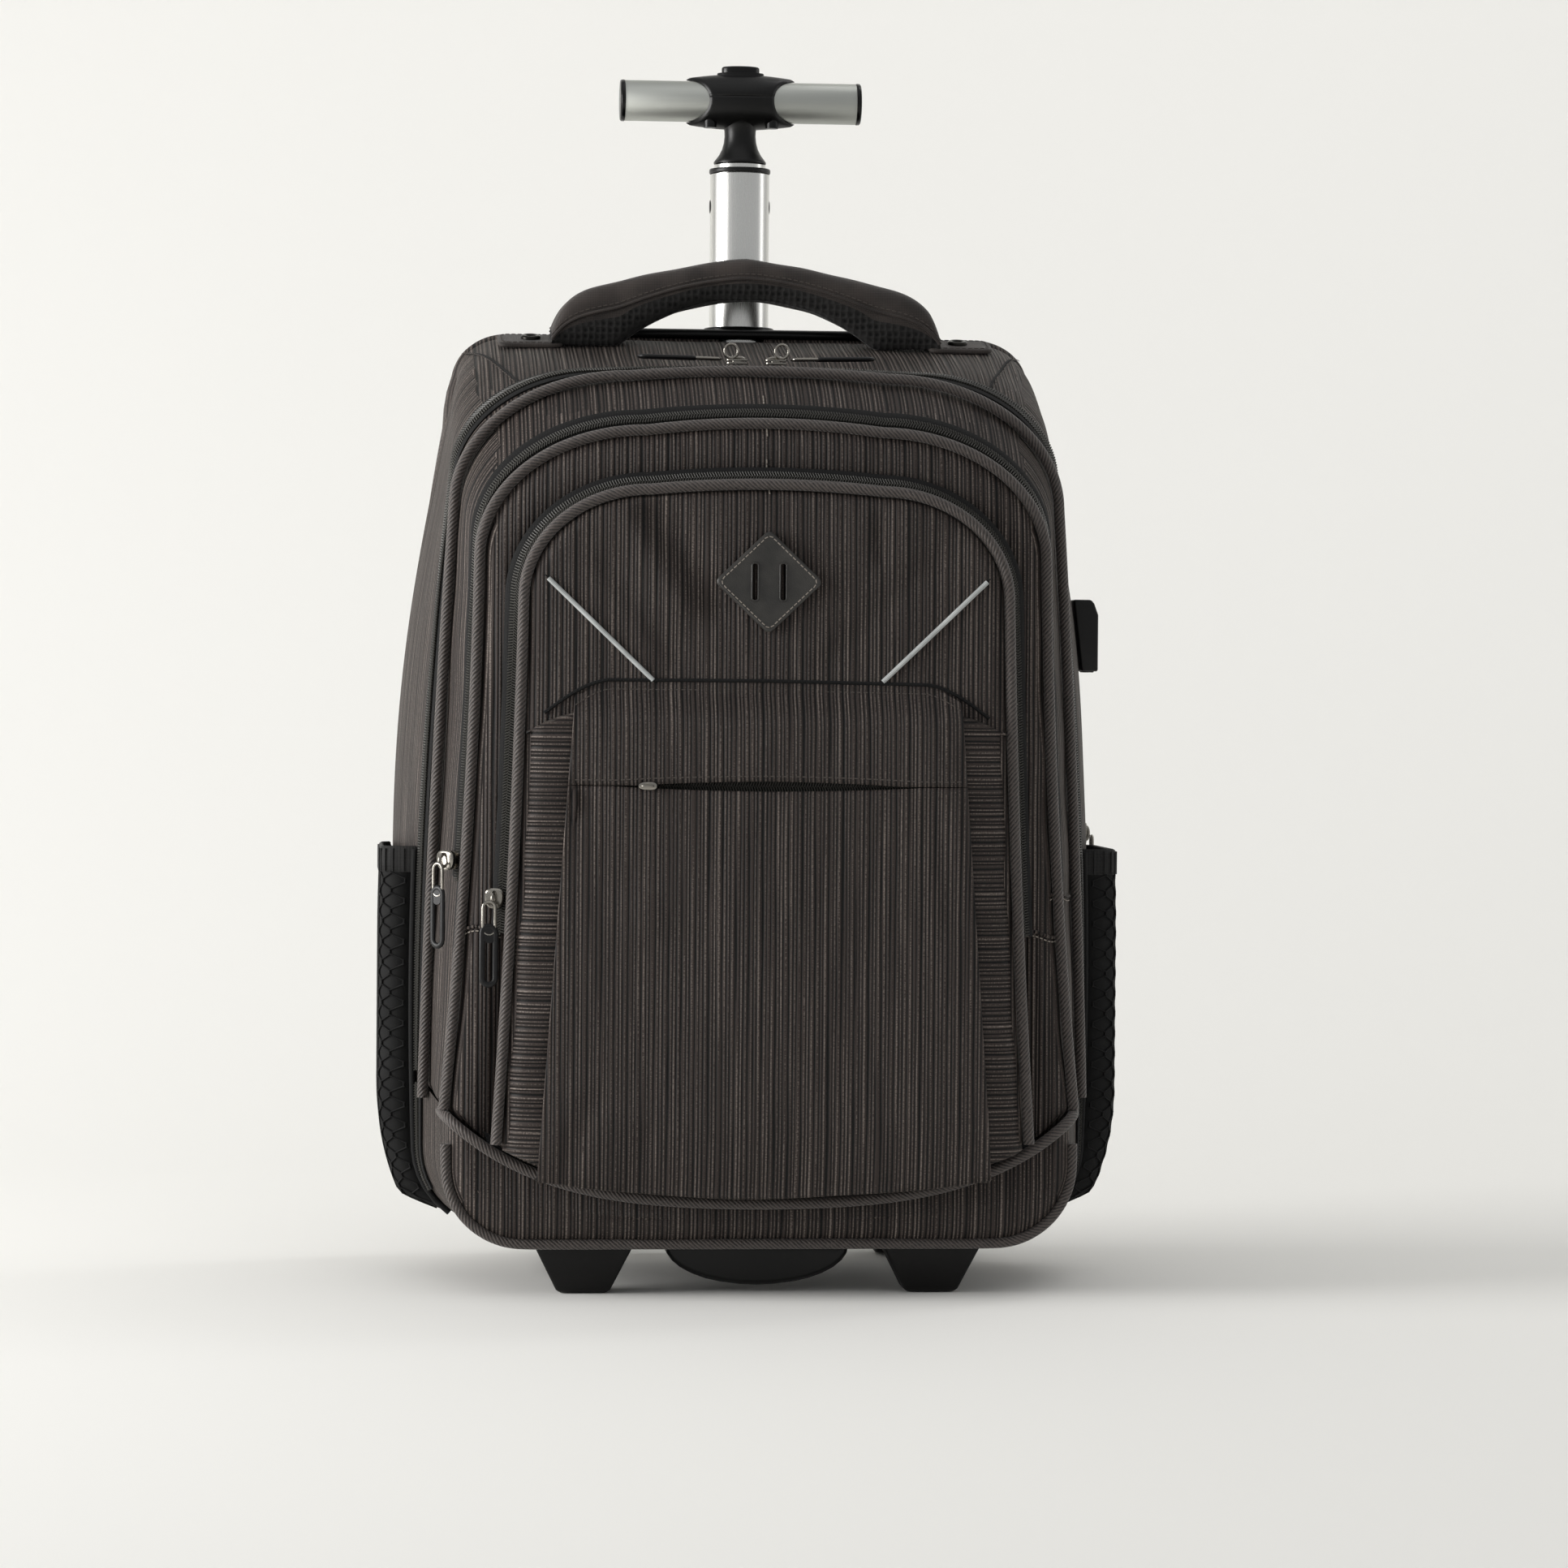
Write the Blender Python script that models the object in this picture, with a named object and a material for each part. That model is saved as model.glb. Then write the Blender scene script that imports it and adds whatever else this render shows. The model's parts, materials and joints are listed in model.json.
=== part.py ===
"""Rolling laptop case: a zipped fabric case on a plastic base with two wheels and a telescopic pole.

Metres, +Z up, front towards -Y, origin on the floor under the middle of the case.
"""
import math

import bmesh
import bpy
from mathutils import Matrix, Vector

GAP = 0.0003              # clearance between pieces that touch
WALL = 0.003              # padded fabric wall of the case
PIPING_RADIUS = 0.0028
SIDE_POINTS = 7           # points along each side of a case outline
CORNER_POINTS = 5         # points round each corner of a case outline

# Case outlines, front to back: y, top z, half widths low, middle and high, corner radii.
CASE_BOTTOM = 0.0272
SECTION_KEYS = (
    # y, z_top, half_low, half_mid, half_high, r_low, r_high_x, r_high_z, arch
    (-0.0900, 0.4275, 0.1620, 0.1435, 0.1380, 0.038, 0.080, 0.060, 0.0040),
    (-0.0480, 0.4580, 0.1660, 0.1590, 0.1460, 0.043, 0.085, 0.062, 0.0030),
    (-0.0100, 0.4690, 0.1680, 0.1740, 0.1480, 0.043, 0.055, 0.045, 0.0010),
    (0.0300, 0.4800, 0.1680, 0.1810, 0.1470, 0.043, 0.030, 0.030, 0.0000),
    (0.0615, 0.4880, 0.1660, 0.1820, 0.1450, 0.040, 0.024, 0.020, 0.0000),
)
FRONT_EDGE = -0.0300      # seam of the main zip, where the front section parts from the case
PIPING_MAIN_Y = -0.0480
GUSSET_FRONT = -0.0900
CASE_BACK = 0.0615
SMILE_Z = 0.0500          # bottom seam of the front section, at the middle
SMILE_BEND = 0.60         # how the seam rises towards the sides: square and fourth-power shares
SMILE_SWEEP = 46.0
SEAM_FOOT = 0.1050        # the front section's zips and piping end above this height

ORGANISER_TOP = 0.3990
ORGANISER_HALF_LOW = 0.1335
ORGANISER_HALF_HIGH = 0.1170
ORGANISER_RADIUS = 0.060
ORGANISER_FRONT = -0.1120
POCKET_TOP = 0.3060
POCKET_BOTTOM = 0.0530
POCKET_CORNER_RISE = 0.0085
POCKET_HALF_LOW = 0.1130
POCKET_HALF_HIGH = 0.1040
POCKET_FRONT = -0.1230
POCKET_WALL = 0.0025
SLIT_Z = 0.2555
SLIT_HEIGHT = 0.0054
SLIT_HALF = 0.0750
PATCH_Z = 0.3565
PATCH_HALF_WIDTH = 0.0270
PATCH_HALF_HEIGHT = 0.0260
PATCH_THICKNESS = 0.0016

# Wheels, set behind the case and clear of the floor of the rear cavity.
WHEEL_X = 0.0877
WHEEL_RADIUS = 0.0290
WHEEL_Y = CASE_BACK + WHEEL_RADIUS + 0.0060
WHEEL_WIDTH = 0.0200
REAR_BOTTOM = WHEEL_RADIUS * 2 + 0.0075

# Rear cavity that holds the pole.
REAR_FRONT = CASE_BACK + GAP
REAR_BACK = CASE_BACK + 0.0445
REAR_MIDDLE = CASE_BACK + 0.0185
REAR_TOP = 0.4885
REAR_HALF_LOW = 0.1600
REAR_HALF_MID = 0.1720
REAR_HALF_HIGH = 0.1440
BACK_PAD_THICKNESS = 0.0080
BACK_BACK = REAR_BACK + GAP + BACK_PAD_THICKNESS

# Pole and handle.
POLE_Y = CASE_BACK + 0.0230
TUBE_WALL = 0.0012
TUBE_CLEARANCE = 0.0008
INNER_RADIUS = 0.0138
MID_RADIUS = INNER_RADIUS + TUBE_CLEARANCE + TUBE_WALL
OUTER_RADIUS = MID_RADIUS + TUBE_CLEARANCE + TUBE_WALL
OUTER_BOTTOM = 0.0400
BEZEL_THICKNESS = 0.0052
BEZEL_TOP = REAR_TOP + GAP + BEZEL_THICKNESS
BEZEL_HALF_WIDTH = 0.0790
MID_TOP = 0.5778
MID_LENGTH = 0.4378
COLLAR_HEIGHT = 0.0024
INNER_TOP = 0.5829
INNER_LENGTH = 0.4300
BAR_Z = 0.6163
BAR_RADIUS = 0.0108
BAR_HALF = 0.0619
CAP_THICKNESS = 0.0022
HUB_HALF_LENGTH = 0.0290
HUB_RADIUS = 0.0144
HUB_END_RADIUS = 0.0128
HUB_SPLIT_Z = 0.6185
NECK_RADIUS = 0.0083
BUTTON_TOP = 0.6351
BUTTON_HALF_X = 0.0106
BUTTON_HALF_Y = 0.0058
BUTTON_TRAVEL = 0.0020
ROD_RADIUS = 0.0030

# Base, feet and wheels.
PLATE_BOTTOM = 0.0240
PLATE_THICKNESS = CASE_BOTTOM - GAP - PLATE_BOTTOM
PLATE_FRONT = -0.0850
PLATE_HALF = 0.1228
FOOT_X = 0.0877
FOOT_TOP_HALF = 0.0245
FOOT_BOTTOM_HALF = 0.0125
FOOT_FRONT = -0.0840
FOOT_BACK = -0.0540
GRIP_HALF = 0.0465
GRIP_LOW = 0.0035
RIM_RADIUS = WHEEL_RADIUS - 0.0080
AXLE_RADIUS = 0.0030
WELL_HALF = WHEEL_WIDTH / 2 + 0.0020
HOUSING_HALF = WELL_HALF + 0.0050
HOUSING_TOP = REAR_BOTTOM - GAP
HOUSING_BOTTOM = 0.0200

# Grab handle.
HANDLE_Y = 0.0430
HANDLE_DEPTH = 0.0260
HANDLE_APEX = 0.5290
HANDLE_UNDER = 0.5070
HANDLE_HALF = 0.1020
TAB_HALF = 0.1300
TAB_THICKNESS = 0.0025
RIVET_X = 0.1125
SHEAR_HEIGHT = 0.0150     # over this height the handle turns from the sloping top to upright

# Side pockets.
NET_FRONT = -0.0230
NET_BACK = 0.0530
NET_TOP = 0.2215
NET_BOTTOM = 0.0350
NET_HALF = 0.1906
NET_WALL = 0.0015

# Charging port housing on the +X side.
PORT_Y = 0.0400
PORT_LOW = 0.3143
PORT_HIGH = 0.3520
PORT_OUTER = 0.1872
PORT_DEPTH = 0.0200
SOCKET_WIDTH = 0.0124
SOCKET_THICKNESS = 0.0050
SOCKET_DEPTH = 0.0150

# Zip sliders and pullers.
MIDDLE_SLIDER_Z = 0.2170
FRONT_SLIDER_Z = 0.1990
TOP_SLIDER_X = 0.0100
REAR_SLIDER_Z = 0.2280
PULLER_LIFT = 0.0022
ZIP_PROUD = 0.0024        # how far a zip's band stands off the fabric

CHARCOAL = (0.042, 0.035, 0.032)
BLACK = (0.006, 0.006, 0.006)


# ---------------------------------------------------------------- small tools

def clear_scene():
    for item in list(bpy.data.objects):
        bpy.data.objects.remove(item)


def finish_material(name, colour, roughness, metallic=0.0):
    material = bpy.data.materials.new(name)
    material.use_nodes = True
    shader = material.node_tree.nodes["Principled BSDF"]
    shader.inputs["Base Color"].default_value = (*colour, 1.0)
    shader.inputs["Roughness"].default_value = roughness
    shader.inputs["Metallic"].default_value = metallic
    return material


def add_mesh(name, bm, colour, roughness=0.8, metallic=0.0, smooth=False):
    """Turn a bmesh into a named object with its own material."""
    bmesh.ops.recalc_face_normals(bm, faces=bm.faces)
    mesh = bpy.data.meshes.new(name)
    bm.to_mesh(mesh)
    bm.free()
    if smooth:
        mesh.shade_smooth()
        mesh.set_sharp_from_angle(angle=math.radians(35))
    item = bpy.data.objects.new(name, mesh)
    bpy.context.scene.collection.objects.link(item)
    mesh.materials.append(finish_material(name + "_finish", colour, roughness, metallic))
    return item


def move_origin(item, point):
    """Put an object's origin on a point without moving its shape."""
    place = Vector(point)
    item.data.transform(Matrix.Translation(-place))
    item.location = place


def loft(rings, closed_loop=False):
    """Skin rings of equal length; the two ends are capped unless the rings close on themselves."""
    bm = bmesh.new()
    loops = [[bm.verts.new(point) for point in ring] for ring in rings]
    pairs = list(zip(loops, loops[1:]))
    if closed_loop:
        pairs.append((loops[-1], loops[0]))
    for first, second in pairs:
        count = len(first)
        for k in range(count):
            nxt = (k + 1) % count
            bm.faces.new((first[k], first[nxt], second[nxt], second[k]))
    if not closed_loop:
        bm.faces.new(list(reversed(loops[0])))
        bm.faces.new(loops[-1])
    return bm


def box(low, high):
    """A plain box between two corners."""
    bm = bmesh.new()
    bmesh.ops.create_cube(bm, size=1.0)
    size = Vector(high) - Vector(low)
    middle = (Vector(high) + Vector(low)) / 2
    bmesh.ops.scale(bm, vec=size, verts=bm.verts)
    bmesh.ops.translate(bm, vec=middle, verts=bm.verts)
    return bm


def turned(profile, segments, centre, axis="Z"):
    """Revolve (radius, height) points about an axis through centre; a closed profile makes a ring."""
    turn = {"X": Matrix.Rotation(math.pi / 2, 3, "Y"), "Y": Matrix.Rotation(-math.pi / 2, 3, "X")}
    rotation = turn.get(axis, Matrix.Identity(3))
    place = Vector(centre)
    rings = []
    for radius, height in profile:
        ring = []
        for k in range(segments):
            angle = 2 * math.pi * k / segments
            point = Vector((radius * math.cos(angle), radius * math.sin(angle), height))
            ring.append(place + rotation @ point)
        rings.append(ring)
    return rings


def solid_turned(profile, segments, centre, axis="Z"):
    return loft(turned(profile, segments, centre, axis))


def tube_turned(outer, inner, low, high, segments, centre, axis="Z"):
    """A straight tube between two heights along its axis."""
    profile = [(outer, low), (outer, high), (inner, high), (inner, low)]
    return loft(turned(profile, segments, centre, axis), closed_loop=True)


def cut(item, cutter_bm, name):
    """Subtract a cutter from an object and keep the result as its mesh."""
    cutter = add_mesh(name, cutter_bm, BLACK)
    cutter.hide_render = True
    cutter.display_type = "WIRE"
    modifier = item.modifiers.new(name, "BOOLEAN")
    modifier.operation = "DIFFERENCE"
    modifier.solver = "EXACT"
    modifier.object = cutter


def join_solid(item, other_bm, name):
    """Fuse another solid into an object."""
    other = add_mesh(name, other_bm, BLACK)
    other.hide_render = True
    other.display_type = "WIRE"
    modifier = item.modifiers.new(name, "BOOLEAN")
    modifier.operation = "UNION"
    modifier.solver = "EXACT"
    modifier.object = other


def round_edges(item, width, segments=2):
    modifier = item.modifiers.new("round", "BEVEL")
    modifier.width = width
    modifier.segments = segments
    modifier.limit_method = "ANGLE"
    modifier.angle_limit = math.radians(40)


def cord_curve(name, points, radius, colour, cyclic=False, resolution=1, roughness=0.8):
    """A round piped edge along a path."""
    curve = bpy.data.curves.new(name, "CURVE")
    curve.dimensions = "3D"
    spline = curve.splines.new("POLY")
    spline.points.add(len(points) - 1)
    for spot, point in zip(spline.points, points):
        spot.co = (*point, 1.0)
    spline.use_cyclic_u = cyclic
    curve.bevel_depth = radius
    curve.bevel_resolution = resolution
    curve.use_fill_caps = not cyclic
    curve.materials.append(finish_material(name + "_finish", colour, roughness))
    item = bpy.data.objects.new(name, curve)
    bpy.context.scene.collection.objects.link(item)
    return item


def blend_values(first, second, share):
    return tuple(a + (b - a) * share for a, b in zip(first, second))


# ---------------------------------------------------------------- case outlines

def section_at(y):
    """Outline values of the case at a depth, between the key sections."""
    if y <= SECTION_KEYS[0][0]:
        return SECTION_KEYS[0][1:]
    for first, second in zip(SECTION_KEYS, SECTION_KEYS[1:]):
        if y <= second[0]:
            return blend_values(first[1:], second[1:], (y - first[0]) / (second[0] - first[0]))
    return SECTION_KEYS[-1][1:]


def through_three(z, low, middle, high, values):
    """Smooth curve through three values at three heights."""
    a = (z - middle) * (z - high) / ((low - middle) * (low - high))
    b = (z - low) * (z - high) / ((middle - low) * (middle - high))
    c = (z - low) * (z - middle) / ((high - low) * (high - middle))
    return values[0] * a + values[1] * b + values[2] * c


def side_half(section, z, bottom=CASE_BOTTOM):
    """Half width of an outline's side at a height, corners left out."""
    z_top = section[0]
    return through_three(z, bottom, (bottom + z_top) / 2, z_top, section[1:4])


def smile(x):
    """Height of the front section's curved bottom seam."""
    return SMILE_Z + SMILE_BEND * x ** 2 + SMILE_SWEEP * x ** 4


def outline(section, y, inset=0.0, bottom=CASE_BOTTOM, smile_bottom=False, lift=0.0):
    """Closed outline in the XZ plane at a depth, starting at the middle of its bottom edge."""
    z_top, _, _, _, r_low, r_high_x, r_high_z, arch = section
    z_top -= inset
    r_low = max(r_low - inset, 0.004)
    r_high_x = max(r_high_x - inset, 0.004)
    r_high_z = max(r_high_z - inset, 0.004)

    def side(z):
        return side_half(section, z, bottom) - inset

    floor = bottom + inset
    if smile_bottom:
        r_low = 0.010
        floor = smile(0.15) + inset + lift
        half_low = side(floor)
        floor = smile(half_low) + 0.004 + inset + lift - r_low
        half_low = side(floor + r_low)
    else:
        half_low = side(floor + r_low)
    right = []
    for k in range(SIDE_POINTS):
        x = (half_low - r_low) * k / SIDE_POINTS
        z = smile(x) + inset + lift if smile_bottom else floor
        right.append((x, z))
    for k in range(CORNER_POINTS + 1):
        angle = -math.pi / 2 + math.pi / 2 * k / CORNER_POINTS
        x = half_low - r_low + r_low * math.cos(angle)
        z = floor + r_low + r_low * math.sin(angle)
        if smile_bottom:
            z = smile(x) + inset + lift + 0.004 * (1 + math.sin(angle))
        right.append((x, z))
    side_top = z_top - r_high_z
    for k in range(1, SIDE_POINTS):
        z = floor + r_low + (side_top - floor - r_low) * k / SIDE_POINTS
        right.append((side(z), z))
    half_top = side(side_top)
    for k in range(CORNER_POINTS + 3):
        angle = math.pi / 2 * k / (CORNER_POINTS + 2)
        x = half_top - r_high_x + r_high_x * math.cos(angle)
        right.append((x, side_top + r_high_z * math.sin(angle)))
    run = half_top - r_high_x
    for k in range(1, SIDE_POINTS):
        x = run * (1 - k / (SIDE_POINTS - 1))
        right.append((x, z_top + arch * (1 - (x / run) ** 2)))
    left = [(-x, z) for x, z in reversed(right[1:-1])]
    return [Vector((x, y, z)) for x, z in right + left]


def grow(points, distance):
    """Move an outline outwards in its own plane."""
    count = len(points)
    moved = []
    for k in range(count):
        ahead = points[(k + 1) % count]
        behind = points[k - 1]
        along = (ahead - behind).normalized()
        moved.append(points[k] + Vector((along.z, 0.0, -along.x)) * distance)
    return moved


def case_outline(y, inset=0.0, **options):
    return outline(section_at(y), y, inset, **options)


def bucket(outer, inner):
    """Open box: outer rings from the mouth to the closed end, inner rings back to the mouth."""
    return loft_bucket(outer + list(reversed(inner)))


def loft_bucket(rings):
    """Skin a folded stack of rings: the mouth is its first and last ring, the floor its middle."""
    half = len(rings) // 2
    bm = bmesh.new()
    loops = [[bm.verts.new(point) for point in ring] for ring in rings]

    def skin(first, second):
        count = len(first)
        for k in range(count):
            nxt = (k + 1) % count
            bm.faces.new((first[k], first[nxt], second[nxt], second[k]))

    for k in range(half - 1):
        skin(loops[k], loops[k + 1])
    for k in range(half, len(rings) - 1):
        skin(loops[k], loops[k + 1])
    skin(loops[-1], loops[0])
    bm.faces.new(loops[half - 1])
    bm.faces.new(list(reversed(loops[half])))
    return bm


# ---------------------------------------------------------------- case body

def build_main_shell():
    depths = (FRONT_EDGE + GAP, -0.010, 0.012, 0.034, 0.054)
    outer = [case_outline(y) for y in depths]
    outer.append(case_outline(CASE_BACK, 0.003))
    inner = [case_outline(y, WALL) for y in depths]
    inner.append([Vector((p.x, CASE_BACK - WALL, p.z)) for p in case_outline(0.054, WALL + 0.002)])
    add_mesh("main_shell", bucket(outer, inner), CHARCOAL, smooth=True)


def build_bottom_band():
    """Strip of the case under the front section's curved bottom seam."""
    rings = []
    for y, inset in ((-0.0960, 0.008), (-0.0930, 0.003), (-0.0880, 0.0), (-0.048, 0.0), (FRONT_EDGE, 0.0)):
        section = section_at(y)
        half = side_half(section, CASE_BOTTOM + 0.05) - inset
        radius = section[4] - inset
        low = [(half * 0.72 * k / 5, CASE_BOTTOM + inset) for k in range(5)]
        for k in range(8):
            angle = -math.pi / 2 + math.pi / 2 * k / 7
            low.append((half - radius + radius * math.cos(angle),
                        CASE_BOTTOM + inset + radius + radius * math.sin(angle)))
        high = []
        for k in range(17):
            x = half * (1 - k / 16)
            high.append((x, smile(x) - GAP * 3 - inset * 0.4))
        right = low + high
        left = [(-x, z) for x, z in reversed(right[1:-1])]
        rings.append([Vector((x, y, z)) for x, z in right + left])
    add_mesh("bottom_band", loft(rings), CHARCOAL, smooth=True)


def rear_section():
    return (REAR_TOP, REAR_HALF_LOW, REAR_HALF_MID, REAR_HALF_HIGH, 0.020, 0.024, 0.020, 0.0)


def rear_outline(y, inset=0.0):
    return outline(rear_section(), y, inset, bottom=REAR_BOTTOM)


def build_rear_shell():
    outer = [rear_outline(REAR_BACK), rear_outline(REAR_MIDDLE), rear_outline(REAR_FRONT + 0.004),
             rear_outline(REAR_FRONT, 0.003)]
    inner_front = REAR_FRONT + WALL
    inner = [rear_outline(REAR_BACK, WALL), rear_outline(REAR_MIDDLE, WALL),
             rear_outline(inner_front + 0.002, WALL), rear_outline(inner_front, WALL + 0.002)]
    shell = add_mesh("rear_shell", bucket(outer, inner), CHARCOAL, smooth=True)
    bore = solid_turned([(OUTER_RADIUS + GAP, 0.05), (OUTER_RADIUS + GAP, 0.50)], 32, (0, POLE_Y, 0))
    cut(shell, bore, "rear_shell_bore")


def build_back_panel():
    front = REAR_BACK + GAP
    rings = [rear_outline(front, 0.002), rear_outline(front + 0.003, 0.001),
             rear_outline(BACK_BACK - 0.002, 0.003), rear_outline(BACK_BACK, 0.008)]
    add_mesh("back_panel", loft(rings), BLACK, smooth=True)


def build_laptop_divider():
    """Padded divider: the laptop stands between it and the back of the case."""
    low, high = 0.0330, 0.3300
    panel = add_mesh("laptop_divider", box((-0.124, 0.0300, low), (0.124, 0.0360, high)), BLACK)
    round_edges(panel, 0.0025, 1)


# ---------------------------------------------------------------- front section

def lid_outline(y, inset=0.0):
    return case_outline(y, inset, smile_bottom=True, lift=0.0)


def build_front_gusset():
    depths = (FRONT_EDGE, PIPING_MAIN_Y, -0.0690)
    round_in = 0.0020
    outer = [lid_outline(y) for y in depths + (GUSSET_FRONT + round_in,)]
    outer.append([Vector((p.x, GUSSET_FRONT, p.z)) for p in lid_outline(GUSSET_FRONT, round_in)])
    inner = [lid_outline(y, WALL) for y in depths + (GUSSET_FRONT + WALL + round_in,)]
    inner.append([Vector((p.x, GUSSET_FRONT + WALL, p.z)) for p in lid_outline(GUSSET_FRONT, WALL + round_in)])
    add_mesh("front_gusset", bucket(outer, inner), CHARCOAL, smooth=True)


def organiser_section():
    middle = (ORGANISER_HALF_LOW + ORGANISER_HALF_HIGH) / 2 - 0.003
    return (ORGANISER_TOP, ORGANISER_HALF_LOW, middle, ORGANISER_HALF_HIGH,
            0.020, ORGANISER_RADIUS, ORGANISER_RADIUS * 0.85, 0.003)


def organiser_outline(y, inset=0.0):
    return outline(organiser_section(), y, inset, smile_bottom=True, lift=0.002)


def build_organiser():
    back = GUSSET_FRONT - GAP
    rings = [organiser_outline(back, -0.003), organiser_outline(-0.0990, -0.001),
             organiser_outline(-0.1080), organiser_outline(-0.1108, 0.002),
             organiser_outline(ORGANISER_FRONT, 0.006)]
    add_mesh("organiser_panel", loft(rings), CHARCOAL, smooth=True)


def pocket_outline(y, inset=0.0):
    """Front pocket outline: straight sides that lean in towards a rounded top."""
    right = []
    low, high = POCKET_BOTTOM + inset, POCKET_TOP - inset
    half_low, half_high = POCKET_HALF_LOW - inset, POCKET_HALF_HIGH - inset
    radius = 0.014
    for k in range(4):
        right.append((half_low * k / 4, low + POCKET_CORNER_RISE * (k / 4) ** 2))
    for k in range(7):
        share = k / 6
        foot = low + POCKET_CORNER_RISE
        right.append((half_low + (half_high - half_low) * share, foot + (high - radius - foot) * share))
    for k in range(1, 5):
        angle = math.pi / 2 * k / 4
        right.append((half_high - radius + radius * math.cos(angle), high - radius + radius * math.sin(angle)))
    for k in range(1, 4):
        right.append(((half_high - radius) * (1 - k / 3), high))
    left = [(-x, z) for x, z in reversed(right[1:-1])]
    return [Vector((x, y, z)) for x, z in right + left]


def build_front_pocket():
    back = ORGANISER_FRONT - GAP
    outer = [pocket_outline(back), pocket_outline(POCKET_FRONT + 0.004), pocket_outline(POCKET_FRONT, 0.006)]
    inner = [pocket_outline(back, POCKET_WALL), pocket_outline(POCKET_FRONT + 0.005, POCKET_WALL),
             pocket_outline(POCKET_FRONT + POCKET_WALL, POCKET_WALL + 0.005)]
    pocket = add_mesh("front_pocket", bucket(outer, inner), CHARCOAL, smooth=True)
    slit = box((-SLIT_HALF, POCKET_FRONT - 0.004, SLIT_Z - SLIT_HEIGHT / 2),
               (SLIT_HALF, POCKET_FRONT + POCKET_WALL + 0.001, SLIT_Z + SLIT_HEIGHT / 2))
    cut(pocket, slit, "pocket_slit")


def open_part(points, low):
    """The run of an outline above a height, from the right foot over the top to the left foot."""
    kept = [p for p in points if p.z > low]
    right = [p for p in kept if p.x >= 0]
    left = [p for p in kept if p.x < 0]
    return right + left


def build_piping():
    reach = PIPING_RADIUS + GAP * 3
    seam_main = open_part(grow(case_outline(PIPING_MAIN_Y), reach), SEAM_FOOT)
    cord_curve("piping_main", seam_main, PIPING_RADIUS, CHARCOAL)
    seam_middle = open_part(grow(case_outline(GUSSET_FRONT + 0.002), reach), SEAM_FOOT)
    cord_curve("piping_middle", seam_middle, PIPING_RADIUS, CHARCOAL)
    front = [Vector((p.x, -0.1085, p.z)) for p in grow(organiser_outline(-0.1080), reach)]
    cord_curve("piping_front", open_part(front, 0.085), PIPING_RADIUS, CHARCOAL)
    half = side_half(section_at(-0.090), CASE_BOTTOM + 0.05) - 0.012
    bottom = []
    for k in range(25):
        x = half * (2 * k / 24 - 1)
        bottom.append(Vector((x, -0.0966 - PIPING_RADIUS, smile(x) - 0.0042)))
    cord_curve("piping_bottom", bottom, PIPING_RADIUS, CHARCOAL)


def strip_between(name, first, second, lift, thickness, colour):
    """Flat band whose two long edges follow two outlines."""
    base_a, base_b = grow(first, lift), grow(second, lift)
    top_a, top_b = grow(first, lift + thickness), grow(second, lift + thickness)
    rings = []
    for k in range(len(first)):
        rings.append([base_a[k], top_a[k], top_b[k], base_b[k]])
    kept = [ring for ring in rings if ring[0].z > SEAM_FOOT]
    right = [ring for ring in kept if ring[0].x >= 0]
    left = [ring for ring in kept if ring[0].x < 0]
    return add_mesh(name, loft(right + left), colour)


def build_zips():
    lift = GAP * 3
    strip_between("zip_main", case_outline(-0.0350), case_outline(-0.0240), lift, 0.0012, BLACK)
    strip_between("zip_middle", case_outline(-0.0850), case_outline(-0.0740), lift, 0.0012, BLACK)
    low = [Vector((p.x, -0.1040, p.z)) for p in organiser_outline(-0.1040, -0.0005)]
    high = [Vector((p.x, -0.0930, p.z)) for p in organiser_outline(-0.0930, -0.0030)]
    strip_between("zip_front", low, high, lift, 0.0012, BLACK)


def build_patch():
    """Leather diamond with rounded corners."""
    radius = 0.0030
    outline_points = []
    for corner in range(4):
        heading = math.pi / 2 * corner
        centre = Vector((math.cos(heading) * (PATCH_HALF_WIDTH - radius * 1.4), 0,
                         math.sin(heading) * (PATCH_HALF_HEIGHT - radius * 1.4)))
        for k in range(5):
            angle = heading - math.pi / 4 + math.pi / 2 * k / 4
            outline_points.append(centre + Vector((radius * math.cos(angle), 0, radius * math.sin(angle))))
    back = ORGANISER_FRONT - GAP
    rings = []
    for y in (back, back - PATCH_THICKNESS):
        rings.append([Vector((p.x, y, PATCH_Z + p.z)) for p in outline_points])
    add_mesh("diamond_patch", loft(rings), (0.03, 0.028, 0.026), 0.5)


# ---------------------------------------------------------------- pole and handle

def build_pole():
    centre = (0, POLE_Y, 0)
    steel = (0.6, 0.6, 0.6)
    outer = tube_turned(OUTER_RADIUS, OUTER_RADIUS - TUBE_WALL, OUTER_BOTTOM, REAR_TOP - GAP, 28, centre)
    add_mesh("pole_outer_tube", outer, steel, 0.35, 1.0, smooth=True)
    mid = tube_turned(MID_RADIUS, MID_RADIUS - TUBE_WALL, MID_TOP - MID_LENGTH, MID_TOP, 28, centre)
    add_mesh("mid_tube", mid, (0.8, 0.8, 0.79), 0.25, 1.0, smooth=True)
    collar = tube_turned(MID_RADIUS + 0.0004, INNER_RADIUS + GAP, MID_TOP + GAP,
                         MID_TOP + GAP + COLLAR_HEIGHT, 28, centre)
    add_mesh("collar_ring", collar, BLACK, 0.4, smooth=True)
    inner = tube_turned(INNER_RADIUS, INNER_RADIUS - TUBE_WALL, INNER_TOP - INNER_LENGTH, INNER_TOP, 28, centre)
    add_mesh("inner_tube", inner, (0.8, 0.8, 0.79), 0.25, 1.0, smooth=True)


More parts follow.
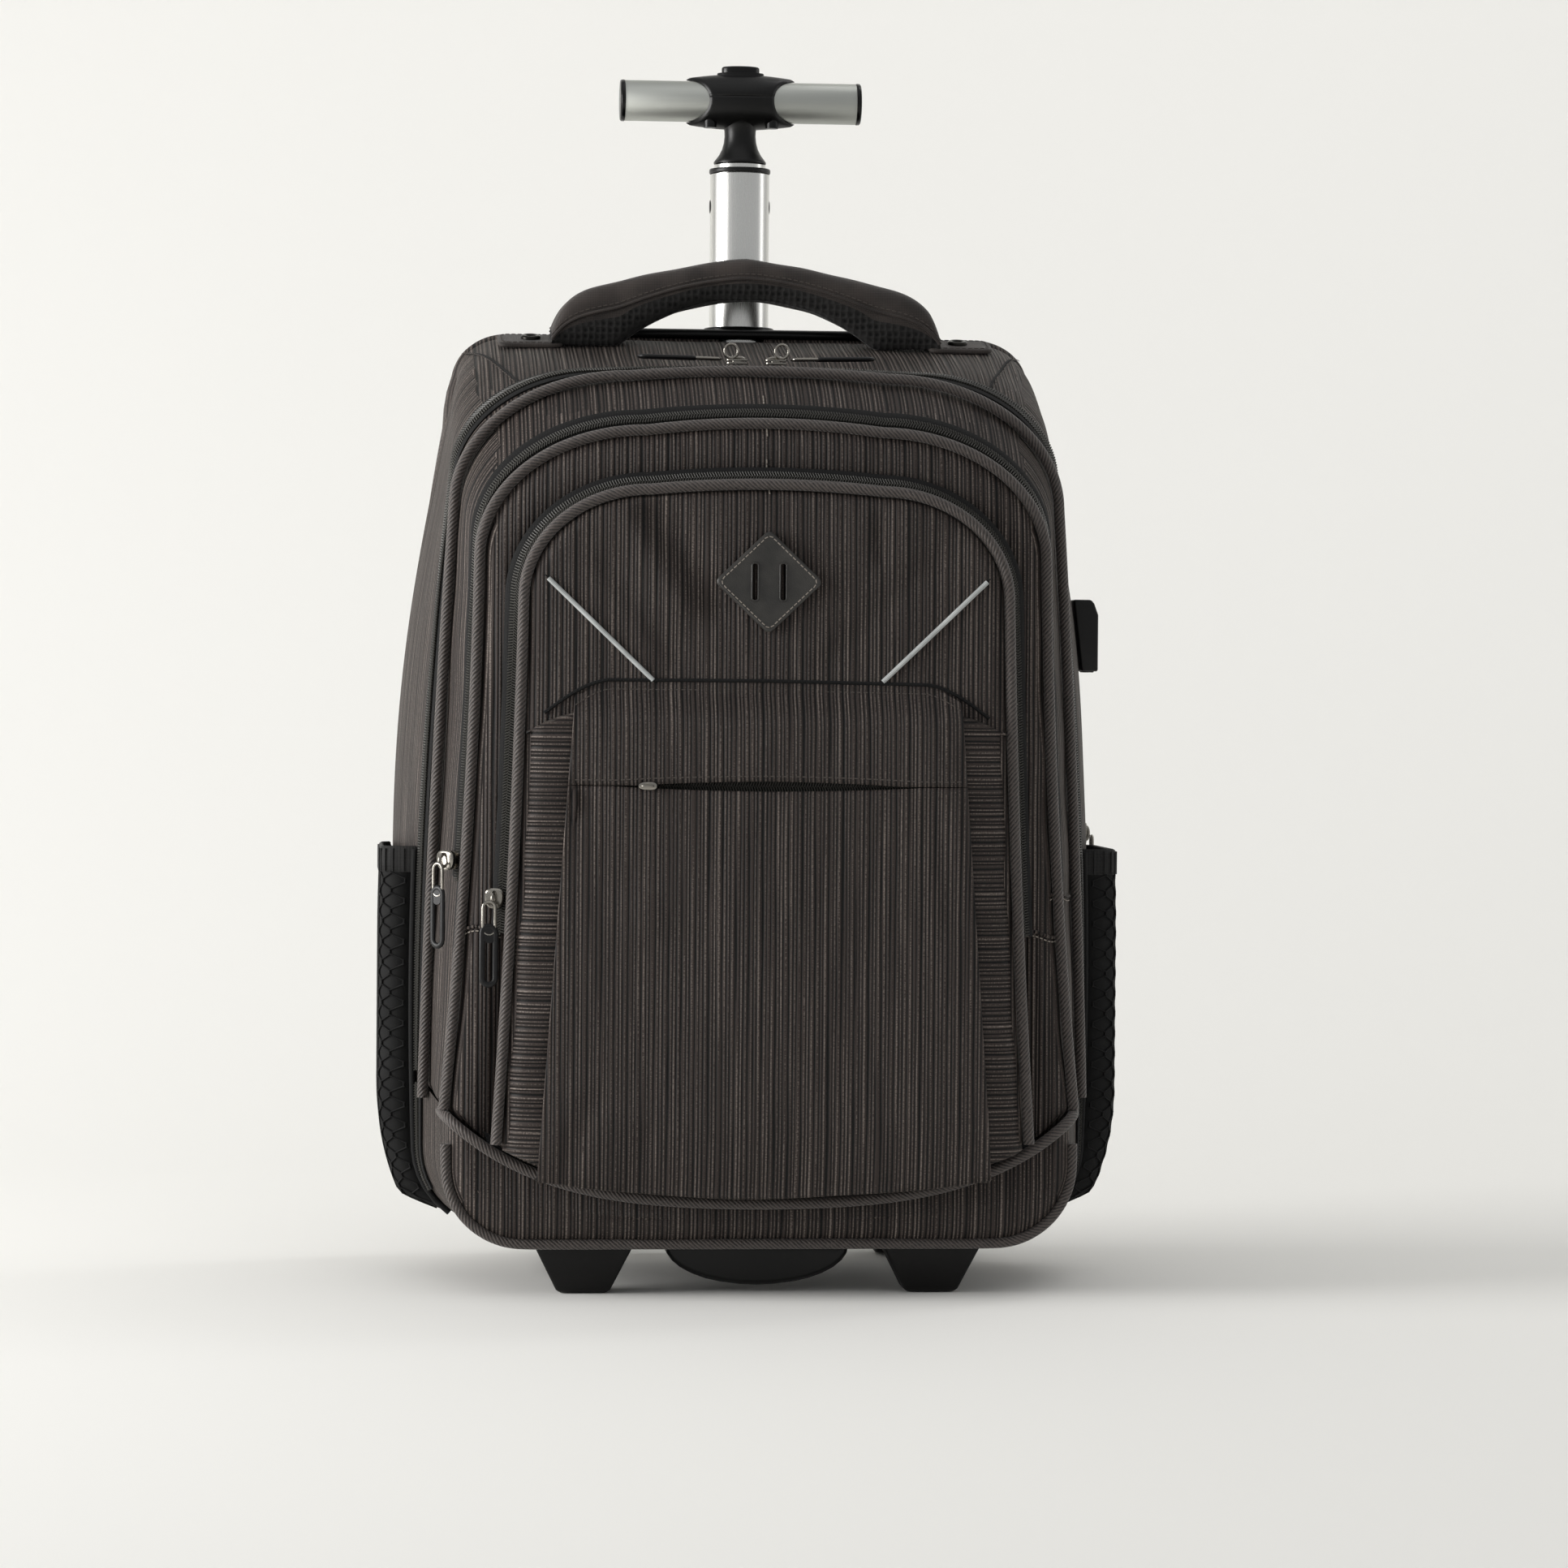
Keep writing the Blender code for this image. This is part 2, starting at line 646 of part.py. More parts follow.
def build_bezel_and_socket():
    low, high = REAR_TOP + GAP, BEZEL_TOP
    plate = add_mesh("pole_bezel", box((-BEZEL_HALF_WIDTH, CASE_BACK + 0.0025, low),
                                       (BEZEL_HALF_WIDTH, REAR_BACK - 0.0010, high)), BLACK)
    round_edges(plate, 0.0020)
    cut(plate, solid_turned([(MID_RADIUS + GAP * 1.5, low - 0.01), (MID_RADIUS + GAP * 1.5, high + 0.01)], 28,
                            (0, POLE_Y, 0)), "bezel_bore")
    top = REAR_BOTTOM - GAP
    socket = add_mesh("pole_socket", box((-0.030, REAR_FRONT, PLATE_BOTTOM + 0.001),
                                      (0.030, REAR_BACK, top)), BLACK)
    cut(socket, solid_turned([(OUTER_RADIUS + GAP, OUTER_BOTTOM - GAP), (OUTER_RADIUS + GAP, top + 0.01)], 28,
                             (0, POLE_Y, 0)), "socket_bore")


def barrel_rings(stations=9, segments=28):
    """Rings of the hub's barrel along X, thinner at both ends."""
    rings = []
    for k in range(stations):
        share = 2 * k / (stations - 1) - 1
        radius = HUB_END_RADIUS + (HUB_RADIUS - HUB_END_RADIUS) * math.cos(share * math.pi / 2) ** 0.7
        rings.append((radius, share * HUB_HALF_LENGTH))
    return turned(rings, segments, (0, POLE_Y, BAR_Z), "X")


def bar_bore():
    reach = HUB_HALF_LENGTH + 0.01
    return solid_turned([(BAR_RADIUS + GAP, -reach), (BAR_RADIUS + GAP, reach)], 28, (0, POLE_Y, BAR_Z), "X")


def oval(half_x, half_y, low, high, segments=20):
    rings = []
    for z in (low, high):
        ring = []
        for k in range(segments):
            angle = 2 * math.pi * k / segments
            ring.append(Vector((half_x * math.cos(angle), POLE_Y + half_y * math.sin(angle), z)))
        rings.append(ring)
    return loft(rings)


def build_handle_hub():
    centre = (0, POLE_Y, 0)
    lower = add_mesh("hub_lower", loft(barrel_rings()), BLACK, 0.45, smooth=True)
    neck_profile = [(INNER_RADIUS - TUBE_WALL - GAP, 0.566), (INNER_RADIUS - TUBE_WALL - GAP, INNER_TOP + GAP),
                    (INNER_RADIUS + GAP, INNER_TOP + GAP), (INNER_RADIUS - 0.0002, INNER_TOP + 0.0018),
                    (0.0104, 0.5885), (NECK_RADIUS + 0.0004, 0.5930), (NECK_RADIUS, 0.5980),
                    (NECK_RADIUS + 0.0012, 0.6035), (NECK_RADIUS + 0.0040, 0.6075)]
    join_solid(lower, solid_turned(neck_profile, 28, centre), "hub_neck")
    cut(lower, box((-0.05, POLE_Y - 0.03, HUB_SPLIT_Z - GAP), (0.05, POLE_Y + 0.03, BAR_Z + 0.05)), "hub_split")
    cut(lower, bar_bore(), "hub_lower_bar_bore")
    cut(lower, solid_turned([(ROD_RADIUS + 0.0006, 0.55), (ROD_RADIUS + 0.0006, 0.63)], 20, centre), "hub_rod_bore")
    upper = add_mesh("hub_upper", loft(barrel_rings()), BLACK, 0.45, smooth=True)
    cut(upper, box((-0.05, POLE_Y - 0.03, BAR_Z - 0.05), (0.05, POLE_Y + 0.03, HUB_SPLIT_Z)), "hub_upper_split")
    cut(upper, bar_bore(), "hub_upper_bar_bore")
    cut(upper, oval(BUTTON_HALF_X + GAP, BUTTON_HALF_Y + GAP, BAR_Z, BUTTON_TOP + 0.01), "button_slot")


def build_bar():
    centre = (0, POLE_Y, BAR_Z)
    bar = add_mesh("t_bar", tube_turned(BAR_RADIUS, BAR_RADIUS - 0.0014, -BAR_HALF, BAR_HALF, 28, centre, "X"),
                   (0.30, 0.31, 0.29), 0.38, 1.0, smooth=True)
    cut(bar, solid_turned([(ROD_RADIUS + 0.0010, -0.03), (ROD_RADIUS + 0.0010, 0.03)], 20, centre), "bar_rod_bore")
    for side, word in ((-1, "left"), (1, "right")):
        start = BAR_HALF + GAP
        profile = [(BAR_RADIUS, start), (BAR_RADIUS + 0.0001, start + CAP_THICKNESS * 0.7),
                   (BAR_RADIUS - 0.0006, start + CAP_THICKNESS)]
        placed = [(radius, side * height) for radius, height in profile]
        add_mesh("bar_cap_" + word, solid_turned(placed, 28, centre, "X"), BLACK, 0.4, smooth=True)


def build_button():
    under = BAR_Z + BAR_RADIUS + BUTTON_TRAVEL + 0.0010
    button = add_mesh("push_button", oval(BUTTON_HALF_X, BUTTON_HALF_Y, under, BUTTON_TOP), BLACK, 0.4)
    stem = solid_turned([(ROD_RADIUS, 0.6130), (ROD_RADIUS, under + 0.001)], 20, (0, POLE_Y, 0))
    join_solid(button, stem, "button_stem")
    rod = solid_turned([(ROD_RADIUS, INNER_TOP - INNER_LENGTH + 0.012), (ROD_RADIUS, 0.6130 - GAP)], 12,
                       (0, POLE_Y, 0))
    add_mesh("push_rod", rod, (0.5, 0.5, 0.5), 0.4, 1.0, smooth=True)


# ---------------------------------------------------------------- base, feet, wheels

def build_base_plate():
    corner = 0.030
    points = []
    back = CASE_BACK
    for centre_x, centre_y, start in ((PLATE_HALF - corner, back - corner, 0.0),
                                      (-PLATE_HALF + corner, back - corner, 0.5),
                                      (-PLATE_HALF + corner, PLATE_FRONT + corner, 1.0),
                                      (PLATE_HALF - corner, PLATE_FRONT + corner, 1.5)):
        for k in range(7):
            angle = math.pi * (start + k / 12)
            points.append((centre_x + corner * math.cos(angle), centre_y + corner * math.sin(angle)))
    rings = [[Vector((x, y, z)) for x, y in points] for z in (PLATE_BOTTOM, PLATE_BOTTOM + PLATE_THICKNESS)]
    add_mesh("base_plate", loft(rings), BLACK, 0.5)


def build_feet():
    top = PLATE_BOTTOM - GAP
    for side, word in ((-1, "left"), (1, "right")):
        rings = []
        for z, half, front, rear in ((top, FOOT_TOP_HALF, FOOT_FRONT, FOOT_BACK),
                                     (0.0018, FOOT_BOTTOM_HALF + 0.0012, FOOT_FRONT + 0.0050, FOOT_BACK - 0.0040),
                                     (0.0, FOOT_BOTTOM_HALF - 0.0010, FOOT_FRONT + 0.0070, FOOT_BACK - 0.0060)):
            centre = side * FOOT_X
            rings.append([Vector((centre - half, front, z)), Vector((centre + half, front, z)),
                          Vector((centre + half, rear, z)), Vector((centre - half, rear, z))])
        add_mesh("front_foot_" + word, loft(rings), BLACK, 0.6)


def half_ellipse(y, half, drop, top, segments=16):
    ring = []
    for k in range(segments + 1):
        angle = math.pi + math.pi * k / segments
        ring.append(Vector((half * math.cos(angle), y, top + drop * math.sin(angle))))
    return ring


def build_bottom_grip():
    top = PLATE_BOTTOM - GAP
    drop = top - GRIP_LOW
    wall = 0.0030
    outer = [half_ellipse(y, GRIP_HALF, drop, top) for y in (-0.046, -0.074)]
    outer.append(half_ellipse(-0.0765, GRIP_HALF - 0.002, drop - 0.002, top))
    inner = [half_ellipse(y, GRIP_HALF - wall * 1.6, drop - wall * 1.6, top - wall) for y in (-0.046, -0.060)]
    inner.append(half_ellipse(-0.0735, GRIP_HALF - wall * 1.8, drop - wall * 1.8, top - wall))
    add_mesh("bottom_grip", bucket(outer, inner), BLACK, 0.5)


def build_wheels():
    for side, word in ((-1, "left"), (1, "right")):
        x = side * WHEEL_X
        centre = (x, WHEEL_Y, WHEEL_RADIUS)
        housing = add_mesh("wheel_housing_" + word,
                           box((x - HOUSING_HALF, REAR_FRONT, HOUSING_BOTTOM),
                               (x + HOUSING_HALF, REAR_BACK + 0.0040, HOUSING_TOP)),
                           BLACK, 0.5)
        cut(housing, box((x - WELL_HALF, REAR_FRONT + 0.0025, HOUSING_BOTTOM - 0.02),
                         (x + WELL_HALF, REAR_BACK + 0.04, HOUSING_TOP - 0.0030)), "well_" + word)
        cut(housing, solid_turned([(AXLE_RADIUS + GAP, -0.03), (AXLE_RADIUS + GAP, 0.03)], 20, centre, "X"),
            "axle_bore_" + word)
        axle = solid_turned([(AXLE_RADIUS, -HOUSING_HALF + 0.0005), (AXLE_RADIUS, HOUSING_HALF - 0.0005)], 20,
                            centre, "X")
        add_mesh("axle_" + word, axle, (0.5, 0.5, 0.5), 0.3, 1.0, smooth=True)
        half = WHEEL_WIDTH / 2
        rim_profile = [(RIM_RADIUS, -half + 0.001), (RIM_RADIUS, half - 0.001), (RIM_RADIUS - 0.0025, half - 0.001),
                       (RIM_RADIUS - 0.0045, half - 0.004), (AXLE_RADIUS + 0.0045, half - 0.004),
                       (AXLE_RADIUS + 0.0035, half), (AXLE_RADIUS + GAP, half),
                       (AXLE_RADIUS + GAP, -half), (AXLE_RADIUS + 0.0035, -half),
                       (AXLE_RADIUS + 0.0045, -half + 0.004), (RIM_RADIUS - 0.0045, -half + 0.004),
                       (RIM_RADIUS - 0.0025, -half + 0.001)]
        rim = add_mesh("wheel_rim_" + word, loft(turned(rim_profile, 32, centre, "X"), True), (0.05, 0.05, 0.05),
                       0.45, smooth=True)
        move_origin(rim, centre)
        tyre_profile = [(WHEEL_RADIUS - 0.0015, -half), (WHEEL_RADIUS, -half + 0.003), (WHEEL_RADIUS, half - 0.003),
                        (WHEEL_RADIUS - 0.0015, half), (RIM_RADIUS + GAP, half), (RIM_RADIUS + GAP, -half)]
        tyre = add_mesh("tyre_" + word, loft(turned(tyre_profile, 32, centre, "X"), True), BLACK, 0.8, smooth=True)
        move_origin(tyre, centre)


# ---------------------------------------------------------------- handle, pockets, port, straps

def case_top(y):
    return section_at(y)[0]


def build_grab_handle():
    """Arched padded handle on two sewn tabs."""
    seat = case_top(HANDLE_Y + HANDLE_DEPTH / 2) + GAP * 2
    lean = (case_top(HANDLE_Y + 0.01) - case_top(HANDLE_Y - 0.01)) / 0.02
    steps = 20
    stations = []
    for k in range(steps + 1):
        x = HANDLE_HALF * (2 * k / steps - 1)
        upper = HANDLE_APEX - (HANDLE_APEX - seat - 0.007) * (abs(x) / HANDLE_HALF) ** 2.1
        lower = max(seat, HANDLE_UNDER - 4.5 * x * x)
        stations.append((x, lower, upper))
    stations = [(-TAB_HALF, seat, seat + TAB_THICKNESS), (-HANDLE_HALF - 0.001, seat, seat + TAB_THICKNESS)] + stations
    stations += [(HANDLE_HALF + 0.001, seat, seat + TAB_THICKNESS), (TAB_HALF, seat, seat + TAB_THICKNESS)]
    rings = []
    for x, lower, upper in stations:
        thick = upper - lower
        edge = min(0.005, thick * 0.35)
        half = HANDLE_DEPTH / 2
        profile = [(-half, lower + edge), (-half + edge, lower), (half - edge, lower), (half, lower + edge),
                   (half, upper - edge), (half - edge, upper), (-half + edge, upper), (-half, upper - edge)]
        ring = []
        for y, z in profile:
            sheared = max(0.0, 1 - (z - seat) / SHEAR_HEIGHT)
            ring.append(Vector((x, HANDLE_Y + y, z + (y - half) * lean * sheared)))
        rings.append(ring)
    add_mesh("grab_handle", loft(rings), CHARCOAL, smooth=True)
    flatter = 1 - TAB_THICKNESS / SHEAR_HEIGHT
    slope = math.atan(lean * flatter)
    for side, word in ((-1, "left"), (1, "right")):
        mean = seat + TAB_THICKNESS - lean * flatter * HANDLE_DEPTH / 2 + GAP
        rings = turned([(0.0050, 0.0), (0.0048, 0.0012), (0.0030, 0.0018)], 16, (0, 0, 0))
        turn = Matrix.Rotation(slope, 3, "X")
        place = Vector((side * RIVET_X, HANDLE_Y, mean))
        placed = [[place + turn @ p for p in ring] for ring in rings]
        add_mesh("rivet_" + word, loft(placed), (0.02, 0.02, 0.02), 0.4, 0.8, smooth=True)


def net_reach(z):
    """How far the side pocket's outer face stands from the middle, at a height."""
    share = (z - NET_BOTTOM) / (NET_TOP - NET_BOTTOM)
    return NET_HALF - 0.0010 * max(0.0, (share - 0.75) / 0.25) ** 2 - 0.016 * max(0.0, 1 - share / 0.35) ** 2.2


def case_side(y, z):
    return side_half(section_at(y), z)


def build_side_pockets():
    for side, word in ((-1, "left"), (1, "right")):
        rows, columns = 9, 9
        outer, inner = [], []
        for r in range(rows + 1):
            z = NET_BOTTOM + (NET_TOP - NET_BOTTOM) * r / rows
            outer_row, inner_row = [], []
            for c in range(columns + 1):
                y = NET_FRONT + (NET_BACK - NET_FRONT) * c / columns
                skin = case_side(y, z) + 0.0012
                reach = net_reach(z)
                bulge = min(1.0, 3.2 * math.sin(math.pi * c / columns))
                x_in = skin + max(0.0, reach - NET_WALL - skin) * bulge
                if r == 0:
                    x_in = skin
                outer_row.append(Vector((side * (x_in + NET_WALL), y, z)))
                inner_row.append(Vector((side * x_in, y, z)))
            outer.append(outer_row)
            inner.append(inner_row)
        bm = bmesh.new()
        out = [[bm.verts.new(p) for p in row] for row in outer]
        inn = [[bm.verts.new(p) for p in row] for row in inner]
        for r in range(rows):
            for c in range(columns):
                bm.faces.new((out[r][c], out[r][c + 1], out[r + 1][c + 1], out[r + 1][c]))
                bm.faces.new((inn[r][c], inn[r + 1][c], inn[r + 1][c + 1], inn[r][c + 1]))
        for c in range(columns):
            bm.faces.new((out[0][c], inn[0][c], inn[0][c + 1], out[0][c + 1]))
            bm.faces.new((out[rows][c], out[rows][c + 1], inn[rows][c + 1], inn[rows][c]))
        for r in range(rows):
            bm.faces.new((out[r][0], out[r + 1][0], inn[r + 1][0], inn[r][0]))
            bm.faces.new((out[r][columns], inn[r][columns], inn[r + 1][columns], out[r + 1][columns]))
        add_mesh("side_pocket_" + word, bm, BLACK)


def build_port():
    """Charging port housing, its socket open at the bottom."""
    rings = []
    for z in (PORT_LOW, PORT_HIGH - 0.008, PORT_HIGH - 0.002, PORT_HIGH):
        inner = max(case_side(PORT_Y - PORT_DEPTH / 2, z), case_side(PORT_Y + PORT_DEPTH / 2, z)) + GAP * 3
        outer = PORT_OUTER - max(0.0, z - PORT_HIGH + 0.008) ** 2 * 60
        rings.append([Vector((inner, PORT_Y - PORT_DEPTH / 2, z)), Vector((outer, PORT_Y - PORT_DEPTH / 2 + 0.001, z)),
                      Vector((outer, PORT_Y + PORT_DEPTH / 2 - 0.001, z)), Vector((inner, PORT_Y + PORT_DEPTH / 2, z))])
    housing = add_mesh("port_housing", loft(rings), BLACK, 0.5)
    middle = (PORT_OUTER + case_side(PORT_Y, PORT_LOW) + GAP * 3) / 2
    cut(housing, box((middle - SOCKET_THICKNESS / 2, PORT_Y - SOCKET_WIDTH / 2, PORT_LOW - 0.01),
                     (middle + SOCKET_THICKNESS / 2, PORT_Y + SOCKET_WIDTH / 2, PORT_LOW + SOCKET_DEPTH)), "socket")


def build_straps():
    """Padded shoulder straps lying on the back panel."""
    route = ((0.034, 0.462, 0.024), (0.044, 0.420, 0.029), (0.060, 0.350, 0.031), (0.072, 0.280, 0.030),
             (0.082, 0.220, 0.026), (0.092, 0.170, 0.014), (0.104, 0.120, 0.012), (0.118, 0.090, 0.012))
    near = BACK_BACK + GAP
    for side, word in ((-1, "left"), (1, "right")):
        rings = []
        for x, z, half in route:
            thick = 0.0085 if half > 0.02 else 0.0025
            edge = min(0.003, thick * 0.4)
            rings.append([Vector((side * (x - half), near, z)), Vector((side * (x + half), near, z)),
                          Vector((side * (x + half), near + thick - edge, z)),
                          Vector((side * (x + half - edge), near + thick, z)),
                          Vector((side * (x - half + edge), near + thick, z)),
                          Vector((side * (x - half), near + thick - edge, z))])
        add_mesh("shoulder_strap_" + word, loft(rings), BLACK)


# ---------------------------------------------------------------- zip sliders and pullers

def slider_body(name, centre, across, along, out):
    """Small slider body: across, along and out are its half widths on X, Z and Y."""
    low = Vector(centre) - Vector((across, out, along))
    high = Vector(centre) + Vector((across, out, along))
    item = add_mesh(name, box(low, high), (0.25, 0.24, 0.22), 0.3, 1.0)
    round_edges(item, 0.0010, 1)


def puller(name, pivot, direction, normal, length=0.042):
    """Metal link with a rubber grip loop, hanging from a pivot along a direction."""
    along = Vector(direction).normalized()
    out = Vector(normal).normalized()
    across = along.cross(out).normalized()
    half, thick = 0.0048, 0.0013
    start = Vector(pivot)
    shape = []
    for k in range(9):
        angle = -math.pi / 2 + math.pi * k / 8
        shape.append((length - half + half * math.cos(angle), half * math.sin(angle)))
    shape += [(length * 0.35, half), (0.004, half * 0.55), (0.0, half * 0.55)]
    shape += [(0.0, -half * 0.55), (0.004, -half * 0.55), (length * 0.35, -half)]
    rings = []
    for level in (-thick, thick):
        rings.append([start + along * a + across * b + out * level for a, b in shape])
    item = add_mesh(name, loft(rings), (0.08, 0.08, 0.08), 0.4, 0.3)
    move_origin(item, pivot)


def build_sliders():
    top_z = case_top(-0.0240) + section_at(-0.0240)[7] + 0.0021 + 0.0022
    for side, word in ((-1, "left"), (1, "right")):
        slider_body("top_slider_" + word, (side * TOP_SLIDER_X, -0.0295, top_z), 0.0060, 0.0018, 0.0040)
        puller("top_puller_" + word, (side * (TOP_SLIDER_X + 0.0080), -0.0295, top_z + 0.0010),
               (side, 0, 0.02), (0, 0, 1))
    middle_y = -0.0790
    middle_x = -case_side(middle_y, MIDDLE_SLIDER_Z) - ZIP_PROUD
    slider_body("middle_slider", (middle_x - 0.0056, middle_y, MIDDLE_SLIDER_Z), 0.0034, 0.0050, 0.0055)
    puller("middle_puller", (middle_x - 0.0110, middle_y - 0.0062, MIDDLE_SLIDER_Z - 0.0010),
           (0, 0, -1), (-0.7, -0.7, 0))
    front_x = -side_half(organiser_section(), FRONT_SLIDER_Z)
    slider_body("front_slider", (front_x - 0.0106, -0.1000, FRONT_SLIDER_Z), 0.0040, 0.0050, 0.0055)
    puller("front_puller", (front_x - 0.0140, -0.1050 - PULLER_LIFT, FRONT_SLIDER_Z - 0.0010),
           (0, 0, -1), (0, -1, 0))
    rear_x = case_side(CASE_BACK, REAR_SLIDER_Z) + GAP
    slider_body("rear_slider", (rear_x + 0.0024, 0.0640, REAR_SLIDER_Z), 0.0022, 0.0055, 0.0035)
    puller("rear_puller", (rear_x + 0.0064, 0.0640, REAR_SLIDER_Z - 0.0010), (0, 0, -1), (1, 0, 0), 0.036)
    slider_body("pocket_slider", (-0.0600, POCKET_FRONT - 0.0005, SLIT_Z), 0.0045, 0.0021, 0.0022)


def main():
    clear_scene()
    build_main_shell()
    build_bottom_band()
    build_rear_shell()
    build_back_panel()
    build_laptop_divider()
    build_front_gusset()
    build_organiser()
    build_front_pocket()
    build_piping()
    build_zips()
    build_patch()
    build_pole()
    build_bezel_and_socket()
    build_handle_hub()
    build_bar()
    build_button()
    build_base_plate()
    build_feet()
    build_bottom_grip()
    build_wheels()
    build_grab_handle()
    build_side_pockets()
    build_port()
    build_straps()
    build_sliders()


main()
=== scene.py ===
"""The looks of a rolling laptop case: striped fabric, coil zips, nets, pads and a telescopic pole."""
import json
import logging
import math
from collections.abc import Callable, Sequence
from dataclasses import dataclass
from enum import Enum

import bmesh
import bpy
import numpy as np
from bpy.types import Mesh, Node
from bpy.types import NodeSocket as Socket
from bpy.types import NodeTree as Tree
from bpy.types import Object as Item
from mathutils import Matrix, Vector
from mathutils.bvhtree import BVHTree


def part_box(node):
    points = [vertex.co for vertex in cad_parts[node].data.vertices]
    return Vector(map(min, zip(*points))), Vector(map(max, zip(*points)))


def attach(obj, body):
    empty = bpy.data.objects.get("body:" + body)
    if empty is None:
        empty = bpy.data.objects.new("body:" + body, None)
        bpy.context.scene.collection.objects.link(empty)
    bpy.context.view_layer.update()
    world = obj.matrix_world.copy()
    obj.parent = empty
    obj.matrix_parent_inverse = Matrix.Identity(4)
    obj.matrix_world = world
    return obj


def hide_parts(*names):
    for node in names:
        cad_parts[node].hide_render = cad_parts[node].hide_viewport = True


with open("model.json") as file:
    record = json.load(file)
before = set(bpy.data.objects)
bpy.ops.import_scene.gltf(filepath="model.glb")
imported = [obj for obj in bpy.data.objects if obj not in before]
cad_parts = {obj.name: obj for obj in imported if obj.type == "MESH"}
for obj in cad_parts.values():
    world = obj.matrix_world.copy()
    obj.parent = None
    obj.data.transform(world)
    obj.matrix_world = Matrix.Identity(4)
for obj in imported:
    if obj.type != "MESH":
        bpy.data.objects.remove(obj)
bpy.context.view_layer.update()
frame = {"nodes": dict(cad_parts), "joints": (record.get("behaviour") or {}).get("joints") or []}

LOG = logging.getLogger("case")
Array = np.ndarray

GAP = 0.0003                # clearance between pieces that touch
WALL = 0.003                # padded fabric wall
CASE_BOTTOM = 0.0272
CASE_BACK = 0.0615
FRONT_EDGE = -0.03
GUSSET_FRONT = -0.09
ORGANISER_FRONT = -0.112
SLIT_Z = 0.2555
REAR_FRONT = CASE_BACK + GAP
REAR_BACK = 0.106
REAR_BOTTOM = 0.0655
REAR_TOP = 0.4885
POLE_Y = 0.0845
MID_RADIUS = 0.0158         # the pole's middle tube
MID_TOP = 0.5778
INNER_RADIUS = 0.0138       # the pole's inner tube
INNER_TOP = 0.5829
POLE_CLEARANCE = 0.023      # half of the opening in the cloth round the pole
BAR_Z = 0.6163
BAR_RADIUS = 0.0108
SIDES = ((-1, "left"), (1, "right"))
ZIP_FOOT = 0.106            # where the front section's zips end above its curved bottom seam


# ---------------------------------------------------------------- colours, nodes and finishes

def linear(code: str) -> tuple[float, float, float, float]:
    """Turn an sRGB hex colour into a linear one.

    Args:
        code: Six hex digits.

    Returns:
        Linear red, green, blue and an alpha of one.
    """
    parts = [int(code[k:k + 2], 16) / 255 for k in (0, 2, 4)]
    turned = [p / 12.92 if p <= 0.04045 else ((p + 0.055) / 1.055) ** 2.4 for p in parts]
    return (turned[0], turned[1], turned[2], 1.0)


def add_node(tree: Tree, kind: str, values: dict | None = None, links: dict | None = None,
        **settings: object) -> Node:
    """Add a node with its settings, socket values and links.

    Args:
        tree: The node tree.
        kind: The node's type name.
        values: Values by input name or number.
        links: Output sockets by input name or number.
        settings: The node's own properties.

    Returns:
        The node.
    """
    node = tree.nodes.new(kind)
    for key, value in settings.items():
        setattr(node, key, value)
    for key, value in (values or {}).items():
        node.inputs[key].default_value = value
    for key, source in (links or {}).items():
        tree.links.new(source, node.inputs[key])
    return node


class Coordinates(Enum):
    """What a finish's pattern is laid out on."""

    CLOTH = "the piece's own cloth map, in metres"
    OBJECT = "the object's own space, in metres"


CLOTH, OBJECT = Coordinates.CLOTH, Coordinates.OBJECT


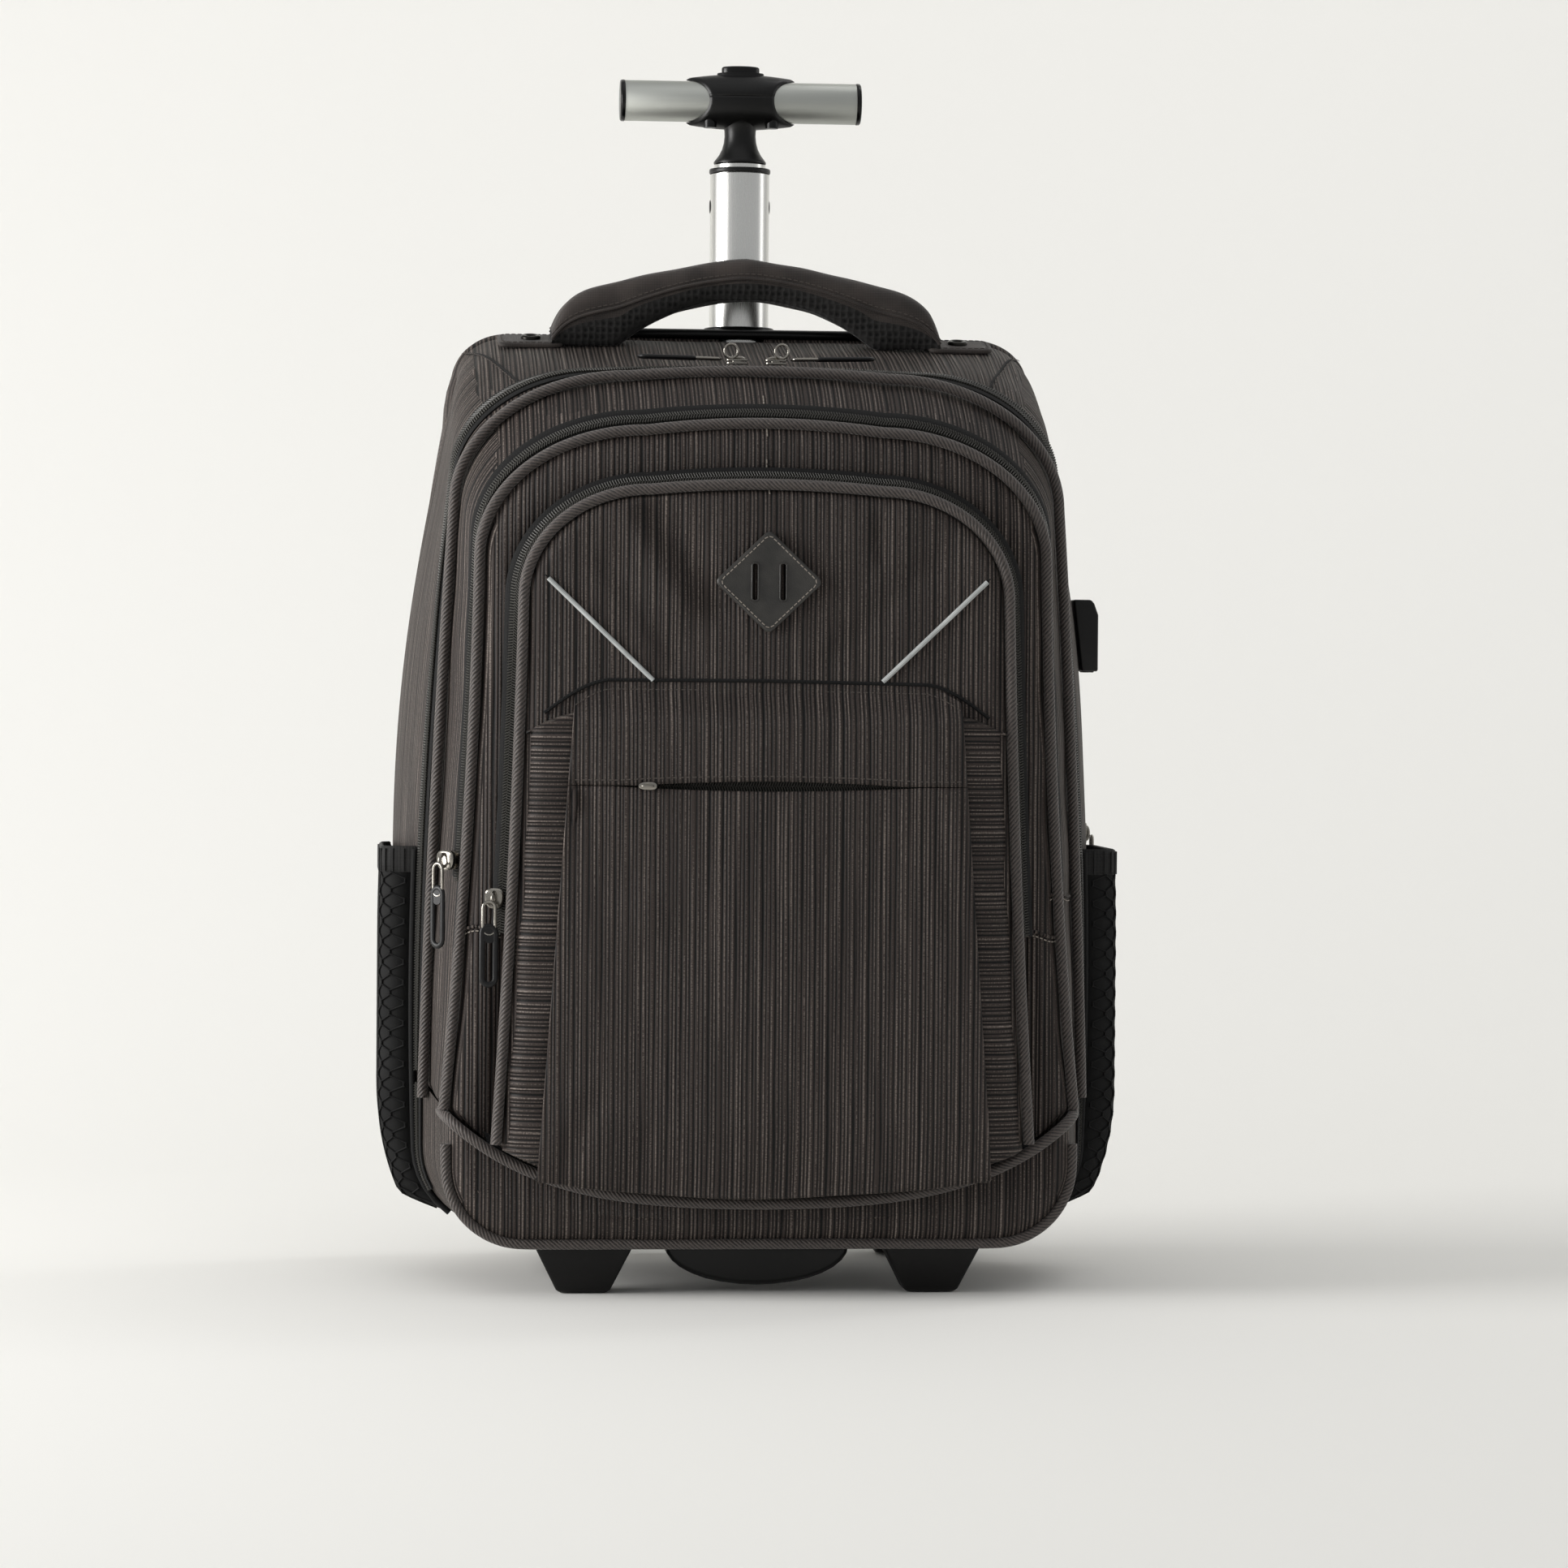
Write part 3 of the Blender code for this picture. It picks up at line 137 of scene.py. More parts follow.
@dataclass(frozen=True)
class Finish:
    """A surface finish, made into a material once and shared."""

    name: str
    slot: str

    def material(self) -> bpy.types.Material:
        """The finish's material, made on first use."""
        found = bpy.data.materials.get(self.name)
        if found:
            return found
        made = bpy.data.materials.new(self.name)
        made.use_nodes = True
        tree = made.node_tree
        self.paint(tree, tree.nodes["Principled BSDF"])
        return made

    def paint(self, tree: Tree, shader: Node) -> None:
        """Lay the finish's nodes into the tree."""
        raise NotImplementedError

    @staticmethod
    def place(tree: Tree, on: Coordinates, scale: Sequence[float]) -> Socket:
        """Pattern coordinates, scaled.

        Args:
            tree: The node tree.
            on: What the pattern is laid out on.
            scale: Repeats per metre along each axis.

        Returns:
            The scaled coordinates.
        """
        if on is Coordinates.CLOTH:
            source = add_node(tree, "ShaderNodeUVMap", uv_map="cloth").outputs["UV"]
        else:
            source = add_node(tree, "ShaderNodeTexCoord").outputs["Object"]
        return add_node(tree, "ShaderNodeMapping", {"Scale": tuple(scale)},
            {"Vector": source}).outputs["Vector"]

    @classmethod
    def noise(cls, tree: Tree, on: Coordinates, scale: Sequence[float], detail: float = 2.0,
            roughness: float = 0.5, **settings: str) -> Socket:
        """Smooth noise laid out on the given coordinates.

        Args:
            tree: The node tree.
            on: What the pattern is laid out on.
            scale: Repeats per metre along each axis.
            detail: Octaves of finer noise.
            roughness: How strong the finer octaves are.
            settings: The node's own properties.

        Returns:
            The noise's value.
        """
        return add_node(tree, "ShaderNodeTexNoise", {"Scale": 1.0, "Detail": detail, "Roughness": roughness},
            {"Vector": cls.place(tree, on, scale)}, **settings).outputs[0]

    @staticmethod
    def compute(tree: Tree, operation: str, first: Socket, second: float = 0.5) -> Socket:
        """One step of arithmetic on a value."""
        return add_node(tree, "ShaderNodeMath", {1: second}, {0: first}, operation=operation).outputs[0]

    @staticmethod
    def hold(shader: Node, **values: object) -> None:
        """Set the shader's steady values, named with underscores for spaces."""
        for key, value in values.items():
            shader.inputs[key.replace("_", " ")].default_value = value

    @staticmethod
    def ramp(tree: Tree, source: Socket, stops: Sequence[tuple[float, str]]) -> Socket:
        """Turn a value into a colour through sRGB stops."""
        node = add_node(tree, "ShaderNodeValToRGB", links={"Fac": source})
        marks = node.color_ramp.elements
        while len(marks) < len(stops):
            marks.new(0.5)
        for mark, (position, code) in zip(marks, stops):
            mark.position = position
            mark.color = linear(code)
        return node.outputs["Color"]

    @staticmethod
    def sum_of(tree: Tree, first: Socket, second: Socket, share: float) -> Socket:
        """Add a share of a second value to a first."""
        return add_node(tree, "ShaderNodeMath", {1: share}, {0: second, 2: first},
            operation="MULTIPLY_ADD").outputs[0]

    @staticmethod
    def gloss(tree: Tree, shader: Node, source: Socket, middle: float, spread_by: float) -> None:
        """Vary the roughness about a middle value."""
        mapped = add_node(tree, "ShaderNodeMapRange",
            {"To Min": middle - spread_by, "To Max": middle + spread_by}, {"Value": source})
        tree.links.new(mapped.outputs[0], shader.inputs["Roughness"])

    @staticmethod
    def dent(tree: Tree, shader: Node, height: Socket, depth: float, strength: float = 1.0) -> None:
        """Give the surface relief of a depth in metres from a height value."""
        bump = add_node(tree, "ShaderNodeBump", {"Strength": strength, "Distance": depth}, {"Height": height})
        tree.links.new(bump.outputs["Normal"], shader.inputs["Normal"])


@dataclass(frozen=True)
class StripedPolyester(Finish):
    """Corded woven polyester: rounded ribs of uneven width, with shade painted dark into the grooves, a
    highlight painted light onto the crests and a dry sheen on top.
    """

    # The dark groove colour is painted shade in the rib hollows and the light colour on the crests is a
    # painted highlight; the mid colour is the cloth's own.
    groove: str = "020202"
    mid: str = "342d2a"
    crest_highlight: str = "80766f"
    rib: float = 0.0022         # mean spacing of the ribs
    group: float = 0.0066       # one wide rib and two narrow ones repeat over this width
    streak: float = 0.14       # how long a thread keeps its shade
    thread: float = 0.0007      # weft spacing, drawn twice as coarse as the real one to show

    def paint(self, tree: Tree, shader: Node) -> None:
        """Ribs whose spacing wavers within each group, broken up by the weft and by uneven yarn, with painted
        shade and a painted highlight from the rib height.
        """
        across = add_node(tree, "ShaderNodeSeparateXYZ",
            links={"Vector": self.place(tree, Coordinates.CLOTH, (1.0, 1.0, 1.0))}).outputs["X"]
        yarn = self.noise(tree, CLOTH, (0.8 / self.rib, 1 / self.streak, 1.0), 2.0, 0.6,
            noise_dimensions="2D")
        sway = self.compute(tree, "SINE", self.compute(tree, "MULTIPLY", across, 2 * math.pi / self.group))
        bent = self.sum_of(tree, self.sum_of(tree, across, sway, self.rib * 0.16), yarn, self.rib * 0.7)
        wave = self.compute(tree, "SINE", self.compute(tree, "MULTIPLY", bent, math.pi / self.rib))
        ribs = self.compute(tree, "ABSOLUTE", wave)
        weft = self.noise(tree, CLOTH, (0.6 / self.thread, 1 / self.thread, 1.0), 1.0, noise_dimensions="2D")
        mixed = self.sum_of(tree, self.sum_of(tree, ribs, weft, 0.3), yarn, 0.45)
        shade = self.compute(tree, "MULTIPLY", mixed, 0.6)
        # Painted shade in the grooves and a painted highlight on the crests, from the rib height; the weft
        # and yarn add the cloth's own uneven tone.
        colour = self.ramp(tree, shade, ((0.38, self.groove), (0.6, self.mid), (0.78, self.mid),
            (0.92, self.crest_highlight)))
        tree.links.new(colour, shader.inputs["Base Color"])
        self.dent(tree, shader, self.sum_of(tree, ribs, weft, 0.15), 0.00055, 0.9)
        self.hold(shader, Roughness=0.6, Specular_IOR_Level=0.22, Sheen_Weight=0.1, Sheen_Roughness=0.3,
            Sheen_Tint=linear("d8d0c6"))


@dataclass(frozen=True)
class PlainWeave(Finish):
    """Plain woven tape or cloth: warp and weft cross evenly, so the surface reads as a fine dry grid."""

    dark: str = "0b0a0a"
    light: str = "1d1b1a"
    thread: float = 0.0008
    roughness: float = 0.75
    sheen: float = 0.1

    def paint(self, tree: Tree, shader: Node) -> None:
        """Two crossing waves of thread."""
        scale = 0.314 / self.thread
        across = add_node(tree, "ShaderNodeTexWave", {"Scale": 1.0, "Distortion": 0.5},
            {"Vector": self.place(tree, CLOTH, (scale, scale * 0.2, 1.0))},
            bands_direction="X").outputs["Fac"]
        along = add_node(tree, "ShaderNodeTexWave", {"Scale": 1.0, "Distortion": 0.5},
            {"Vector": self.place(tree, CLOTH, (scale * 0.2, scale, 1.0))},
            bands_direction="Y").outputs["Fac"]
        worn = self.noise(tree, CLOTH, (60.0, 60.0, 1.0), 3.0)
        height = self.sum_of(tree, self.sum_of(tree, worn, across, 0.25), along, 0.25)
        tree.links.new(self.ramp(tree, height, ((0.45, self.dark), (1.0, self.light))),
            shader.inputs["Base Color"])
        self.dent(tree, shader, height, 0.00025, 0.8)
        self.hold(shader, Roughness=self.roughness, Sheen_Weight=self.sheen, Specular_IOR_Level=0.3)


@dataclass(frozen=True)
class CordPiping(Finish):
    """Bias-cut cloth sewn over a cord: the stripes run round it slantwise like the lay of a rope."""

    dark: str = "14100e"
    light: str = "4b433f"
    pitch: float = 0.0023

    def paint(self, tree: Tree, shader: Node) -> None:
        """Slanting stripes along the cord."""
        scale = 0.628 / self.pitch
        lay = add_node(tree, "ShaderNodeTexWave", {"Scale": 1.0, "Distortion": 0.8, "Detail": 1.0},
            {"Vector": self.place(tree, CLOTH, (scale, scale, 1.0))},
            bands_direction="DIAGONAL").outputs["Fac"]
        fleck = self.noise(tree, CLOTH, (420.0, 420.0, 1.0))
        height = self.sum_of(tree, fleck, lay, 0.8)
        tree.links.new(self.ramp(tree, height, ((0.45, self.dark), (1.0, self.light))),
            shader.inputs["Base Color"])
        self.dent(tree, shader, height, 0.0004, 0.9)
        self.hold(shader, Roughness=0.6, Sheen_Weight=0.15)


@dataclass(frozen=True)
class SpacerMesh(Finish):
    """Knitted spacer mesh over foam: open cells in rows, matt black, with painted shade in the holes."""

    hole: str = "040404"
    knit: str = "232221"
    cell: float = 0.0034

    def paint(self, tree: Tree, shader: Node) -> None:
        """Round cells from distance to scattered points."""
        cells = add_node(tree, "ShaderNodeTexVoronoi", {"Scale": 1.0, "Randomness": 0.25},
            {"Vector": self.place(tree, OBJECT, (1 / self.cell,) * 3)}).outputs["Distance"]
        # The cells' sunken middles are painted dark as the shade inside the open holes.
        tree.links.new(self.ramp(tree, cells, ((0.18, self.hole), (0.42, self.knit))),
            shader.inputs["Base Color"])
        self.dent(tree, shader, cells, 0.0012, 0.8)
        self.hold(shader, Roughness=0.85, Sheen_Weight=0.08, Specular_IOR_Level=0.25)


@dataclass(frozen=True)
class EmbossedLeather(Finish):
    """Coated split leather: a smooth pressed face with a tight pore grain and a soft semi-gloss."""

    dark: str = "232220"
    light: str = "34322f"

    def paint(self, tree: Tree, shader: Node) -> None:
        """Pore cells over slow shade changes."""
        pores = add_node(tree, "ShaderNodeTexVoronoi", {"Scale": 1.0},
            {"Vector": self.place(tree, OBJECT, (1400.0,) * 3)}).outputs["Distance"]
        slow = self.noise(tree, OBJECT, (90.0,) * 3, 3.0)
        tree.links.new(self.ramp(tree, slow, ((0.3, self.dark), (0.7, self.light))),
            shader.inputs["Base Color"])
        self.dent(tree, shader, self.sum_of(tree, slow, pores, 0.5), 0.0002, 0.6)
        shader.inputs["Roughness"].default_value = 0.42


@dataclass(frozen=True)
class Moulded(Finish):
    """Moulded plastic or rubber: one colour through, with a fine spark-eroded grain and a cloudy gloss."""

    code: str = "0c0c0c"
    roughness: float = 0.42
    grain: float = 0.0007       # grain spacing, drawn coarser than real so that it shows
    depth: float = 0.00006

    def paint(self, tree: Tree, shader: Node) -> None:
        """Grain relief and a faint cloudy gloss."""
        grain = self.noise(tree, OBJECT, (1 / self.grain,) * 3)
        cloud = self.noise(tree, OBJECT, (45.0,) * 3, 3.0)
        self.gloss(tree, shader, cloud, self.roughness, 0.07)
        self.hold(shader, Base_Color=linear(self.code), Specular_IOR_Level=0.28)
        self.dent(tree, shader, grain, self.depth, 0.7)


@dataclass(frozen=True)
class BrushedMetal(Finish):
    """Drawn or brushed metal: fine scratches along one way stretch the highlight and streak the gloss."""

    code: str = "d2d2cf"
    roughness: float = 0.3
    lay: tuple[float, float, float] = (2600.0, 2600.0, 14.0)    # scratches per metre along each axis

    def paint(self, tree: Tree, shader: Node) -> None:
        """Scratch lines in the gloss and in slight relief."""
        lines = self.noise(tree, OBJECT, self.lay, 3.0, 0.6)
        self.gloss(tree, shader, lines, self.roughness, 0.09)
        self.hold(shader, Base_Color=linear(self.code), Metallic=1.0)
        self.dent(tree, shader, lines, 0.00003, 0.5)


@dataclass(frozen=True)
class MattPaper(Finish):
    """Seamless studio paper: dead matt, nearly white, and clear from behind so that the back can be seen."""

    code: str = "f2f1ed"

    def paint(self, tree: Tree, shader: Node) -> None:
        """A flat matt colour with the faintest mottling."""
        mottle = self.noise(tree, OBJECT, (1.2,) * 3)
        tree.links.new(self.ramp(tree, mottle, ((0.0, "f0efeb"), (1.0, self.code))),
            shader.inputs["Base Color"])
        self.hold(shader, Roughness=0.95, Specular_IOR_Level=0.1)
        behind = add_node(tree, "ShaderNodeNewGeometry").outputs["Backfacing"]
        clear = add_node(tree, "ShaderNodeBsdfTransparent").outputs[0]
        mixed = add_node(tree, "ShaderNodeMixShader", links={0: behind, 1: shader.outputs[0], 2: clear})
        tree.links.new(mixed.outputs[0], tree.nodes["Material Output"].inputs["Surface"])


STRIPES = StripedPolyester("striped woven polyester", "striped_polyester")
COVER = PlainWeave("plain woven polyester", "striped_polyester", "1b1715", "3c3531", 0.0009, 0.6, 0.08)
LINING = PlainWeave("black polyester lining", "lining", "0c0c0d", "1b1b1d", 0.0009)
TAPE = PlainWeave("herringbone zip tape", "zip_tape", "030303", "0a0a0a", 0.0008, 0.8, 0.02)
WEBBING = PlainWeave("ribbed nylon webbing", "padded_mesh", "080808", "1c1b1b", 0.0013, 0.6)
ELASTIC = PlainWeave("ribbed elastic binding", "net", "060606", "171615", 0.0016, 0.7)
PIPING = CordPiping("bias-cut polyester piping", "piping_fabric")
REFLECTIVE = PlainWeave("silver reflective piping", "piping_fabric", "8e9190", "c9cccb", 0.0008, 0.35, 0.0)
MESH = SpacerMesh("knitted spacer mesh", "padded_mesh")
NETTING = Moulded("knitted nylon net", "net", "030303", 0.75, 0.0006)
LEATHER = EmbossedLeather("coated split leather", "patch_leather")
# The zip coil is dark nylon; its colour is lightened as a painted glint on the teeth.
COIL_WITH_PAINTED_GLINT = Moulded("nylon zip coil with painted glint", "zip_tape", "3b3a37", 0.28, 0.0005)
THREAD = Moulded("bonded polyester thread", "piping_fabric", "4b4541", 0.6, 0.0004)
PALE_THREAD = Moulded("pale polyester thread", "piping_fabric", "8d857c", 0.6, 0.0004)
NICKEL = BrushedMetal("dark nickel plating", "slider_nickel", "8f8b84", 0.24, (900.0, 900.0, 900.0))
BLACKENED = BrushedMetal("black plated steel", "black_metal", "2a2927", 0.32, (900.0, 900.0, 900.0))
GRIP_RUBBER = Moulded("moulded grip rubber", "puller_rubber", "111112", 0.38, 0.0008)
ABS = Moulded("moulded black ABS", "black_plastic", "050505", 0.36, 0.0009)
GLASSY = Moulded("polished black ABS", "black_plastic", "050505", 0.24, 0.0009, 0.00003)
FOOT = Moulded("textured black polypropylene", "foot_plastic", "050404", 0.5, 0.0011, 0.00012)
TYRE = Moulded("black tyre rubber", "wheel_tyre", "121212", 0.7, 0.0012, 0.0001)
SEAL = Moulded("moulded seal rubber", "seal_rubber", "0a0a0a", 0.35, 0.0006)
ALUMINIUM = BrushedMetal("brushed aluminium", "brushed_aluminium", "dadad7", 0.27)
SATIN = BrushedMetal("anodised satin aluminium", "anodised_bar", "b4b6b1", 0.48, (14.0, 2200.0, 2200.0))
DRAWN = BrushedMetal("drawn aluminium", "rod_aluminium", "c4c4c2", 0.3)
ZINC = BrushedMetal("zinc plated steel", "plain_steel", "b5b5b2", 0.3, (14.0, 1800.0, 1800.0))
PAPER = MattPaper("studio paper", "stage")


# ---------------------------------------------------------------- meshes and pieces

class Weave(Enum):
    """Which way a piece's warp runs."""

    WRAP = "upright on faces that look forwards or sideways, front to back on top"
    FRONT = "upright, spaced across the width"
    ACROSS = "level, spaced up the height"
    KEEP = "the map made with the mesh"


def as_mesh(points: Array, faces: Sequence[Sequence[int]]) -> Mesh:
    """A mesh from points and faces."""
    mesh = bpy.data.meshes.new("mesh")
    mesh.from_pydata([tuple(p) for p in np.asarray(points, float).reshape(-1, 3)], [],
        [tuple(f) for f in faces])
    mesh.update()
    return mesh


def grid_faces(rows: int, columns: int, wrap: bool = False, wrap_rows: bool = False) -> list[tuple[int, ...]]:
    """Quads of a grid of points held row by row."""
    faces = []
    for r in range(rows if wrap_rows else rows - 1):
        below, above = r * columns, ((r + 1) % rows) * columns
        for c in range(columns if wrap else columns - 1):
            n = (c + 1) % columns
            faces.append((below + c, below + n, above + n, above + c))
    return faces


def skin(rows: Sequence[Array], wrap: bool = True, wrap_rows: bool = False, caps: bool = False,
        end: bool = False) -> Mesh:
    """Skin rows of equal length.

    Args:
        rows: Rows of points.
        wrap: Whether each row closes on itself.
        wrap_rows: Whether the last row joins the first.
        caps: Whether the first and last rows are filled.
        end: Whether only the last row is filled.

    Returns:
        The mesh, facing out where it is closed.
    """
    points = np.asarray(rows, float)
    count, width = points.shape[:2]
    faces = grid_faces(count, width, wrap, wrap_rows)
    if caps:
        faces.append(tuple(range(width - 1, -1, -1)))
    if caps or end:
        faces.append(tuple(range((count - 1) * width, count * width)))
    mesh = as_mesh(points, faces)
    if caps or wrap_rows:
        face_out(mesh)
    return mesh


def face_out(mesh: Mesh) -> None:
    """Turn a closed mesh's faces outwards."""
    bm = bmesh.new()
    bm.from_mesh(mesh)
    bmesh.ops.recalc_face_normals(bm, faces=bm.faces)
    bm.to_mesh(mesh)
    bm.free()


def face_from(mesh: Mesh, centre: Sequence[float]) -> None:
    """Turn an open sheet over if most of it looks towards a point inside."""
    total = sum((Vector(f.center) - Vector(centre)).dot(f.normal) * f.area for f in mesh.polygons)
    if total < 0:
        mesh.flip_normals()


def coordinates(mesh: Mesh) -> Array:
    """The mesh's points as an array."""
    flat = np.empty(len(mesh.vertices) * 3)
    mesh.vertices.foreach_get("co", flat)
    return flat.reshape(-1, 3)


def shift(mesh: Mesh, amount: Callable[[Array], Array]) -> None:
    """Move each point along its normal by an amount worked out from its place."""
    points = coordinates(mesh)
    normals = np.empty(len(mesh.vertices) * 3)
    mesh.vertices.foreach_get("normal", normals)
    moved = points + normals.reshape(-1, 3) * amount(points)[:, None]
    mesh.vertices.foreach_set("co", moved.ravel())
    mesh.update()


def ripple(points: Array, size: Sequence[float], seed: int, waves: int = 7) -> Array:
    """Soft random undulation between -1 and 1.

    Args:
        points: Places in metres.
        size: Typical length of an undulation along each axis.
        seed: Seed of the pattern.
        waves: How many waves are added.

    Returns:
        One value for each place.
    """
    random = np.random.RandomState(seed)
    total = np.zeros(len(points))
    for _ in range(waves):
        heading = random.normal(size=3)
        heading /= np.linalg.norm(heading)
        total += np.sin((points / np.asarray(size)) @ heading * random.uniform(3.0, 7.5)
            + random.uniform(0, 6.28))
    return total / waves * 1.6


def groove(points: Array, ends: Sequence[Sequence[float]], width: float) -> Array:
    """How near each place is to a line in the XZ plane, from 1 on it to 0."""
    a, b = (np.array(e, float) for e in ends)
    flat = points[:, (0, 2)]
    along = b - a
    share = np.clip((flat - a) @ along / (along @ along), 0, 1)
    distance = np.linalg.norm(flat - a - share[:, None] * along, axis=1)
    return np.exp(-(distance / width) ** 2)


def creased(points: Array, creases: Sequence[tuple]) -> Array:
    """Height of several creases at each place, each given as its depth, its two ends and its width."""
    return sum(depth * groove(points, ends, width) for depth, ends, width in creases)


def lay_cloth(mesh: Mesh, weave: Weave) -> None:
    """Give a mesh its cloth map, in metres across and along the warp.

    Args:
        mesh: The mesh.
        weave: Which way the warp runs.
    """
    if weave is Weave.KEEP:
        return
    points = coordinates(mesh)
    corner = np.empty(len(mesh.loops), int)
    mesh.loops.foreach_get("vertex_index", corner)
    sizes = np.array([p.loop_total for p in mesh.polygons])
    normals = np.repeat(np.array([p.normal for p in mesh.polygons]), sizes, axis=0)
    spots = points[corner]
    x, y, z = spots.T
    u, v = x.copy(), z.copy()
    if weave is Weave.WRAP:
        side = np.abs(normals[:, 0]) > 0.62
        top = (np.abs(normals[:, 2]) > 0.75) & ~side
        u = np.where(side, y, x)
        v = np.where(top, y, z)
    elif weave is Weave.ACROSS:
        u, v = z.copy(), x.copy()
    layer = mesh.uv_layers.get("cloth") or mesh.uv_layers.new(name="cloth")
    layer.data.foreach_set("uv", np.column_stack([u, v]).astype(np.float32).ravel())


def piece(name: str, mesh: Mesh, *finishes: Finish, weave: Weave = Weave.WRAP, sharp: float = 50.0) -> Item:
    """Make an object of a mesh, with its finishes, cloth map and smooth shading.

    Args:
        name: The piece's name.
        mesh: Its mesh, in place.
        finishes: Its finishes in slot order.
        weave: Which way the warp runs.
        sharp: Angle over which an edge stays sharp, in degrees.

    Returns:
        The object.
    """
    lay_cloth(mesh, weave)
    mesh.name = name
    mesh.shade_smooth()
    mesh.set_sharp_from_angle(angle=math.radians(sharp))
    made = bpy.data.objects.new(name, mesh)
    bpy.context.scene.collection.objects.link(made)
    made.data.materials.clear()
    for finish in finishes:
        made.data.materials.append(finish.material())
    return made


def bake(item: Item) -> None:
    """Replace an object's mesh with its evaluated one and drop its modifiers."""
    bpy.context.view_layer.update()
    graph = bpy.context.evaluated_depsgraph_get()
    result = bpy.data.meshes.new_from_object(item.evaluated_get(graph), preserve_all_data_layers=True,
        depsgraph=graph)
    item.modifiers.clear()
    old = item.data
    item.data = result
    result.name = item.name
    bpy.data.meshes.remove(old)


def modify(item: Item, kind: str, **settings: object) -> None:
    """Add a modifier, set it and bake it in."""
    modifier = item.modifiers.new(kind.lower(), kind)
    for key, value in settings.items():
        setattr(modifier, key, value)
    bake(item)


def settle(item: Item, body: str, finish: Finish, *nodes: str, fill: float | None = None) -> None:
    """Hand a finished piece to the frame.

    Args:
        item: The piece.
        body: The CAD body that it rides on.
        finish: Its main finish; not used.
        nodes: CAD nodes that it stands for.
        fill: How full a padded piece is; not used.
    """
    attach(item, body)
    if nodes:
        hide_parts(*nodes)
    LOG.info("%s: %d faces on %s", item.name, len(item.data.polygons), body)


def add(name: str, mesh: Mesh, body: str, finish: Finish, *nodes: str, weave: Weave = Weave.WRAP,
        sharp: float = 50.0, fill: float | None = None) -> Item:
    """Make a piece in one finish and hand it to the frame.

    Args:
        name: The piece's name.
        mesh: Its mesh, in place.
        body: The CAD body that it rides on.
        finish: Its finish.
        nodes: CAD nodes that it stands for.
        weave: Which way the warp runs.
        sharp: Angle over which an edge stays sharp, in degrees.
        fill: How full a padded piece is.

    Returns:
        The object.
    """
    made = piece(name, mesh, finish, weave=weave, sharp=sharp)
    settle(made, body, finish, *nodes, fill=fill)
    return made


def strand(name: str, body: str, finish: Finish, path: Array, radius: float | Sequence[float],
        sides: int = 10, **shape: object) -> None:
    """Sweep a cord, seam or strap along a path and hand it to the frame.

    Args:
        name: The piece's name.
        body: The CAD body that it rides on.
        finish: Its finish.
        path: Centreline points.
        radius: One radius, or one for each point.
        sides: Points round the section.
        shape: The section's other settings, as tube takes them.
    """
    add(name, tube(path, radius, sides, **shape), body, finish, weave=Weave.KEEP)


def tube(path: Array, radius: float | Sequence[float], sides: int = 10, closed: bool = False,
        flat: float = 1.0, out: Sequence[float] | None = None) -> Mesh:
    """Sweep a round or oval section along a path, with a cloth map of length and girth.

    Args:
        path: Centreline points.
        radius: One radius, or one for each point.
        sides: Points round the section.
        closed: Whether the path closes on itself.
        flat: How thick the section is along the out direction, as a share of its width.
        out: Direction that the section's flat side faces; any steady one if missing.

    Returns:
        The closed mesh.
    """
    points = np.asarray(path, float)
    count = len(points)
    along = unit(headings(points, closed))
    across = unit(np.cross(along, np.array(out or (0.13, -0.97, 0.21), float)))
    normal = np.cross(across, along)
    radii = np.broadcast_to(np.asarray(radius, float), (count,))[:, None]
    rows = []
    for k in range(sides):
        angle = 2 * math.pi * k / sides
        rows.append(points + radii * (across * math.cos(angle) + normal * (math.sin(angle) * flat)))
    grid = np.stack(rows, axis=1)
    mesh = skin(grid, wrap=True, wrap_rows=closed, caps=not closed)
    steps = np.linalg.norm(np.diff(points, axis=0), axis=1)
    length = np.concatenate([[0], np.cumsum(steps)])
    girth = 2 * math.pi * float(np.mean(radii))
    layer = mesh.uv_layers.new(name="cloth")
    for face in mesh.polygons:
        rings = [v // sides for v in face.vertices]
        spokes = [v % sides for v in face.vertices]
        for loop, ring, spoke in zip(face.loop_indices, rings, spokes):
            run = length[ring] + (length[-1] if closed and max(rings) - min(rings) > 1 and ring == 0 else 0.0)
            turn = spoke + (sides if max(spokes) - min(spokes) > 1 and spoke == 0 else 0)
            layer.data[loop].uv = (run, turn / sides * girth)
    return mesh


def turned(profile: Sequence[tuple[float, float]], centre: Sequence[float], axis: str = "Z",
        segments: int = 72, closed: bool = False) -> Mesh:
    """Turn a profile of (radius, height) points about an axis.

    Args:
        profile: Points of the profile.
        centre: A point on the axis.
        axis: X or Z.
        segments: Points round the turn.
        closed: Whether the profile closes on itself, as on a ring.

    Returns:
        The closed mesh.
    """
    angles = np.linspace(0, 2 * math.pi, segments, endpoint=False)
    rows = []
    for radius, height in profile:
        ring = np.column_stack([radius * np.cos(angles), radius * np.sin(angles), np.full(segments, height)])
        rows.append((ring[:, (2, 0, 1)] if axis == "X" else ring) + np.asarray(centre, float))
    return skin(rows, wrap_rows=closed, caps=not closed)


def squared(count: int, half_x: float, half_y: float, power_x: float, power_y: float) -> tuple[Array, Array]:
    """Places across and up round a rectangle with soft corners.

    Args:
        count: How many points.
        half_x: Half of its width.
        half_y: Half of its height.
        power_x: How round its upright sides are, from 0 for flat to 1 for an ellipse.
        power_y: How round its level sides are.

    Returns:
        The two rows of coordinates.
    """
    angles = np.linspace(0, 2 * math.pi, count, endpoint=False)
    x, y = np.cos(angles), np.sin(angles)
    return np.sign(x) * np.abs(x) ** power_x * half_x, np.sign(y) * np.abs(y) ** power_y * half_y


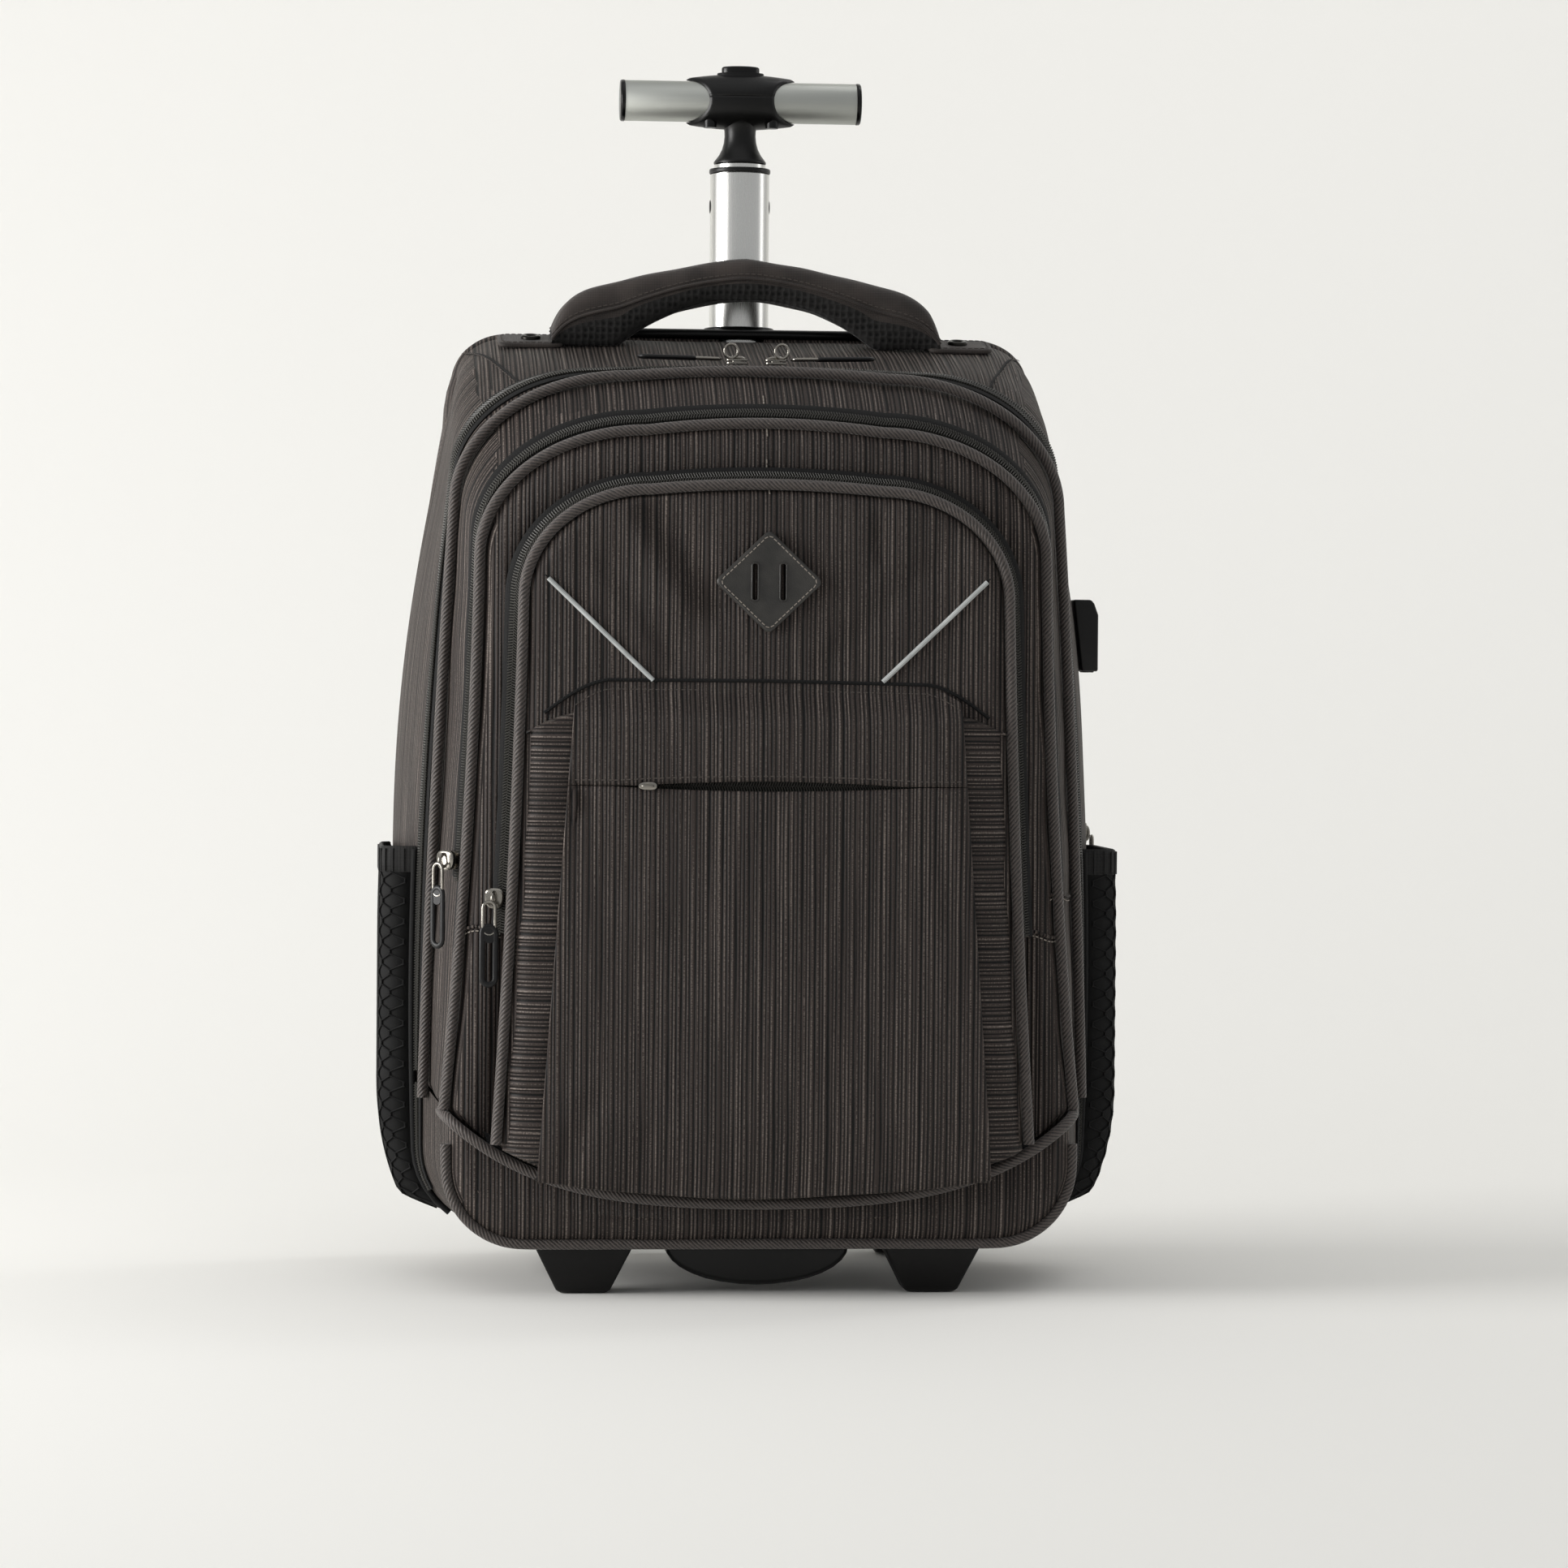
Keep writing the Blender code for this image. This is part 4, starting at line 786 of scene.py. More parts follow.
def rounded(profile: Sequence[tuple[float, float]], width: float,
        steps: int = 3) -> list[tuple[float, float]]:
    """Round the inner corners of an open profile."""
    points = [Vector(p) for p in profile]
    made = [tuple(points[0])]
    for before, here, after in zip(points, points[1:], points[2:]):
        reach = min(width, (before - here).length * 0.45, (after - here).length * 0.45)
        start = here + (before - here).normalized() * reach
        end = here + (after - here).normalized() * reach
        for k in range(steps + 1):
            t = k / steps
            made.append(tuple(start.lerp(here, t).lerp(here.lerp(end, t), t)))
    made.append(tuple(points[-1]))
    return made


def cad_box(node: str) -> tuple[Array, Array]:
    """Middle and half size of a CAD node."""
    low, high = (np.array(corner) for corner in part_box(node))
    return (low + high) / 2, (high - low) / 2


def refined(node: str, width: float, segments: int = 3) -> Mesh:
    """A copy of a hard CAD node's mesh with softened edges."""
    mesh = frame["nodes"][node].data.copy()
    bm = bmesh.new()
    bm.from_mesh(mesh)
    bmesh.ops.remove_doubles(bm, verts=bm.verts, dist=0.00002)
    bmesh.ops.dissolve_limit(bm, angle_limit=math.radians(2.0), verts=bm.verts, edges=bm.edges)
    bmesh.ops.recalc_face_normals(bm, faces=bm.faces)
    bm.to_mesh(mesh)
    bm.free()
    item = piece(node + "_raw", mesh, ABS)
    modify(item, "BEVEL", width=width, segments=segments, limit_method="ANGLE", angle_limit=math.radians(38),
        harden_normals=False)
    made = item.data
    bpy.data.objects.remove(item)
    return made


def joined(meshes: Sequence[Mesh]) -> Mesh:
    """One mesh of several, each keeping its own shape."""
    bm = bmesh.new()
    for mesh in meshes:
        bm.from_mesh(mesh)
    made = bpy.data.meshes.new("joined")
    bm.to_mesh(made)
    bm.free()
    return made


def spread(values: Sequence[Sequence[float]], count: int) -> Array:
    """Rows of numbers interpolated to another count of rows."""
    rows = np.asarray(values, float)
    own, wanted = np.linspace(0, 1, len(rows)), np.linspace(0, 1, count)
    return np.column_stack([np.interp(wanted, own, column) for column in rows.T])


def headings(path: Array, closed: bool = False) -> Array:
    """The way that a path runs at each of its points, not yet of unit length."""
    return np.roll(path, -1, 0) - np.roll(path, 1, 0) if closed else np.gradient(path, axis=0)


def unit(vectors: Array) -> Array:
    """Each row of an array at length one."""
    return vectors / np.linalg.norm(vectors, axis=1)[:, None]


def resample(path: Array, pitch: float, closed: bool = False) -> Array:
    """Evenly spaced points along a path."""
    points = np.asarray(path, float)
    if closed:
        points = np.vstack([points, points[:1]])
    length = np.concatenate([[0], np.cumsum(np.linalg.norm(np.diff(points, axis=0), axis=1))])
    count = max(2, int(round(length[-1] / pitch)) + 1)
    marks = np.linspace(0, length[-1], count)[:-1 if closed else None]
    return np.column_stack([np.interp(marks, length, points[:, k]) for k in range(3)])


def smoothed(path: Array, times: int = 2, closed: bool = False) -> Array:
    """Average each point of a path with its neighbours."""
    points = np.asarray(path, float).copy()
    for _ in range(times):
        mean = (np.roll(points, 1, 0) + np.roll(points, -1, 0)) / 2
        if not closed:
            mean[0], mean[-1] = points[0], points[-1]
        points = (points + mean) / 2
    return points


class Bars:
    """A node tree that sets a small bar on every point, turned to the point's own directions."""

    tree: Tree | None = None

    @classmethod
    def build(cls) -> Tree:
        """The tree, built on first use."""
        if cls.tree:
            return cls.tree
        tree = bpy.data.node_groups.new("bars on points", "GeometryNodeTree")
        face = tree.interface
        face.new_socket("Geometry", in_out="INPUT", socket_type="NodeSocketGeometry")
        for name, value in (("Bar length", 0.003), ("Bar radius", 0.0003), ("Bar flatness", 1.0)):
            face.new_socket(name, in_out="INPUT", socket_type="NodeSocketFloat").default_value = value
        face.new_socket("Bar sides", in_out="INPUT", socket_type="NodeSocketInt").default_value = 6
        face.new_socket("Bar material", in_out="INPUT", socket_type="NodeSocketMaterial")
        face.new_socket("Geometry", in_out="OUTPUT", socket_type="NodeSocketGeometry")
        given = add_node(tree, "NodeGroupInput").outputs
        bar = add_node(tree, "GeometryNodeMeshCylinder",
            links={"Vertices": given["Bar sides"], "Radius": given["Bar radius"],
            "Depth": given["Bar length"]}, fill_type="NGON")
        flat = add_node(tree, "ShaderNodeCombineXYZ", {"Y": 1.0, "Z": 1.0}, {"X": given["Bar flatness"]})
        shaped = add_node(tree, "GeometryNodeTransform",
            links={"Geometry": bar.outputs["Mesh"], "Scale": flat.outputs[0]})
        along = add_node(tree, "GeometryNodeInputNamedAttribute", {"Name": "along"}, data_type="FLOAT_VECTOR")
        out = add_node(tree, "GeometryNodeInputNamedAttribute", {"Name": "out"}, data_type="FLOAT_VECTOR")
        stretch = add_node(tree, "GeometryNodeInputNamedAttribute", {"Name": "stretch"}, data_type="FLOAT")
        upright = add_node(tree, "FunctionNodeAlignRotationToVector", links={"Vector": along.outputs[0]},
            axis="Z")
        facing = add_node(tree, "FunctionNodeAlignRotationToVector",
            links={"Rotation": upright.outputs[0], "Vector": out.outputs[0]}, axis="X", pivot_axis="Z")
        scale = add_node(tree, "ShaderNodeCombineXYZ", {"X": 1.0, "Y": 1.0}, {"Z": stretch.outputs[0]})
        placed = add_node(tree, "GeometryNodeInstanceOnPoints",
            links={"Points": given["Geometry"], "Instance": shaped.outputs[0], "Rotation": facing.outputs[0],
            "Scale": scale.outputs[0]})
        real = add_node(tree, "GeometryNodeRealizeInstances", links={"Geometry": placed.outputs[0]})
        painted = add_node(tree, "GeometryNodeSetMaterial",
            links={"Geometry": real.outputs[0], "Material": given["Bar material"]})
        add_node(tree, "NodeGroupOutput", links={"Geometry": painted.outputs[0]})
        cls.tree = tree
        return tree

    @classmethod
    def lay(cls, name: str, body: str, points: Array, along: Array, out: Array, finish: Finish, length: float,
            radius: float, sides: int = 6, flat: float = 1.0, stretch: Array | None = None) -> None:
        """Set bars on points, bake them into one mesh and hand it to the frame.

        Args:
            name: The piece's name.
            body: The CAD body that it rides on.
            points: Where the bars' middles are.
            along: Each bar's own direction.
            out: The way each bar's flat side faces.
            finish: The bars' finish.
            length: Bar length in metres.
            radius: Bar radius in metres.
            sides: Sides of the bar.
            flat: Thickness across the out direction as a share of the radius.
            stretch: Length of each bar as a share of the common one.
        """
        mesh = as_mesh(points, [])
        for key, values in (("along", along), ("out", out)):
            wide = np.broadcast_to(np.asarray(values, float), (len(points), 3))
            mesh.attributes.new(key, "FLOAT_VECTOR", "POINT").data.foreach_set("vector", wide.ravel())
        shares = np.ones(len(points)) if stretch is None else stretch
        mesh.attributes.new("stretch", "FLOAT", "POINT").data.foreach_set("value", np.asarray(shares, float))
        item = bpy.data.objects.new(name, mesh)
        bpy.context.scene.collection.objects.link(item)
        modifier = item.modifiers.new("bars", "NODES")
        modifier.node_group = cls.build()
        wanted = {"Bar length": length, "Bar radius": radius, "Bar flatness": flat, "Bar sides": sides,
            "Bar material": finish.material()}
        for socket in modifier.node_group.interface.items_tree:
            if socket.item_type == "SOCKET" and socket.in_out == "INPUT" and socket.name in wanted:
                modifier[socket.identifier] = wanted[socket.name]
        bake(item)
        item.data.shade_smooth()
        item.data.set_sharp_from_angle(angle=math.radians(60))
        settle(item, body, finish)


class Surface:
    """A skin that paths are laid on."""

    def __init__(self, *items: Item) -> None:
        """Collect the pieces' faces into one tree."""
        points: list[Vector] = []
        faces: list[tuple[int, ...]] = []
        for item in items:
            start = len(points)
            points.extend(v.co.copy() for v in item.data.vertices)
            faces.extend(tuple(start + v for v in f.vertices) for f in item.data.polygons)
        self.tree = BVHTree.FromPolygons(points, faces)

    def drape(self, path: Array, way: Sequence[float], lift: float = 0.0002) -> tuple[Array, Array]:
        """Press a path onto the skin.

        Args:
            path: Points in front of or on the skin.
            way: Direction from outside towards the skin.
            lift: How far the path stays off the skin.

        Returns:
            The points on the skin and its outward directions there.
        """
        heading = Vector(way).normalized()
        spots, outs = [], []
        for point in np.asarray(path, float):
            start = Vector(point) - heading * 0.1
            place, normal, _, _ = self.tree.ray_cast(start, heading, 0.3)
            if place is None:
                place, normal = Vector(point), -heading
            if normal.dot(heading) > 0:
                normal = -normal
            spots.append(place + normal * lift)
            outs.append(normal)
        return np.array(spots), np.array(outs)


def stitch_row(name: str, body: str, path: Array, outs: Array, finish: Finish, pitch: float = 0.0032,
        share: float = 0.66, radius: float = 0.00028, closed: bool = False) -> None:
    """A row of lock stitches along a path.

    Args:
        name: The piece's name.
        body: The CAD body that it rides on.
        path: The seam's line.
        outs: Outward directions along it.
        finish: The thread.
        pitch: Stitch spacing.
        share: Stitch length as a share of the spacing.
        radius: Thread radius.
        closed: Whether the seam closes on itself.
    """
    spots = resample(path, pitch, closed)
    Bars.lay(name, body, spots, headings(spots, closed), spread(outs, len(spots)), finish, pitch * share,
        radius, 5, 0.7)


# ---------------------------------------------------------------- outlines of the case

FLOOR_STEPS, CORNER_STEPS, SIDE_STEPS, CROWN_STEPS, TOP_STEPS = 22, 12, 44, 22, 22


def mirrored(x: Array, y: float, z: Array) -> Array:
    """A closed outline at a depth, from its right half."""
    x, z = np.concatenate([x, -x[-2:0:-1]]), np.concatenate([z, z[-2:0:-1]])
    return np.column_stack([x, np.full(len(x), y), z])


@dataclass(frozen=True)
class Outline:
    """A closed outline of the case across its width, the same on both sides."""

    top: float
    half_low: float
    half_mid: float
    half_high: float
    radius_low: float
    radius_high_x: float
    radius_high_z: float
    arch: float
    bottom: float = CASE_BOTTOM
    curved_bottom: bool = False
    lift: float = 0.0

    def side(self, z: float | Array) -> float | Array:
        """Half width of the side at a height."""
        low, high = self.bottom, self.top
        middle = (low + high) / 2
        a = (z - middle) * (z - high) / ((low - middle) * (low - high))
        b = (z - low) * (z - high) / ((middle - low) * (middle - high))
        c = (z - low) * (z - middle) / ((high - low) * (high - middle))
        return self.half_low * a + self.half_mid * b + self.half_high * c

    def points(self, y: float, inset: float = 0.0) -> Array:
        """The outline's points at a depth.

        Args:
            y: Depth of the outline.
            inset: How far it stands inside the full size.

        Returns:
            Points from the middle of the bottom, up the right side and round.
        """
        top = self.top - inset
        low, wide, tall = (max(r - inset, 0.004)
            for r in (self.radius_low, self.radius_high_x, self.radius_high_z))
        floor = self.bottom + inset
        if self.curved_bottom:
            low = 0.01
            start = smile(0.15) + inset + self.lift
            floor = smile(self.side(start) - inset) + 0.004 + inset + self.lift - low
        half_low = self.side(floor + low) - inset
        run = (half_low - low) * np.arange(FLOOR_STEPS) / FLOOR_STEPS
        level = smile(run) + inset + self.lift if self.curved_bottom else np.full(FLOOR_STEPS, floor)
        turn = -math.pi / 2 + math.pi / 2 * np.arange(CORNER_STEPS + 1) / CORNER_STEPS
        corner_x = half_low - low + low * np.cos(turn)
        corner_z = floor + low + low * np.sin(turn)
        if self.curved_bottom:
            corner_z = smile(corner_x) + inset + self.lift + 0.004 * (1 + np.sin(turn))
        side_top = top - tall
        side_z = floor + low + (side_top - floor - low) * np.arange(1, SIDE_STEPS) / SIDE_STEPS
        if self.curved_bottom:
            side_z = corner_z[-1] + (side_top - corner_z[-1]) * np.arange(1, SIDE_STEPS) / SIDE_STEPS
        half_top = self.side(side_top) - inset
        crown = math.pi / 2 * np.arange(CROWN_STEPS + 1) / CROWN_STEPS
        crown_x = half_top - wide + wide * np.cos(crown)
        crown_z = side_top + tall * np.sin(crown)
        edge = half_top - wide
        top_x = edge * (1 - np.arange(1, TOP_STEPS) / (TOP_STEPS - 1))
        top_z = top + self.arch * (1 - (top_x / edge) ** 2)
        x = np.concatenate([run, corner_x, self.side(side_z) - inset, crown_x, top_x])
        z = np.concatenate([level, corner_z, side_z, crown_z, top_z])
        return mirrored(x, y, z)


SECTION_KEYS = ((-0.09, 0.4275, 0.162, 0.1435, 0.138, 0.038, 0.08, 0.06, 0.004),
    (-0.048, 0.458, 0.166, 0.159, 0.146, 0.043, 0.085, 0.062, 0.003),
    (-0.01, 0.469, 0.168, 0.174, 0.148, 0.043, 0.055, 0.045, 0.001),
    (0.03, 0.48, 0.168, 0.181, 0.147, 0.043, 0.03, 0.03, 0.0),
    (0.0615, 0.488, 0.166, 0.182, 0.145, 0.04, 0.024, 0.02, 0.0),)


def smile(x: float | Array) -> float | Array:
    """Height of the front section's curved bottom seam."""
    return 0.05 + 0.6 * np.asarray(x) ** 2 + 46.0 * np.asarray(x) ** 4


def section(y: float, curved_bottom: bool = False) -> Outline:
    """The case's outline at a depth, eased where the key outlines meet behind the front band."""
    keys = np.array(SECTION_KEYS)
    spread = 0.009 if y > -0.03 else 0.0
    values = np.mean([[np.interp(y + d, keys[:, 0], keys[:, k]) for k in range(1, 9)]
        for d in (-spread, 0.0, spread)], axis=0)
    return Outline(*values, curved_bottom=curved_bottom)


def grow(points: Array, distance: float | Array) -> Array:
    """Move a closed outline outwards in its own plane."""
    along = unit(headings(points, True))
    out = np.column_stack([along[:, 2], np.zeros(len(points)), -along[:, 0]])
    return points + out * np.asarray(distance).reshape(-1, 1)


def over_top(points: Array, low: float = ZIP_FOOT, *more: Array) -> list[Array]:
    """The run of outlines above a height, from the right foot over the top to the left foot."""
    order = np.arange(len(points))
    kept = order[points[:, 2] > low]
    kept = kept[(kept > FLOOR_STEPS)]
    return [np.asarray(p)[kept] for p in (points, *more)]


ORGANISER = Outline(0.399, 0.1335, 0.12225, 0.117, 0.02, 0.06, 0.051, 0.003, curved_bottom=True, lift=0.002)
REAR = Outline(REAR_TOP, 0.16, 0.172, 0.144, 0.02, 0.024, 0.02, 0.0, bottom=REAR_BOTTOM)


def inward(points: Array, shares: Sequence[float], depth: Callable[[float], float],
        centre: tuple[float, float] = (0.0, 0.245)) -> list[Array]:
    """Shrink an outline towards a middle point, ring by ring.

    Args:
        points: The outline.
        shares: Size of each ring as a share of the outline.
        depth: Depth of a ring for its share.
        centre: Middle of the rings, across and up.

    Returns:
        The rings.
    """
    middle = np.array([centre[0], 0.0, centre[1]])
    rings = []
    for share in shares:
        ring = middle + (points - middle) * share
        ring[:, 1] = depth(share)
        rings.append(ring)
    return rings


# ---------------------------------------------------------------- zips, piping, sliders, pullers

@dataclass
class Zip:
    """A coil zip between two edges: woven tape with two rows of angled coil on it."""

    name: str
    body: str
    first: Array
    second: Array
    nodes: tuple[str, ...] = ()
    pitch: float = 0.00135
    row_offset: float = 0.00145
    bar_length: float = 0.0033

    def frame_of(self) -> tuple[Array, Array, Array]:
        """Middle line, direction across the tape and outward direction."""
        middle = (self.first + self.second) / 2
        across = unit(self.second - self.first)
        out = unit(np.cross(headings(middle), across))
        inside = np.array([0.0, 0.05, 0.22])
        if np.sum((middle - inside) * out) < 0:
            out = -out
        return middle, across, out

    def build(self) -> None:
        """The tape and the coil, with the coil riding on the same body."""
        middle, across, out = self.frame_of()
        half = np.linalg.norm(self.second - self.first, axis=1)[:, None] / 2
        rows = []
        for share, lift in ((-1.0, -0.0006), (-1.0, 0.0002), (-0.62, 0.0007), (-0.5, 0.0004), (0.0, 0.0002),
                (0.5, 0.0004), (0.62, 0.0007), (1.0, 0.0002), (1.0, -0.0006)):
            rows.append(middle + across * half * share + out * lift)
        tape = skin(np.stack(rows, axis=1), wrap=True, caps=True)
        add(self.name, tape, self.body, TAPE, *self.nodes)
        spots = resample(middle, self.pitch)
        lean, away = spread(across, len(spots)), spread(out, len(spots))
        run = unit(headings(spots))
        places, ways, outs = [], [], []
        for side in (-1, 1):
            shifted = spots + run * self.pitch * (0.25 * side)
            places.append(shifted + lean * self.row_offset * side + away * 0.001)
            ways.append(lean + run * 0.32 * side)
            outs.append(away)
        Bars.lay(self.name + "_coil", self.body, np.vstack(places), np.vstack(ways), np.vstack(outs), COIL_WITH_PAINTED_GLINT,
            self.bar_length, 0.0005, 6, 1.3)


@dataclass
class Piping:
    """A piped seam: a cord in bias-cut cloth, with its sewn flange sunk in the seam."""

    name: str
    body: str
    path: Array
    nodes: tuple[str, ...] = ()
    radius: float = 0.0028
    finish: Finish = PIPING

    def build(self) -> None:
        """The cord as a fine tube."""
        path = resample(self.path, 0.0024)
        add(self.name, tube(path, self.radius, 14), self.body, self.finish, *self.nodes, weave=Weave.KEEP)


def local_frame(along: Sequence[float], out: Sequence[float]) -> tuple[Array, Array, Array]:
    """Unit directions along, across and out."""
    a = np.array(along, float)
    a /= np.linalg.norm(a)
    o = np.array(out, float)
    o -= a * (a @ o)
    o /= np.linalg.norm(o)
    return a, np.cross(a, o), o


@dataclass
class Slider:
    """A zip slider: two plates joined at a nose, with a bridge that holds the pull."""

    node: str
    body: str
    along: tuple[float, float, float]
    out: tuple[float, float, float]

    def build(self) -> None:
        """Fill the CAD slider's own box with the slider's shape."""
        centre, size = cad_box(self.node)
        a, c, o = local_frame(self.along, self.out)
        length, width, thick = (float(abs(way) @ size) for way in (a, c, o))
        plan = []
        for k in range(28):
            angle = 2 * math.pi * k / 28
            narrow = 1.0 - 0.22 * (0.5 - 0.5 * math.cos(angle))
            plan.append((math.copysign(abs(math.cos(angle)) ** 0.75, math.cos(angle)) * length,
                math.copysign(abs(math.sin(angle)) ** 0.75, math.sin(angle)) * width * narrow))

        def plate(levels: Sequence[tuple[float, float]]) -> Mesh:
            """The slider's plan at several heights, each with its own size."""
            rows = [[centre + a * p * s + c * q * s + o * thick * h for p, q in plan] for h, s in levels]
            return skin(rows, caps=True)
        upper = plate(((0.05, 0.9), (0.12, 1.0), (0.42, 1.0), (0.52, 0.86)))
        lower = plate(((-0.9, 0.88), (-0.8, 0.96), (-0.45, 0.96), (-0.35, 0.9)))
        neck = plate(((-0.5, 0.42), (0.3, 0.42)))
        arch = [centre + a * length * 0.62 * math.cos(t) + o * (thick * (0.42 + 0.62 * math.sin(t)))
            for t in np.linspace(0, math.pi, 13)]
        bridge = tube(np.array(arch), min(0.0009, width * 0.26), 10, out=tuple(c))
        add(self.node + "_body", joined([upper, lower, neck, bridge]), self.body, NICKEL, self.node,
            weave=Weave.FRONT, sharp=40)


@dataclass
class Puller:
    """A zip pull: a plated wire link and a moulded loop on its end."""

    node: str
    body: str
    joint: str
    along: tuple[float, float, float]
    out: tuple[float, float, float]
    length: float = 0.042

    def loop(self, start: float, end: float, half: float, steps: int = 7) -> list[tuple[float, float]]:
        """A rounded slot shape in the pull's plane."""
        made = []
        for centre, turn in ((end - half, -math.pi / 2), (start + half, math.pi / 2)):
            for k in range(steps + 1):
                angle = turn + math.pi * k / steps
                made.append((centre + half * math.cos(angle), half * math.sin(angle)))
        return made

    def build(self) -> None:
        """The link and the loop, in place of the CAD pull."""
        pivot = np.array(next(j for j in frame["joints"] if j["name"] == self.joint)["pos_m"], float)
        a, c, o = local_frame(self.along, self.out)
        meet = self.length * 0.4

        def place(points: Sequence[tuple[float, float]]) -> Array:
            """Points of the pull's plane, in space."""
            return np.array([pivot + a * p + c * q for p, q in points])

        link = tube(place(self.loop(0.0004, meet, 0.003)), 0.00085, 10, closed=True, out=tuple(o))
        grip = tube(place(self.loop(meet - 0.0042, self.length - 0.0005, 0.0033)), 0.0015, 14, closed=True,
            flat=0.72, out=tuple(o))
        outer = self.loop(meet - 0.005, meet + 0.0042, 0.003, 6)
        web = skin([[p + o * h for p in place(outer)] for h in (-0.0008, 0.0008)], caps=True)
        grip_piece = piece(self.node + "_grip", joined([grip, web]), GRIP_RUBBER, weave=Weave.FRONT, sharp=35)
        add(self.node + "_link", link, self.body, NICKEL, weave=Weave.KEEP)
        settle(grip_piece, self.body, GRIP_RUBBER, self.node)


# ---------------------------------------------------------------- the case on its base

@dataclass
class CaseBody:
    """The main compartment, the strip under the front section and the pole's cavity."""

    ripple_depth: float = 0.0011

    def build(self) -> None:
        """Build every cloth shell of the case."""
        self.build_main()
        self.build_bottom_band()
        self.build_rear()
        self.build_divider()
        self.build_lower_zips()

    def build_main(self) -> None:
        """Open shell with its lining, soft between its seams."""
        depths = np.concatenate([[FRONT_EDGE + GAP], np.linspace(-0.027, 0.0585, 26)])
        rows = [section(y).points(y) for y in depths]
        rows.append(section(CASE_BACK).points(CASE_BACK, 0.003))
        mesh = skin(rows, end=True)
        face_from(mesh, (0.0, 0.02, 0.25))

        def soft(points: Array) -> Array:
            """Gentle waves between the seams, with a sag below the shoulders."""
            fade = np.clip((points[:, 1] - FRONT_EDGE - 0.006) / 0.02, 0, 1)
            fade *= np.clip((CASE_BACK - points[:, 1]) / 0.01, 0, 1)
            side = np.abs(points[:, 0]) > 0.13
            wave = ripple(points, (0.06, 0.05, 0.11), 11) * self.ripple_depth
            sag = -0.0012 * np.exp(-((points[:, 2] - 0.4) / 0.05) ** 2) * side
            return (wave + sag) * fade
        shift(mesh, soft)
        made = piece("main_case", mesh, STRIPES, LINING)
        modify(made, "SOLIDIFY", thickness=WALL - 0.0004, offset=-1.0, material_offset=1,
            material_offset_rim=1)
        settle(made, "bag", STRIPES, "main_shell")
        skin_of = Surface(made)
        for side, word in SIDES:
            corner = np.array([[side * (0.1452 - 0.025 * t), 0.058 - 0.084 * t, 0.53]
                for t in np.linspace(0, 1, 30)])
            path, outs = skin_of.drape(corner, (0, 0, -1), 0.0001)
            strand(f"corner_seam_{word}", "bag", TAPE, path, 0.0007, 6)
            stitch_row(f"corner_stitches_{word}", "bag", path + np.array([side * 0.0022, 0.0008, 0.0004]),
                outs, THREAD)

    @staticmethod
    def band_ring(y: float, inset: float) -> Array:
        """Outline of the strip under the curved seam, at a depth."""
        here = section(y)
        half = here.side(CASE_BOTTOM + 0.05) - inset
        radius = here.radius_low - inset
        flat_x = half * 0.72 * np.arange(16) / 16
        turn = -math.pi / 2 + math.pi / 2 * np.arange(19) / 18
        low_x = np.concatenate([flat_x, half - radius + radius * np.cos(turn)])
        low_z = np.concatenate([np.full(16, CASE_BOTTOM + inset),
            CASE_BOTTOM + inset + radius * (1 + np.sin(turn))])
        high_x = half * (1 - np.arange(31) / 30)
        high_z = smile(high_x) - GAP * 3 - inset * 0.4
        x, z = np.concatenate([low_x, high_x]), np.concatenate([low_z, high_z])
        return mirrored(x, y, z)

    def build_bottom_band(self) -> None:
        """The strip, with its two piped edges."""
        levels = ((-0.0968, 0.012), (-0.0966, 0.009), (-0.0955, 0.0062), (-0.0938, 0.0038), (-0.0915, 0.0016),
            (-0.0885, 0.0003), (-0.078, 0.0), (-0.063, 0.0), (-0.048, 0.0), (-0.039, 0.0), (FRONT_EDGE, 0.0))
        rows = [self.band_ring(y, inset) for y, inset in levels]
        start = rows[0]
        fill = []
        for share in (0.35, 0.7, 0.94):
            ring = start.copy()
            centre_z = (smile(start[:, 0]) + CASE_BOTTOM) / 2
            ring[:, 2] = start[:, 2] + (centre_z - start[:, 2]) * share
            ring[:, 1] = start[:, 1] - 0.0012 * share
            fill.append(ring)
        mesh = skin(fill[::-1] + rows, caps=True)
        shift(mesh, lambda p: ripple(p, (0.07, 0.05, 0.06), 23) * 0.0006 * (p[:, 1] < -0.05))
        add("bottom_band_cloth", mesh, "bag", STRIPES, "bottom_band")
        half = float(section(-0.09).side(CASE_BOTTOM + 0.05))
        run = [(half * share, -0.0994) for share in np.linspace(0, 0.9, 50)]
        run += [(half - 0.0095, -0.0988), (half - 0.0056, -0.0976), (half - 0.002, -0.0956),
            (half + 0.0004, -0.093), (half + 0.0018, -0.09), (half + 0.0026, -0.085), (half + 0.0032, -0.079)]
        right = smoothed(np.array([(x, y, float(smile(x)) - 0.003) for x, y in run]), 2)
        seam = np.vstack([right[:0:-1] * (-1, 1, 1), right])
        Piping("bottom_seam_piping", "bag", seam, ("piping_bottom",)).build()
        base = grow(self.band_ring(-0.0905, 0.0), 0.0012)
        keep = (base[:, 2] < smile(base[:, 0]) - 0.003) & ~((np.abs(base[:, 0]) < 0.1) & (base[:, 2] > 0.04))
        angle = np.arctan2(base[:, 0], -(base[:, 2] - 0.16))
        order = np.argsort(angle)
        path = base[[k for k in order if keep[k]]]
        path = np.vstack([path[0] + (0, 0, 0.011), path, path[-1] + (0, 0, 0.011)])
        Piping("base_piping", "bag", smoothed(path, 2), (), 0.0026).build()

